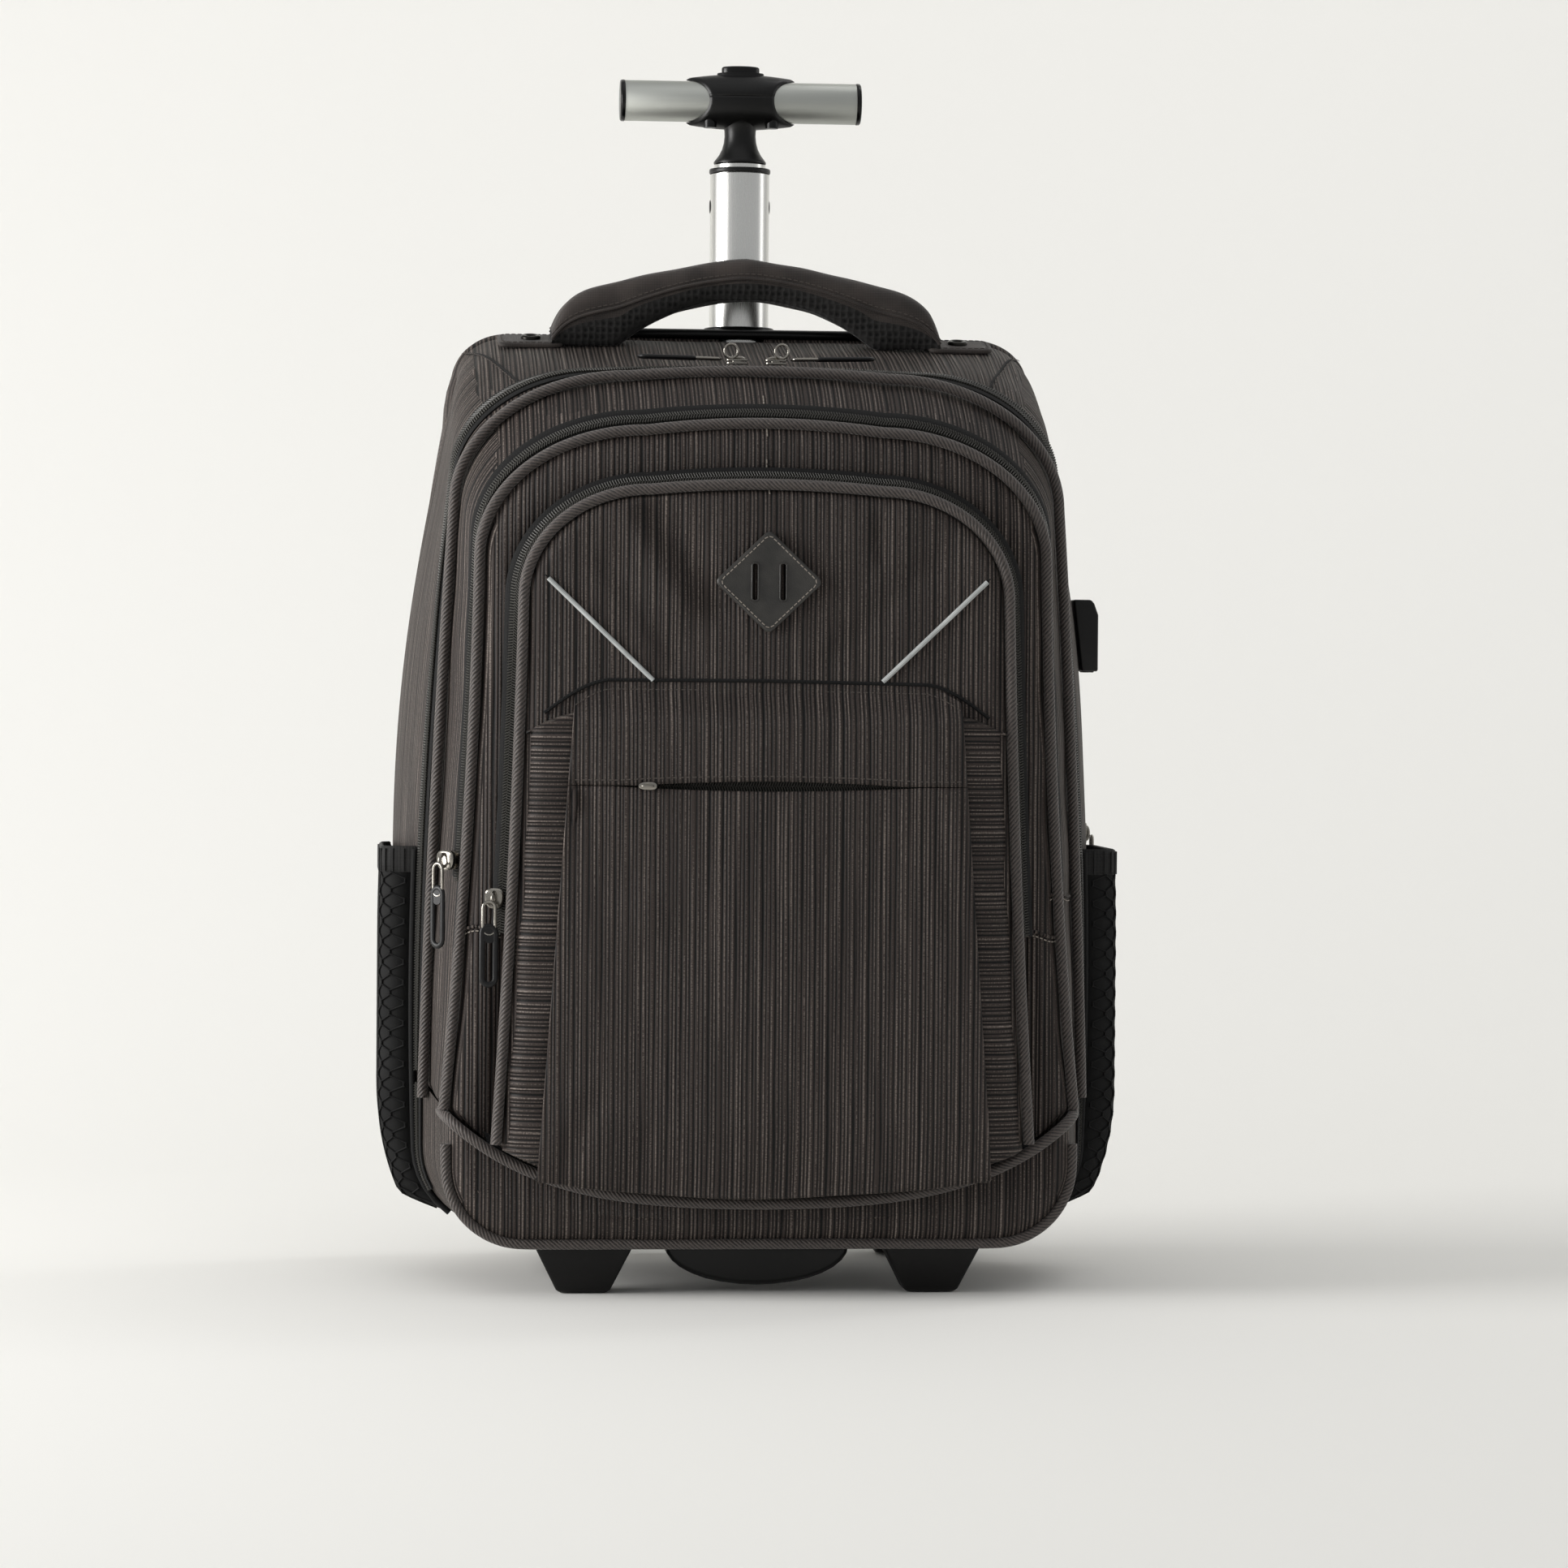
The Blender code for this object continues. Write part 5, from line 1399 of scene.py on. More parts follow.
    def build_rear(self) -> None:
        """Cavity behind the case that carries the pole, with a bound back edge; the zip round it is not
        built.
        """
        rows = [REAR.points(REAR_FRONT, 0.004), REAR.points(REAR_FRONT + 0.0012, 0.0015)]
        rows += [REAR.points(y, -0.0004 * math.sin((y - REAR_FRONT) * 70))
            for y in np.linspace(REAR_FRONT + 0.004, REAR_BACK - 0.001, 14)]
        rows += [REAR.points(REAR_BACK, 0.0015), REAR.points(REAR_BACK - 0.0006, 0.006)]
        mesh = skin(rows)
        face_from(mesh, (0.0, 0.085, 0.27))
        bm = bmesh.new()
        bm.from_mesh(mesh)
        spots = [(face, face.calc_center_median()) for face in bm.faces]
        around_pole = [face for face, at in spots if math.hypot(at.x, at.y - POLE_Y) < POLE_CLEARANCE]
        bmesh.ops.delete(bm, geom=around_pole, context="FACES")
        bm.to_mesh(mesh)
        bm.free()

        def soft(points: Array) -> Array:
            """Gentle waves, fuller at the upper corners."""
            top_corner = np.exp(-((points[:, 2] - 0.458) / 0.024) ** 2) * (np.abs(points[:, 0]) > 0.12)
            return ripple(points, (0.05, 0.04, 0.09), 37) * 0.0008 + 0.0046 * top_corner
        shift(mesh, soft)
        made = piece("rear_case", mesh, STRIPES, LINING)
        modify(made, "SOLIDIFY", thickness=0.0022, offset=-1.0, material_offset=1, material_offset_rim=1)
        settle(made, "bag", STRIPES, "rear_shell")
        edge = grow(REAR.points(REAR_BACK), 0.001)
        Piping("back_edge_piping", "bag", np.vstack([edge, edge[:1]]), (), 0.0024).build()

    def build_divider(self) -> None:
        """Padded laptop divider with bound edges."""
        centre, half = cad_box("laptop_divider")
        across, up = squared(96, half[0], half[2], 0.22, 0.16)
        shape = np.column_stack([across, np.zeros(96), up])
        rows = []
        for share, depth in ((0.2, -1.0), (0.6, -1.0), (0.9, -0.9), (0.975, -0.6), (1.0, 0.0), (0.975, 0.6),
                (0.9, 0.9), (0.6, 1.0), (0.2, 1.0)):
            ring = shape * share + centre
            ring[:, 1] += half[1] * depth
            rows.append(ring)
        add("divider_pad", skin(rows, caps=True), "bag", LINING, "laptop_divider", fill=0.9)
        strand("divider_binding", "bag", TAPE, shape * 0.995 + centre, 0.002, 8, closed=True)

    def build_lower_zips(self) -> None:
        """The main zip's lower run, which stays on the case beside the strip."""
        first, second = (grow(section(y).points(y), 0.0012) for y in (-0.035, -0.024))
        for side, word in SIDES:
            keep = (first[:, 2] > 0.044) & (first[:, 2] < 0.1045) & (first[:, 0] * side > 0.1)
            Zip(f"lower_zip_{word}", "bag", first[keep], second[keep]).build()


# ---------------------------------------------------------------- the front section

@dataclass
class FrontSection:
    """The banded front, the organiser's face, the pocket and all that is sewn on them."""

    body: str = "front_section"

    def build(self) -> None:
        """Build the front section's cloth, zips, piping and patch."""
        gusset = self.build_gusset()
        organiser = self.build_organiser()
        self.surface = Surface(gusset, organiser)
        self.face = Surface(organiser)
        self.build_zips()
        self.build_piping()
        self.build_seams()
        self.build_gores()
        self.build_pocket()
        self.build_patch()

    def build_gusset(self) -> Item:
        """Two cloth bands that swell between their seams, and the ledge in front of them."""
        rows = []
        for y in np.linspace(FRONT_EDGE, -0.088, 26):
            swell = 0.0004
            if -0.078 < y < -0.05:
                swell = 0.0004 + 0.0016 * math.sin(math.pi * (y + 0.078) / 0.028)
            rows.append(grow(section(y, True).points(y), swell))
        face = section(GUSSET_FRONT, True).points(GUSSET_FRONT, 0.002)
        inner = ORGANISER.points(GUSSET_FRONT - 0.001, -0.004)
        for share in (0.0, 0.15, 0.35, 0.55, 0.75, 0.9, 1.0):
            ring = face + (inner - face) * share
            ring[:, 1] = GUSSET_FRONT - 0.0032 * math.sin(math.pi * (0.12 + 0.8 * share))
            rows.append(ring)
        rows += inward(inner, (0.9, 0.5), lambda s: GUSSET_FRONT)
        mesh = skin(rows, end=True)
        face_from(mesh, (0.0, -0.03, 0.25))
        shift(mesh, lambda p: ripple(p, (0.035, 0.03, 0.06), 5) * 0.0006 * np.clip((-0.036 - p[:, 1]) / 0.01,
            0, 1))
        made = piece("front_bands", mesh, STRIPES, LINING)
        modify(made, "SOLIDIFY", thickness=WALL - 0.0006, offset=-1.0, material_offset=1,
            material_offset_rim=1)
        settle(made, self.body, STRIPES, "front_gusset")
        return made

    def build_organiser(self) -> Item:
        """The front panel: a crowned face with the soft dents of cloth pulled to its seams."""
        rows = [ORGANISER.points(y, inset) for y, inset in ((GUSSET_FRONT - GAP, -0.003), (-0.095, -0.002),
            (-0.099, -0.001), (-0.104, -0.0005), (-0.1075, 0.0), (-0.11, 0.0012), (-0.1113, 0.0034),
            (-0.1119, 0.0062))]
        edge = ORGANISER.points(ORGANISER_FRONT, 0.0095)
        shares = np.concatenate([[1.0], np.linspace(0.96, 0.03, 52)])
        rows += inward(edge, shares, lambda s: ORGANISER_FRONT - 0.0022 * (1 - s ** 2.4))
        mesh = skin(rows, end=True)
        face_from(mesh, (0.0, -0.05, 0.24))
        mesh.update()

        def dents(points: Array) -> Array:
            """Creases that run in from the arched seam."""
            front = np.clip((-0.1105 - points[:, 1]) / 0.001, 0, 1) * (points[:, 2] > 0.3)
            pull = creased(points, ((-0.0036, ((-0.056, 0.392), (-0.026, 0.346)), 0.0085),
                (0.0012, ((-0.07, 0.386), (-0.046, 0.348)), 0.0075),
                (-0.0018, ((0.0545, 0.389), (0.0555, 0.368)), 0.003),
                (-0.0011, ((0.082, 0.366), (0.03, 0.318)), 0.007),
                (-0.0012, ((-0.08, 0.366), (-0.045, 0.318)), 0.006)))
            return front * (pull + ripple(points, (0.045, 0.05, 0.06), 3) * 0.0007)
        shift(mesh, dents)
        made = add("organiser_cloth", mesh, self.body, STRIPES, "organiser_panel", weave=Weave.FRONT)
        return made

    def build_zips(self) -> None:
        """The three arched zips."""
        first, second = (grow(section(y).points(y), 0.0012) for y in (-0.035, -0.024))
        Zip("main_zip", self.body, *over_top(first, ZIP_FOOT, second), ("zip_main",)).build()
        first, second = (grow(section(y).points(y), lift) for y, lift in ((-0.0858, 0.001), (-0.0728, 0.003)))
        Zip("middle_zip", self.body, *over_top(first, 0.202, second), ("zip_middle",)).build()
        first = ORGANISER.points(-0.104, -0.0012)
        second = ORGANISER.points(-0.0952, -0.0118)
        Zip("front_zip", self.body, *over_top(first, 0.18, second), ("zip_front",)).build()

    def build_piping(self) -> None:
        """The three arched cords, which run down into the bottom seam."""
        for name, points, foot, reach in (("main", grow(section(-0.048).points(-0.048), 0.0037), 0.098,
                0.004), ("middle", grow(section(-0.088).points(-0.088), 0.0033), 0.098, 0.007),
                ("front", grow(ORGANISER.points(-0.1085), 0.003), 0.08, 0.008)):
            path, = over_top(points, foot)
            ends = [a + (a - b) / np.linalg.norm(a - b) * reach for a,
                b in ((path[0], path[1]), (path[-1], path[-2]))]
            Piping(f"{name}_piping", self.body, np.vstack([ends[0], path, ends[1]]),
                (f"piping_{name}",)).build()

    def build_seams(self) -> None:
        """Short joining seams over the middle, end caps of the zips and the silver piping."""
        for name, x, y, low, high in (("band_seam", 0.0005, -0.12, 0.4345, 0.4585),
                ("ledge_seam", 0.0002, -0.14, 0.405, 0.424)):
            path = np.column_stack([np.full(14, x), np.full(14, y), np.linspace(low, high, 14)])
            spots, outs = self.surface.drape(path, (0, 1, -0.15), 0.0003)
            stitch_row(name, self.body, spots, outs, PALE_THREAD, 0.0026, 0.8, 0.00035)
        for side, word in SIDES:
            line = np.array([[side * (0.109 - 0.052 * t), -0.14, 0.3575 - 0.05 * t]
                for t in np.linspace(0, 1, 24)])
            path, outs = self.face.drape(line, (0, 1, 0), 0.0004)
            strand(f"silver_piping_{word}", self.body, REFLECTIVE, path, 0.0012, 10)
            for step, away in enumerate((-0.0022, 0.0022)):
                moved = line + np.array([side * away * 0.7, 0, away * 0.72])
                spots, _ = self.face.drape(moved, (0, 1, 0), 0.0001)
                strand(f"silver_seam_{word}_{step}", self.body, TAPE, spots, 0.00035, 5)
        for name, x, z, wide in (("cap_left", -0.1395, 0.183, 0.008), ("cap_right", 0.1385, 0.1815, 0.009),
                ("cap_edge", 0.152, 0.201, 0.007)):
            line = np.array([[x + wide * (t - 0.5) * 2, -0.15, z + 0.0016 * math.sin(5 * t)]
                for t in np.linspace(0, 1, 12)])
            spots, outs = self.surface.drape(line, (0, 1, 0), 0.0006)
            strand(f"{name}_fold", self.body, STRIPES, spots, 0.0009, 8)
            stitch_row(f"{name}_stitches", self.body, spots + np.array([0, -0.0004, -0.0022]), outs,
                PALE_THREAD, 0.0024, 0.6, 0.0003)

    @staticmethod
    def fold_half(z: float | Array) -> float | Array:
        """Half width of the pocket's middle panel at a height."""
        return 0.1126 - (z - 0.06) * 0.0716

    def build_gores(self) -> None:
        """Side cloths of the pocket, cut with their stripes level."""
        for side, word in SIDES:
            rows = []
            for level in np.linspace(0, 1, 50):
                row = []
                for t in np.linspace(0, 1, 14):
                    top = 0.2905 - 0.0105 * t ** 1.8
                    foot = float(smile(0.107 + 0.018 * t)) + 0.004
                    z = foot + (top - foot) * level
                    inner = self.fold_half(z) - 0.005
                    outer = float(ORGANISER.side(z)) - 0.0005
                    y = -0.1182 + 0.0057 * t ** 1.3 + 0.0047 * max(0.0, (t - 0.7) / 0.3) ** 2
                    y -= 0.0014 * math.sin(math.pi * t) + 0.0004 * math.sin(95 * z + 4 * t)
                    row.append((side * (inner + (outer - inner) * t), y, z))
                rows.append(row)
            rows.append([(p[0], -0.1118, p[2] + 0.0012) for p in rows[-1]])
            mesh = skin(rows, wrap=False)
            face_from(mesh, (0.0, 0.0, 0.2))
            shift(mesh, lambda p: ripple(p, (0.02, 0.03, 0.03), 41) * 0.0005)
            made = piece(f"pocket_gore_{word}", mesh, STRIPES, weave=Weave.ACROSS)
            modify(made, "SOLIDIFY", thickness=0.0012, offset=-1.0)
            settle(made, self.body, STRIPES)

    def panel(self, name: str, low: Callable[[Array], Array], high: Callable[[Array], Array], rows: int,
            top_fold: bool, bottom_fold: bool) -> Item:
        """One part of the pocket's middle panel.

        Args:
            name: The piece's name.
            low: Height of its lower edge across the width.
            high: Height of its upper edge across the width.
            rows: Rows of the mesh.
            top_fold: Whether its upper edge runs back into the seam.
            bottom_fold: Whether its lower edge runs back into the seam.

        Returns:
            The panel.
        """
        shares = np.linspace(-1, 1, 61)
        made_rows = []
        for t in np.linspace(0, 1, rows):
            half = self.fold_half(0.06 + 0.246 * t)
            z = low(shares * half) + (high(shares * half) - low(shares * half)) * t
            x = shares * self.fold_half(z)
            rise = np.clip((0.3065 - z) / 0.022, 0, 1)
            rise = rise * rise * (3 - 2 * rise)
            sink = np.clip((z - 0.058) / 0.03, 0, 1) ** 0.6
            belly = 0.0018 * np.cos(shares * math.pi / 2) ** 0.6
            y = ORGANISER_FRONT - 0.0009 - (0.0085 + belly) * rise * (0.45 + 0.55 * sink)
            row = np.column_stack([x, y, z])
            back = []
            for side, end in ((-1, row[0]), (1, row[-1])):
                folds = [end + np.array([side * 0.0004, 0.0008, 0]),
                    end + np.array([-side * 0.0002, 0.0019, 0]), end + np.array([-side * 0.003, 0.0024, 0]),
                    np.array([end[0] - side * 0.006, max(end[1] + 0.003, -0.115), end[2]])]
                back.append(folds)
            made_rows.append(np.vstack([back[0][::-1], row, back[1]]))
        if bottom_fold:
            first = made_rows[0].copy()
            first[:, 1] += 0.0016
            first[:, 2] -= 0.0009
            last = first.copy()
            last[:, 1] = ORGANISER_FRONT - 0.0002
            last[:, 2] += 0.0006
            made_rows = [last, first] + made_rows
        if top_fold:
            seam = made_rows[-1].copy()
            seam[:, 1] = ORGANISER_FRONT + 0.0006
            made_rows.append(seam)
        mesh = skin(made_rows, wrap=False)
        face_from(mesh, (0.0, 0.0, 0.2))

        def soft(points: Array) -> Array:
            """Waves and pulled creases away from the sewn edges."""
            near_top = np.exp(-((points[:, 2] - 0.3065) / 0.004) ** 2)
            pull = ripple(points, (0.05, 0.05, 0.09), 57) * 0.0008
            pull += creased(points, ((-0.0016, ((-0.094, 0.248), (-0.07, 0.21)), 0.01),
                (0.0012, ((-0.085, 0.235), (-0.06, 0.19)), 0.009),
                (-0.001, ((0.08, 0.245), (0.092, 0.19)), 0.008),
                (-0.0014, ((-0.1, 0.064), (-0.085, 0.1)), 0.006),
                (-0.001, ((-0.064, 0.062), (-0.06, 0.085)), 0.004)))
            return pull * (1 - near_top) * (np.abs(points[:, 0]) < self.fold_half(points[:, 2]) - 0.002)
        shift(mesh, soft)
        made = piece(name, mesh, STRIPES, weave=Weave.FRONT)
        modify(made, "SOLIDIFY", thickness=0.0012, offset=-1.0)
        return made

    def build_pocket(self) -> None:
        """Middle panel in two parts, with a zipped slit left gaping between them."""
        def lens(x: Array) -> Array:
            """Half of the slit's gape."""
            return 0.0002 + 0.0023 * np.clip(1 - (np.abs(x) / 0.0735) ** 1.7, 0, 1) ** 0.85

        def crown(x: Array) -> Array:
            """Height of the pocket's top seam."""
            reach = np.clip((np.abs(x) - 0.0787) / 0.016, 0, 1)
            return 0.3066 - 0.0015 * (np.asarray(x) > 0) * np.clip(x / 0.09, 0, 1) - 0.0075 * reach ** 1.5

        upper = self.panel("pocket_flap", lambda x: SLIT_Z + lens(x), crown, 22, True, False)
        lower = self.panel("pocket_panel", lambda x: 0.0524 + 0.666 * x ** 2, lambda x: SLIT_Z - lens(x), 64,
            False, True)
        settle(upper, self.body, STRIPES, "front_pocket")
        settle(lower, self.body, STRIPES)
        first = np.column_stack([np.linspace(-0.08, 0.08, 60), np.full(60, -0.1176),
            np.full(60, SLIT_Z - 0.005)])
        second = first + np.array([0, 0, 0.01])
        Zip("pocket_zip", self.body, first, second).build()
        face = Surface(upper, lower)
        across = np.linspace(-0.0945, 0.0945, 60)
        for index, heights in enumerate((SLIT_Z + 0.0026 + lens(across), crown(across) - 0.0036)):
            line = np.column_stack([across, np.full(60, -0.15), heights])
            spots, outs = face.drape(line, (0, 1, 0), 0.0001)
            stitch_row(f"pocket_stitches_{index}", self.body, spots, outs, THREAD)
        seam = np.array([[x, -0.15, float(crown(np.array(min(abs(x), 0.0787) * math.copysign(1, x))))
            - 0.0165 * min(1.0, max(0.0, (abs(x) - 0.0787) / 0.0315)) ** 1.6 + 0.001]
            for x in np.linspace(-0.1105, 0.1105, 80)])
        spots, _ = Surface(bpy.data.objects["organiser_cloth"]).drape(seam, (0, 1, 0), 0.0002)
        strand("pocket_top_seam", self.body, TAPE, spots, 0.0009, 6)

    def build_patch(self) -> None:
        """Stitched leather diamond with two slots."""
        width, height, corner = 0.027, 0.026, 0.003
        ring = []
        for side in range(4):
            heading = math.pi / 2 * side
            middle = (math.cos(heading) * (width - corner * 1.4), math.sin(heading) * (height - corner * 1.4))
            for k in range(9):
                angle = heading - math.pi / 4 + math.pi / 2 * k / 8
                ring.append((middle[0] + corner * math.cos(angle), middle[1] + corner * math.sin(angle)))
        shape = np.array(ring)
        centre = np.array([0.0, 0.0, 0.3565])

        def place(share: float, y: float, inset: float = 0.0) -> Array:
            """The diamond at a size and a depth."""
            flat = shape * (share - inset / 0.027)
            return np.column_stack([flat[:, 0], np.full(len(flat), y), flat[:, 1]]) + centre
        front = -0.1158
        rows = [place(1, -0.112), place(1, front + 0.0006), place(1, front + 0.0001, 0.0005),
            place(1, front - 0.0002, 0.0015), place(1, front - 0.0001, 0.0024), place(1, front, 0.0032),
            place(0.4, front)]
        made = piece("leather_patch", skin(rows, caps=True), LEATHER)
        for side, x in ((0, -0.007), (1, 0.007)):
            half = 0.0013
            outline = [(x + half * math.cos(t), (0.0078 if math.sin(t) > 0 else -0.0078) + half * math.sin(t))
                for t in np.linspace(0.01, 2 * math.pi - 0.01, 20)]
            hole = [[(p, y, centre[2] + q) for p, q in outline] for y in (-0.11, -0.12)]
            cutter = piece(f"slot_{side}", skin(hole, caps=True), LEATHER)
            modify(made, "BOOLEAN", operation="DIFFERENCE", solver="EXACT", object=cutter)
            bpy.data.objects.remove(cutter)
            rim = np.array([(p + (p - x) * 0.25, front - 0.0005, centre[2] + q * 1.03) for p, q in outline])
            strand(f"slot_rim_{side}", self.body, LEATHER, rim, 0.00045, 6, closed=True)
        made.data.set_sharp_from_angle(angle=math.radians(18))
        settle(made, self.body, LEATHER, "diamond_patch")
        line = place(1, front - 0.0001, 0.0026)
        ring_points = resample(line, 0.0026, True)
        along = headings(ring_points, True)
        Bars.lay("patch_stitches", self.body, ring_points, along, np.array([[0.0, -1.0, 0.0]]), PALE_THREAD,
            0.0018, 0.0003, 6)


# ---------------------------------------------------------------- nets, handle, pole, base, back

def inflate(item: Item, cap: float, held: Callable[[Array], Array], cell: float = 0.005) -> None:
    """Swell a padded piece by cloth pressure and fix the result.

    Args:
        item: A closed piece, a little smaller than it should end.
        cap: Furthest that a point may move.
        held: Share of its movement that each point keeps, from its place.
        cell: Size of the remeshed cells.
    """
    modify(item, "REMESH", mode="VOXEL", voxel_size=cell)
    before = coordinates(item.data)
    cloth = item.modifiers.new("cloth", "CLOTH").settings
    cloth.quality = 5
    cloth.mass = 0.3
    cloth.use_pressure = True
    cloth.uniform_pressure_force = 4.0
    cloth.effector_weights.gravity = 0.0
    for number in range(1, 21):
        bpy.context.scene.frame_set(number)
    bake(item)
    bpy.context.scene.frame_set(1)
    moved = coordinates(item.data) - before
    length = np.linalg.norm(moved, axis=1)
    moved *= (np.minimum(1.0, cap / np.maximum(length, 1e-9)) * held(before))[:, None]
    item.data.vertices.foreach_set("co", (before + moved).ravel())
    modify(item, "SUBSURF", levels=1, render_levels=1)


@dataclass
class NetPocket:
    """A stretch net pocket on one side of the case, with a ribbed elastic mouth."""

    side: int
    front: float = -0.023
    back: float = 0.053
    low: float = 0.035
    high: float = 0.2215
    reach: float = 0.1906
    cell_wide: float = 0.0042
    cell_tall: float = 0.0052

    @property
    def word(self) -> str:
        """Which side it is on."""
        return "left" if self.side < 0 else "right"

    def spot(self, y: float, z: float, lift: float = 0.0015) -> Array:
        """A point of the net, for a depth and a height."""
        share = (z - self.low) / (self.high - self.low)
        reach = self.reach - 0.001 * max(0.0, (share - 0.75) / 0.25) ** 2 - 0.016 * max(0.0,
            1 - share / 0.35) ** 2.2
        here = section(y)
        drop = max(0.0, CASE_BOTTOM + here.radius_low - z)
        cloth = float(here.side(z + drop)) - here.radius_low + math.sqrt(here.radius_low ** 2
            - drop ** 2) + 0.0012
        across = min(1.0, max(0.0, (y - self.front) / (self.back - self.front)))
        bulge = min(1.0, 3.2 * math.sin(math.pi * across)) if share > 0.001 else 0.0
        bulge *= 2 - bulge
        inner = cloth + max(0.0, reach - 0.0015 - cloth) * bulge * min(1.0, share * 18)
        return np.array([self.side * (inner + lift), y, z])

    def build(self) -> None:
        """Backing, net cords, mouth binding and sewn edges."""
        depths = np.linspace(self.front, self.back, 30)
        heights = np.linspace(self.low, self.high, 44)
        rows = [[self.spot(y, z, 0.0009) for y in depths] for z in heights]
        mesh = skin(rows, wrap=False)
        face_from(mesh, (0.0, 0.015, 0.13))
        backing = piece(f"pocket_backing_{self.word}", mesh, NETTING)
        modify(backing, "SOLIDIFY", thickness=0.0009, offset=-1.0)
        settle(backing, "bag", NETTING, f"side_pocket_{self.word}")
        starts, ends = [], []
        wide, tall = self.cell_wide, self.cell_tall
        for row in range(int((self.high - self.low - 0.014) / tall)):
            for column in range(int((self.back - self.front) / wide)):
                y = self.front + 0.001 + (column + 0.5 * (row % 2)) * wide
                z = self.low + 0.002 + row * tall
                knot, tip = (y, z), (y, z + tall * 0.42)
                for a, b in ((knot, tip), (tip, (y - wide / 2, z + tall)), (tip, (y + wide / 2, z + tall))):
                    if all(self.front + 0.0008 < p[0] < self.back - 0.0008 for p in (a, b)):
                        starts.append(self.spot(*a, 0.0011))
                        ends.append(self.spot(*b, 0.0011))
        first, last = np.array(starts), np.array(ends)
        span = last - first
        length = np.linalg.norm(span, axis=1)
        Bars.lay(f"pocket_net_{self.word}", "bag", (first + last) / 2, span,
            np.array([[self.side, 0.0, 0.0]]), NETTING, 0.001, 0.00062, 6, 0.8, stretch=length / 0.001 * 1.12)
        hem_rows = []
        for y in depths:
            ring = []
            for z, lift in ((0.2088, 0.0008), (0.2092, 0.0019), (0.214, 0.0022), (0.2195, 0.0022),
                    (0.2216, 0.0016), (0.2222, 0.0006), (0.2216, -0.0002), (0.215, -0.0002),
                    (0.209, -0.0001)):
                spot = self.spot(y, min(z, self.high), lift)
                spot[2] = z
                ring.append(spot)
            hem_rows.append(ring)
        add(f"pocket_hem_{self.word}", skin(hem_rows, caps=True), "bag", ELASTIC)
        ribs = np.array([self.spot(y, 0.215, 0.0021)
            for y in np.arange(self.front + 0.001, self.back - 0.0005, 0.0016)])
        Bars.lay(f"pocket_ribs_{self.word}", "bag", ribs, np.array([[0.0, 0.0, 1.0]]),
            np.array([[self.side, 0.0, 0.0]]), ELASTIC, 0.0118, 0.0005, 6, 0.6)
        for word, y in (("front", self.front), ("back", self.back)):
            path = np.array([self.spot(y, z, 0.0012) for z in np.linspace(self.low, 0.2205, 30)])
            strand(f"pocket_edge_{word}_{self.word}", "bag", TAPE, path, 0.0017, 8)


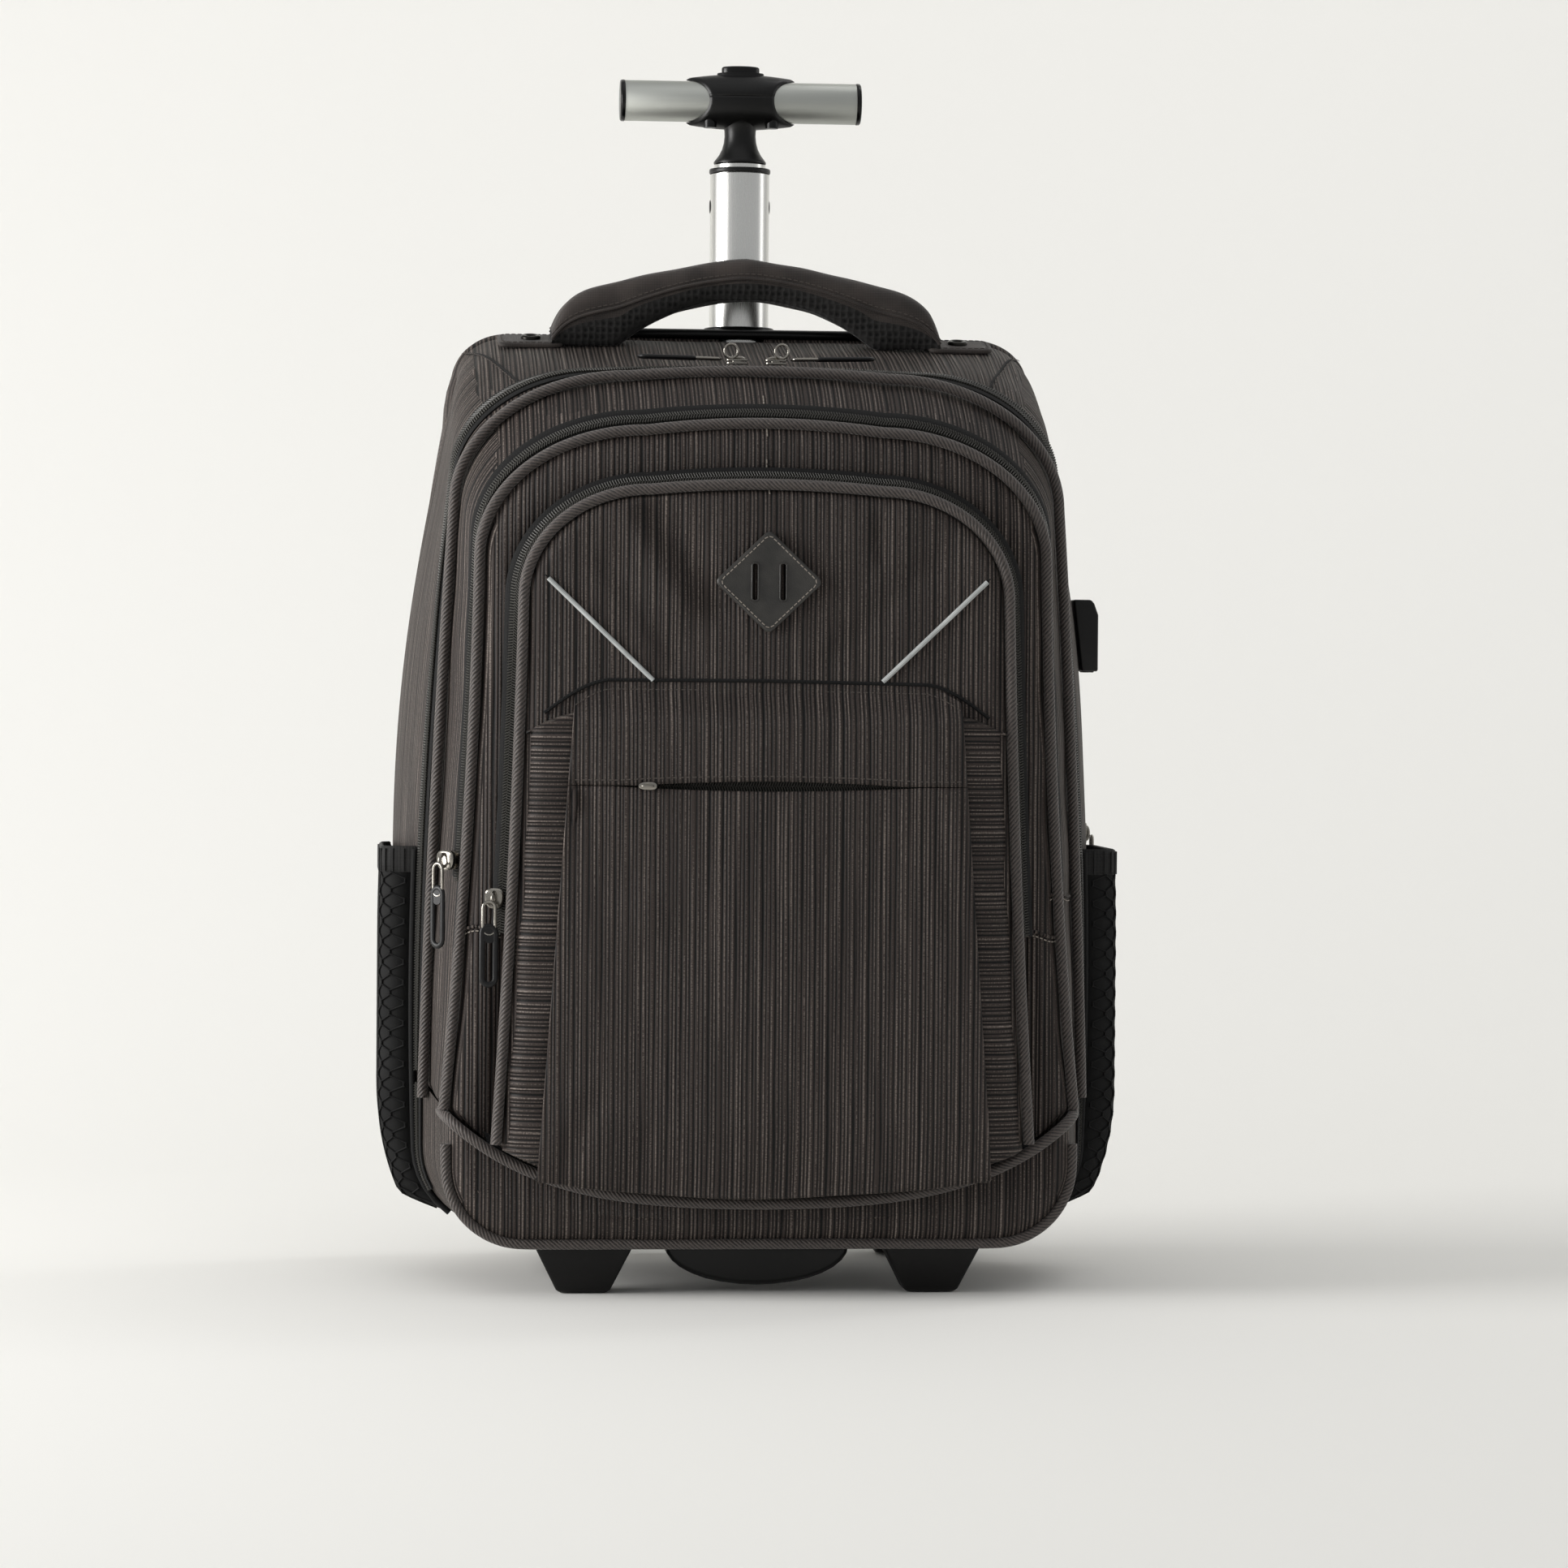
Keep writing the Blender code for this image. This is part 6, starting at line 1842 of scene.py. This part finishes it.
@dataclass
class GrabHandle:
    """Arched padded handle: cloth over the top, spacer mesh under the fingers, on riveted tabs."""

    y: float = 0.043
    depth: float = 0.026
    apex: float = 0.529
    under: float = 0.507
    half: float = 0.102
    rivet_x: float = 0.1125

    @property
    def lean(self) -> float:
        """Slope of the case's top under the handle."""
        return (section(self.y + 0.01).top - section(self.y - 0.01).top) / 0.02

    def seat(self, y: float | Array) -> float | Array:
        """Height of the cloth under the handle at a depth."""
        return section(self.y + self.depth / 2).top + GAP * 2 + (y - self.y - self.depth / 2) * self.lean

    def build(self) -> None:
        """Arch, seams, tabs and rivets."""
        seat = self.seat(self.y + self.depth / 2)
        rows = []
        xs = self.half * np.sin(np.linspace(-math.pi / 2, math.pi / 2, 91))
        edges: dict[str, list[Array]] = {"front": [], "back": []}
        for x in xs:
            share = abs(x) / self.half
            upper = self.apex - (self.apex - seat - 0.006) * (0.6 * share ** 1.35 + 0.4 * share ** 14)
            lower = max(seat, self.under - 4.5 * x * x)
            middle, tall = (upper + lower) / 2, (upper - lower) / 2
            ring_y, ring_z = squared(48, self.depth / 2, tall, 0.55, 0.75)
            near_seat = np.clip(1 - (middle + ring_z - seat) / 0.015, 0, 1)
            ring_z += middle + (ring_y - self.depth / 2) * self.lean * near_seat
            rows.append(np.column_stack([np.full(48, x), self.y + ring_y, ring_z]))
            for word, k in (("front", 24), ("back", 0)):
                edges[word].append(rows[-1][k])
        mesh = skin(rows, caps=True)
        crease = ripple(coordinates(mesh), (0.03, 0.02, 0.02), 71)
        shift(mesh, lambda p: crease * 0.0005)
        made = piece("grab_handle_pad", mesh, COVER, MESH)
        under = [1 if sum(k % 48 > 24 for k in f.vertices if k < 91 * 48) > 2 or len(f.vertices) > 4 else 0
            for f in made.data.polygons]
        made.data.polygons.foreach_set("material_index", under)
        settle(made, "bag", COVER, "grab_handle", fill=0.8)
        for word, path in edges.items():
            line = smoothed(np.array(path), 2)
            out = (0, -1, 0) if word == "front" else (0, 1, 0)
            strand(f"handle_seam_{word}", "bag", COVER, line[2:-2], 0.0011, 8)
            stitch_row(f"handle_stitches_{word}", "bag", line[3:-3] + np.array([0, out[1] * 0.0003, 0.0026]),
                np.array([out, out]), THREAD)
        for side, word in SIDES:
            self.build_tab(side, word)

    def build_tab(self, side: int, word: str) -> None:
        """One tab with its stitched edge and eyelet rivet."""
        centre_x, half_x, half_y = side * 0.113, 0.017, self.depth / 2
        rows = []
        for share, lift in ((0.97, 0.0001), (1.0, 0.0008), (1.0, 0.0019), (0.97, 0.0024), (0.6, 0.0026)):
            x, y = squared(60, half_x * share, half_y * share, 0.3, 0.3)
            rows.append(np.column_stack([centre_x + x, self.y + y, self.seat(self.y + y) + lift]))
        add(f"handle_tab_{word}", skin(rows, caps=True), "bag", COVER)
        x, y = squared(60, half_x - 0.002, half_y - 0.002, 0.3, 0.3)
        ring = np.column_stack([centre_x + x, self.y + y, self.seat(self.y + y) + 0.0027])
        stitch_row(f"tab_stitches_{word}", "bag", ring, np.array([(0, -0.2, 1), (0, -0.2, 1)]), THREAD,
            closed=True)
        profile = rounded([(0.0022, 0.0002), (0.0026, 0.0014), (0.0042, 0.0018), (0.0052, 0.001),
            (0.0052, -0.0004)], 0.0008)
        eyelet = turned([(0.0008, -0.0002)] + profile, (0, 0, 0), segments=40)
        slope = math.atan(self.lean)
        place = Matrix.Translation((side * self.rivet_x, self.y, self.seat(self.y) + 0.0028))
        eyelet.transform(place @ Matrix.Rotation(slope, 4, "X"))
        face_out(eyelet)
        add(f"eyelet_{word}", eyelet, "bag", BLACKENED, f"rivet_{word}")


@dataclass
class Pole:
    """Telescopic tubes, the T-bar and its split hub with a push button."""

    hub_half: float = 0.029
    hub_radius: float = 0.0148
    hub_end: float = 0.0122
    split: float = 0.6185
    bar_half: float = 0.0619

    def build(self) -> None:
        """Build each stage on its own body."""
        self.build_tubes()
        self.build_hub()
        self.build_bar()
        self.build_button()
        add("bezel_plate", refined("pole_bezel", 0.0012), "bag", ABS, "pole_bezel")
        lip = turned(rounded([(0.0163, 0.4935), (0.0163, 0.4958), (0.0186, 0.4958), (0.019, 0.4935)], 0.0006),
            (0, POLE_Y, 0), closed=True)
        add("bezel_lip", lip, "bag", GLASSY)

    @staticmethod
    def tube_profile(outer: float, inner: float, low: float, high: float) -> list[tuple[float, float]]:
        """A tube's wall with eased ends."""
        ease = 0.0003
        return [(inner, low), (outer - ease, low), (outer, low + ease), (outer, high - ease),
            (outer - ease, high), (inner + ease, high), (inner, high - ease)]

    def build_tubes(self) -> None:
        """The two tubes that show, the seal between them and the lock studs."""
        centre = (0, POLE_Y, 0)
        middle = turned(self.tube_profile(MID_RADIUS, 0.0146, 0.14, MID_TOP), centre, segments=112,
            closed=True)
        add("middle_tube", middle, "middle_stage", ALUMINIUM, "mid_tube", sharp=40)
        ring = [(0.0141, 0.5781), (0.016, 0.5781), (0.0163, 0.5786), (0.0163, 0.58), (0.016, 0.5805),
            (0.0141, 0.5805)]
        add("seal_ring", turned(ring, centre, segments=96, closed=True), "middle_stage", SEAL, "collar_ring")
        upper = turned(self.tube_profile(INNER_RADIUS, 0.0126, 0.1529, INNER_TOP), centre, segments=96,
            closed=True)
        add("upper_tube", upper, "inner_stage", ALUMINIUM, "inner_tube", sharp=40)
        for side, word in SIDES:
            profile = [(0.0001, side * 0.0162), (0.0022, side * 0.0161), (0.0029, side * 0.0158),
                (0.0031, side * 0.015), (0.0031, side * 0.0148)]
            stud = turned(profile, (0, POLE_Y, 0.5605), "X", 32)
            stud.transform(Matrix.Translation((0, 0, 0.5605)) @ Matrix.Diagonal(
                (1, 1, 1.3, 1)) @ Matrix.Translation((0, 0, -0.5605)))
            face_out(stud)
            add(f"lock_stud_{word}", stud, "middle_stage", SEAL)

    def build_hub(self) -> None:
        """Two moulded halves whose ends scoop back along the bar, on a flared neck."""
        stations, around = 61, 128
        angles = np.linspace(0, 2 * math.pi, around, endpoint=False)
        rows = []
        for share in np.linspace(-1, 1, stations):
            up = 1 - np.abs(np.cos(angles)) ** 0.95
            reach = 0.0172 + (self.hub_half - 0.0172) * up
            radius = self.hub_end + (self.hub_radius - self.hub_end) * math.cos(share * math.pi / 2) ** 0.8
            radius = np.full(around, radius) - 0.0008 * max(0.0, abs(share) - 0.93) / 0.07
            height = radius * np.sin(angles)
            line = np.exp(-((height - (self.split - BAR_Z)) / 0.00045) ** 2)
            radius = radius - 0.0007 * line
            rows.append(np.column_stack([share * reach, POLE_Y + radius * np.cos(angles),
                BAR_Z + radius * np.sin(angles)]))
        inner = [np.column_stack([row[:, 0] * 0.985, POLE_Y + (BAR_RADIUS + GAP) * np.cos(angles),
            BAR_Z + (BAR_RADIUS + GAP) * np.sin(angles)]) for row in (rows[-1], rows[0])]
        barrel = skin(rows + inner, wrap_rows=True)
        neck = turned([(0.0122, 0.57), (0.0122, 0.5833), (0.0139, 0.5834), (0.014, 0.5842), (0.0133, 0.5852),
            (0.0112, 0.588), (0.0096, 0.5912), (0.0087, 0.5945), (0.0083, 0.598), (0.0084, 0.6008),
            (0.009, 0.6034), (0.0102, 0.6056), (0.0118, 0.6073), (0.0124, 0.6095)], (0, POLE_Y, 0),
            segments=96)
        add("handle_hub", joined([barrel, neck]), "inner_stage", ABS, "hub_lower", "hub_upper", sharp=60)
        for side, word in SIDES:
            boss = turned([(0.0034, 0.602), (0.0034, 0.6052), (0.0038, 0.6075)],
                (side * 0.0165, POLE_Y - 0.005, 0), segments=28)
            add(f"hub_boss_{word}", boss, "inner_stage", ABS)

    def build_bar(self) -> None:
        """Satin tube and its two black end caps."""
        profile = [(0.0094, -self.bar_half), (BAR_RADIUS - 0.0002, -self.bar_half),
            (BAR_RADIUS, -self.bar_half + 0.0002), (BAR_RADIUS, self.bar_half - 0.0002),
            (BAR_RADIUS - 0.0002, self.bar_half), (0.0094, self.bar_half)]
        bar = turned(profile, (0, POLE_Y, BAR_Z), "X", 112, closed=True)
        add("grip_bar", bar, "inner_stage", SATIN, "t_bar")
        for side, word in SIDES:
            start = self.bar_half + 0.0001
            profile = [(0.009, start - 0.004), (0.009, start), (0.011, start), (0.0111, start + 0.0004),
                (0.011, start + 0.0016), (0.0104, start + 0.0022), (0.006, start + 0.0023),
                (0.0004, start + 0.0023)]
            cap = turned([(r, side * h) for r, h in profile], (0, POLE_Y, BAR_Z), "X", 96)
            add(f"end_cap_{word}", cap, "inner_stage", GLASSY, f"bar_cap_{word}")

    def build_button(self) -> None:
        """Oval push button with a crowned top."""
        angles = np.linspace(0, 2 * math.pi, 64, endpoint=False)
        rows = []
        for share, z in ((0.97, 0.6302), (0.97, 0.634), (0.95, 0.6346), (0.9, 0.635), (0.78, 0.63515),
                (0.4, 0.6352)):
            rows.append(np.column_stack([0.0104 * share * np.cos(angles),
                POLE_Y + 0.0056 * share * np.sin(angles), np.full(64, z)]))
        add("release_button", skin(rows, caps=True), "button", GLASSY, "push_button")
        rim = [np.column_stack([0.0108 * s * np.cos(angles), POLE_Y + 0.006 * s * np.sin(angles),
            np.full(64, z)]) for s, z in ((1.0, 0.629), (1.0, 0.6318), (1.14, 0.6316), (1.22, 0.629))]
        add("button_rim", skin(rim, wrap_rows=True), "inner_stage", ABS)
        use_cad("push_rod", DRAWN)


@dataclass
class Base:
    """Moulded base: plate, feet, underside grip and wheel wells."""

    def build(self) -> None:
        """Soften the CAD shapes' edges and put them in their plastics."""
        for node, width, finish in (("base_plate", 0.0008, ABS), ("front_foot_left", 0.0014, FOOT),
                ("front_foot_right", 0.0014, FOOT), ("bottom_grip", 0.0009, ABS),
                ("wheel_housing_left", 0.0011, ABS), ("wheel_housing_right", 0.0011, ABS),
                ("pole_socket", 0.0011, ABS), ("port_housing", 0.0013, ABS)):
            add(node + "_moulding", refined(node, width), "bag", finish, node, sharp=40)
        for node in ("axle_left", "axle_right", "pole_outer_tube"):
            use_cad(node, ZINC)
        spots = np.array([[x, y, 0.0236] for x in (-0.105, 0.0, 0.105) for y in (-0.03, 0.045)])
        Bars.lay("plate_screws", "bag", spots, np.array([[0.0, 0.0, 1.0]]), np.array([[1.0, 0.0, 0.0]]), ZINC,
            0.0012, 0.0036, 20)
        x, y = squared(24, 0.0027, 0.0064, 0.4, 0.4)
        rim = np.column_stack([0.18251 + x, 0.04 + y, np.full(24, 0.3142)])
        strand("port_rim", "bag", GRIP_RUBBER, rim, 0.0005, 6, closed=True)


@dataclass
class Wheel:
    """A wheel with a grooved tyre and a ribbed rim."""

    side: int
    radius: float = 0.029
    rim: float = 0.021
    half: float = 0.01

    def build(self) -> None:
        """Tyre, rim and the ribs on both of the rim's faces."""
        word = "left" if self.side < 0 else "right"
        centre = (self.side * 0.0877, 0.0965, 0.029)
        r, h = self.radius, self.half
        profile = [(self.rim + GAP, -h), (r - 0.0016, -h), (r - 0.0005, -h + 0.001),
            (r - 0.0001, -h + 0.0028)]
        for groove_at in (-0.0035, 0.0035):
            profile += [(r, groove_at - 0.0008), (r - 0.001, groove_at - 0.0005),
                (r - 0.001, groove_at + 0.0005), (r, groove_at + 0.0008)]
        profile += [(r - 0.0001, h - 0.0028), (r - 0.0005, h - 0.001), (r - 0.0016, h), (self.rim + GAP, h)]
        tyre = turned(profile, centre, "X", 96, closed=True)
        add(f"tyre_ring_{word}", tyre, f"wheel_{word}", TYRE, f"tyre_{word}", sharp=35)
        rim_profile = [(self.rim, -h + 0.001), (self.rim, h - 0.001), (self.rim - 0.0025, h - 0.001),
            (self.rim - 0.0045, h - 0.004), (0.0075, h - 0.004), (0.0065, h), (0.0033, h), (0.0033, -h),
            (0.0065, -h), (0.0075, -h + 0.004), (self.rim - 0.0045, -h + 0.004),
            (self.rim - 0.0025, -h + 0.001)]
        rim = turned(rim_profile, centre, "X", 96, closed=True)
        add(f"rim_disc_{word}", rim, f"wheel_{word}", ABS, f"wheel_rim_{word}", sharp=35)
        angles = np.tile(np.linspace(0, 2 * math.pi, 10, endpoint=False), 2)
        faces = np.repeat([-1.0, 1.0], 10)
        ways = np.column_stack([np.zeros(20), np.cos(angles), np.sin(angles)])
        spots = np.array(centre) + ways * 0.012 + np.column_stack([faces * (h - 0.0036), np.zeros((20, 2))])
        Bars.lay(f"rim_ribs_{word}", f"wheel_{word}", spots, ways,
            np.column_stack([faces, np.zeros((20, 2))]), ABS, 0.0098, 0.0013, 10)


@dataclass
class Back:
    """Padded back and the two shoulder straps that lie on it."""

    near: float = 0.1063

    def build(self) -> None:
        """Back cloth, three pads, straps, webbing and buckles."""
        rows = [REAR.points(self.near, 0.003), REAR.points(self.near + 0.001, 0.0022),
            REAR.points(0.1085, 0.0024), REAR.points(0.1097, 0.0045)]
        rows += inward(REAR.points(0.1097, 0.006), np.linspace(0.97, 0.05, 20), lambda s: 0.1101, (0.0, 0.27))
        add("back_cloth", skin(rows, caps=True), "bag", MESH, "back_panel")
        pads = (("upper_pad_left", -0.074, 0.35, 0.056, 0.112),
            ("upper_pad_right", 0.074, 0.35, 0.056, 0.112), ("lumbar_pad", 0.0, 0.153, 0.132, 0.064))
        for name, x, z, half_x, half_z in pads:
            self.build_pad(name, x, z, half_x, half_z)
        for side in (-1, 1):
            self.build_strap(side)
        loop = np.array([[x, 0.112 + 0.006 * (1 - (x / 0.026) ** 2), 0.476 - 0.004 * (x / 0.026) ** 2]
            for x in np.linspace(-0.026, 0.026, 30)])
        strand("haul_loop", "bag", WEBBING, loop, 0.009, 12, flat=0.13, out=(0, 1, 0))

    def build_pad(self, name: str, x: float, z: float, half_x: float, half_z: float) -> None:
        """One foam pad under spacer mesh, swollen between its seams.

        Args:
            name: The piece's name.
            x: Middle across.
            z: Middle height.
            half_x: Half width.
            half_z: Half height.
        """
        across, up = squared(80, half_x, half_z, 0.45, 0.45)
        shape = np.column_stack([across, np.zeros(80), up])
        rows = []
        for share, y in ((0.5, 0.1085), (0.97, 0.1085), (0.98, 0.1098), (0.95, 0.111), (0.88, 0.112),
                (0.6, 0.1124)):
            ring = shape * share + np.array([x, 0, z])
            ring[:, 1] = y
            rows.append(ring)
        pad = piece(name, skin(rows, caps=True), MESH)
        inflate(pad, 0.002, lambda p: np.clip((p[:, 1] - 0.109) / 0.002, 0, 1), 0.004)
        settle(pad, "bag", MESH, fill=0.7)
        ring = shape + np.array([x, 0.1106, z])
        strand(name + "_seam", "bag", TAPE, ring, 0.0012, 8, closed=True)

    @staticmethod
    def route(side: int) -> Array:
        """Middle line and half width of a strap, evenly spaced."""
        keys = ((0.034, 0.462, 0.024), (0.044, 0.42, 0.029), (0.06, 0.35, 0.031), (0.072, 0.28, 0.03),
            (0.082, 0.22, 0.026), (0.086, 0.2, 0.018))
        fine = smoothed(spread(keys, 70), 25)
        fine[:, 0] *= side
        return fine

    def build_strap(self, side: int) -> None:
        """A padded strap with bound edges, its webbing, a ladder buckle and the lower anchor."""
        word = "left" if side < 0 else "right"
        line = self.route(side)
        way = unit(headings(line[:, :2]))
        across = np.column_stack([way[:, 1], np.zeros(len(way)), -way[:, 0]])
        middle = np.column_stack([line[:, 0], np.full(len(line), 0.1188), line[:, 1]])
        rows, left, right = [], [], []
        for spot, cross, half in zip(middle, across, line[:, 2]):
            wide, thick = squared(40, half - 0.0015, 0.003, 0.5, 0.8)
            rows.append(spot + np.outer(wide, cross) + np.column_stack([np.zeros(40), thick, np.zeros(40)]))
            left.append(spot + cross * (half - 0.0012))
            right.append(spot - cross * (half - 0.0012))
        pad = piece(f"strap_pad_{word}", skin(rows, caps=True), MESH)
        inflate(pad, 0.0012, lambda p: np.ones(len(p)), 0.004)
        settle(pad, "bag", MESH, f"shoulder_strap_{word}", fill=0.6)
        for index, edge in enumerate((left, right)):
            strand(f"strap_binding_{word}_{index}", "bag", TAPE, np.array(edge), 0.0019, 8)
            inset = np.array(edge) + (middle - np.array(edge)) * 0.16 + np.array([0, 0.004, 0])
            stitch_row(f"strap_stitches_{word}_{index}", "bag", inset, np.array([(0, 1, 0), (0, 1, 0)]),
                THREAD)
        keys = ((0.085, 0.206), (0.089, 0.18), (0.094, 0.15), (0.101, 0.12), (0.112, 0.092))
        web_x, web_z = spread(keys, 40).T
        web = np.column_stack([web_x * side, 0.1168 + 0.0012 * np.sin(np.linspace(0, 7, 40)), web_z])
        strand(f"strap_webbing_{word}", "bag", WEBBING, smoothed(web, 6), 0.0115, 14, flat=0.09,
            out=(0, 1, 0))
        frame_at = np.array([side * 0.0905, 0.1182, 0.1745])
        for index, (drop, wide) in enumerate(((0.0, 0.0145), (-0.008, 0.0145), (0.008, 0.013))):
            bar = np.array([frame_at + np.array([x, 0.0006, drop]) for x in np.linspace(-wide, wide, 8)])
            strand(f"buckle_bar_{word}_{index}", "bag", ABS, bar, 0.0017, 12)
        x, z = squared(48, 0.015, 0.0105, 0.35, 0.35)
        ring = frame_at + np.column_stack([x, np.zeros(48), z])
        strand(f"buckle_frame_{word}", "bag", ABS, ring, 0.002, 12, closed=True)
        anchor = np.array([[side * (0.112 + 0.005 * t), 0.116 - 0.002 * t, 0.096 - 0.016 * t]
            for t in np.linspace(0, 1, 12)])
        strand(f"strap_anchor_{word}", "bag", COVER, anchor, np.linspace(0.0125, 0.015, 12), 14, flat=0.12,
            out=(0, 1, 0))


def build_hardware() -> None:
    """Every slider and pull, in place of the CAD ones."""
    for side, word in SIDES:
        Slider(f"top_slider_{word}", "front_section", (-side, 0, 0), (0, 0, 1)).build()
        Puller(f"top_puller_{word}", f"top_pull_{word}", f"top_pull_{word}_lift", (side, 0, 0.02),
            (0, 0, 1)).build()
        middle, _ = cad_box(f"top_slider_{word}")
        ring = [middle + np.array([side * 0.003 + 0.0034 * math.cos(t), -0.0012,
            0.005 + 0.0036 * math.sin(t)]) for t in np.linspace(0, 2 * math.pi, 32, endpoint=False)]
        strand(f"pull_ring_{word}", "front_section", NICKEL, np.array(ring), 0.0007, 8, closed=True)
    Slider("middle_slider", "front_section", (0, 0, 1), (-0.7, -0.7, 0)).build()
    Puller("middle_puller", "middle_pull", "middle_pull_lift", (0, 0, -1), (-0.7, -0.7, 0)).build()
    Slider("front_slider", "front_section", (0, 0, 1), (-0.3, -1, 0)).build()
    Puller("front_puller", "front_pull", "front_pull_lift", (0, 0, -1), (0, -1, 0)).build()
    Slider("rear_slider", "bag", (0, 0, 1), (1, 0, 0)).build()
    Puller("rear_puller", "rear_pull", "rear_pull_lift", (0, 0, -1), (1, 0, 0), 0.036).build()
    Slider("pocket_slider", "pocket_zip", (1, 0, 0), (0, -1, 0)).build()


# ---------------------------------------------------------------- studio

@dataclass
class Studio:
    """Camera, soft lights and a paper sweep."""

    azimuth: float = -5.2
    distance: float = 2.55
    height: float = 0.3035
    aside: float = 0.0185
    pitch: float = -1.1
    roll: float = 0.45
    lens: float = 113.1

    def build(self) -> None:
        """Set up the whole studio."""
        self.build_camera()
        self.build_lights()
        self.build_sweep()

    def build_camera(self) -> None:
        """Place the camera level with the middle of the case, a little to its left."""
        turn = math.radians(self.azimuth)
        right = Vector((math.cos(turn), math.sin(turn), 0))
        forward = Vector((-math.sin(turn), math.cos(turn), 0))
        place = -forward * self.distance + right * self.aside
        tilt = math.radians(self.pitch)
        look = forward * math.cos(tilt) + Vector((0, 0, math.sin(tilt)))
        up = right.cross(look)
        lean = math.radians(self.roll)
        top = up * math.cos(lean) - right * math.sin(lean)
        across = look.cross(top)
        data = bpy.data.cameras.new("camera")
        data.lens = self.lens
        data.sensor_width = 36.0
        data.clip_end = 60.0
        camera = bpy.data.objects.new("camera", data)
        bpy.context.scene.collection.objects.link(camera)
        turned_to = Matrix((across, top, -look)).transposed().to_4x4()
        camera.matrix_world = Matrix.Translation((place.x, place.y, self.height)) @ turned_to
        bpy.context.scene.camera = camera

    @staticmethod
    def lamp(name: str, place: Sequence[float], aim: Sequence[float], size: Sequence[float], power: float,
            colour: str = "ffffff") -> None:
        """A rectangular soft light.

        Args:
            name: The light's name.
            place: Where it stands.
            aim: The point that it faces.
            size: Width and height.
            power: Watts.
            colour: Its tint.
        """
        data = bpy.data.lights.new(name, "AREA")
        data.shape = "RECTANGLE"
        data.size, data.size_y = size
        data.energy = power
        data.color = linear(colour)[:3]
        lamp = bpy.data.objects.new(name, data)
        bpy.context.scene.collection.objects.link(lamp)
        lamp.location = place
        lamp.rotation_euler = (Vector(aim) - Vector(place)).to_track_quat("-Z", "Y").to_euler()

    def build_lights(self) -> None:
        """A large soft key from the left, a dim overhead and an even surround."""
        self.lamp("key", (-2.3, -0.4, 0.74), (0, 0, 0.3), (1.2, 1.3), 64, "fffefd")
        self.lamp("overhead", (-0.3, -0.9, 3.2), (0, 0.2, 0.2), (3.0, 2.4), 9, "fffefd")
        self.lamp("wall wash", (1.5, 0.85, 2.7), (1.0, 2.2, 0.6), (1.8, 0.5), 11, "fffefe")
        self.lamp("reflector", (2.4, 0.2, 0.75), (0, 0.08, 0.5), (0.5, 1.6), 5, "fffefc")
        world = bpy.data.worlds.new("surround")
        world.use_nodes = True
        world.node_tree.nodes["Background"].inputs["Color"].default_value = linear("fcfdfe")
        world.node_tree.nodes["Background"].inputs["Strength"].default_value = 0.49
        bpy.context.scene.world = world
        bpy.context.scene.view_settings.view_transform = "Standard"

    @staticmethod
    def build_sweep() -> None:
        """Paper that runs back along the floor and curves up behind."""
        profile = [(-6.0, 0.0), (-2.0, 0.0), (0.6, 0.0)]
        profile += [(0.6 + 1.6 * math.sin(t), 1.6 - 1.6 * math.cos(t))
            for t in np.linspace(0.08, math.pi / 2, 18)]
        profile += [(2.2, 3.0), (2.2, 5.0)]
        rows = [[(x, y, z - 0.0002) for x in (-6.0, -2.0, 2.0, 6.0)] for y, z in profile]
        mesh = skin(rows, wrap=False)
        if mesh.polygons[0].normal.z < 0:
            mesh.flip_normals()
        sweep = piece("sweep", mesh, PAPER, sharp=180)


def use_cad(node: str, finish: Finish) -> None:
    """Give a CAD node a finish and leave its shape alone."""
    item = frame["nodes"][node]
    item.data.materials.clear()
    item.data.materials.append(finish.material())


def main() -> None:
    """Build every sub-assembly in order."""
    logging.basicConfig(level=logging.INFO, format="%(name)s %(message)s")
    Studio().build()
    CaseBody().build()
    FrontSection().build()
    for side in (-1, 1):
        NetPocket(side).build()
        Wheel(side).build()
    GrabHandle().build()
    Pole().build()
    Base().build()
    Back().build()
    build_hardware()


if __name__ == "__main__":
    main()
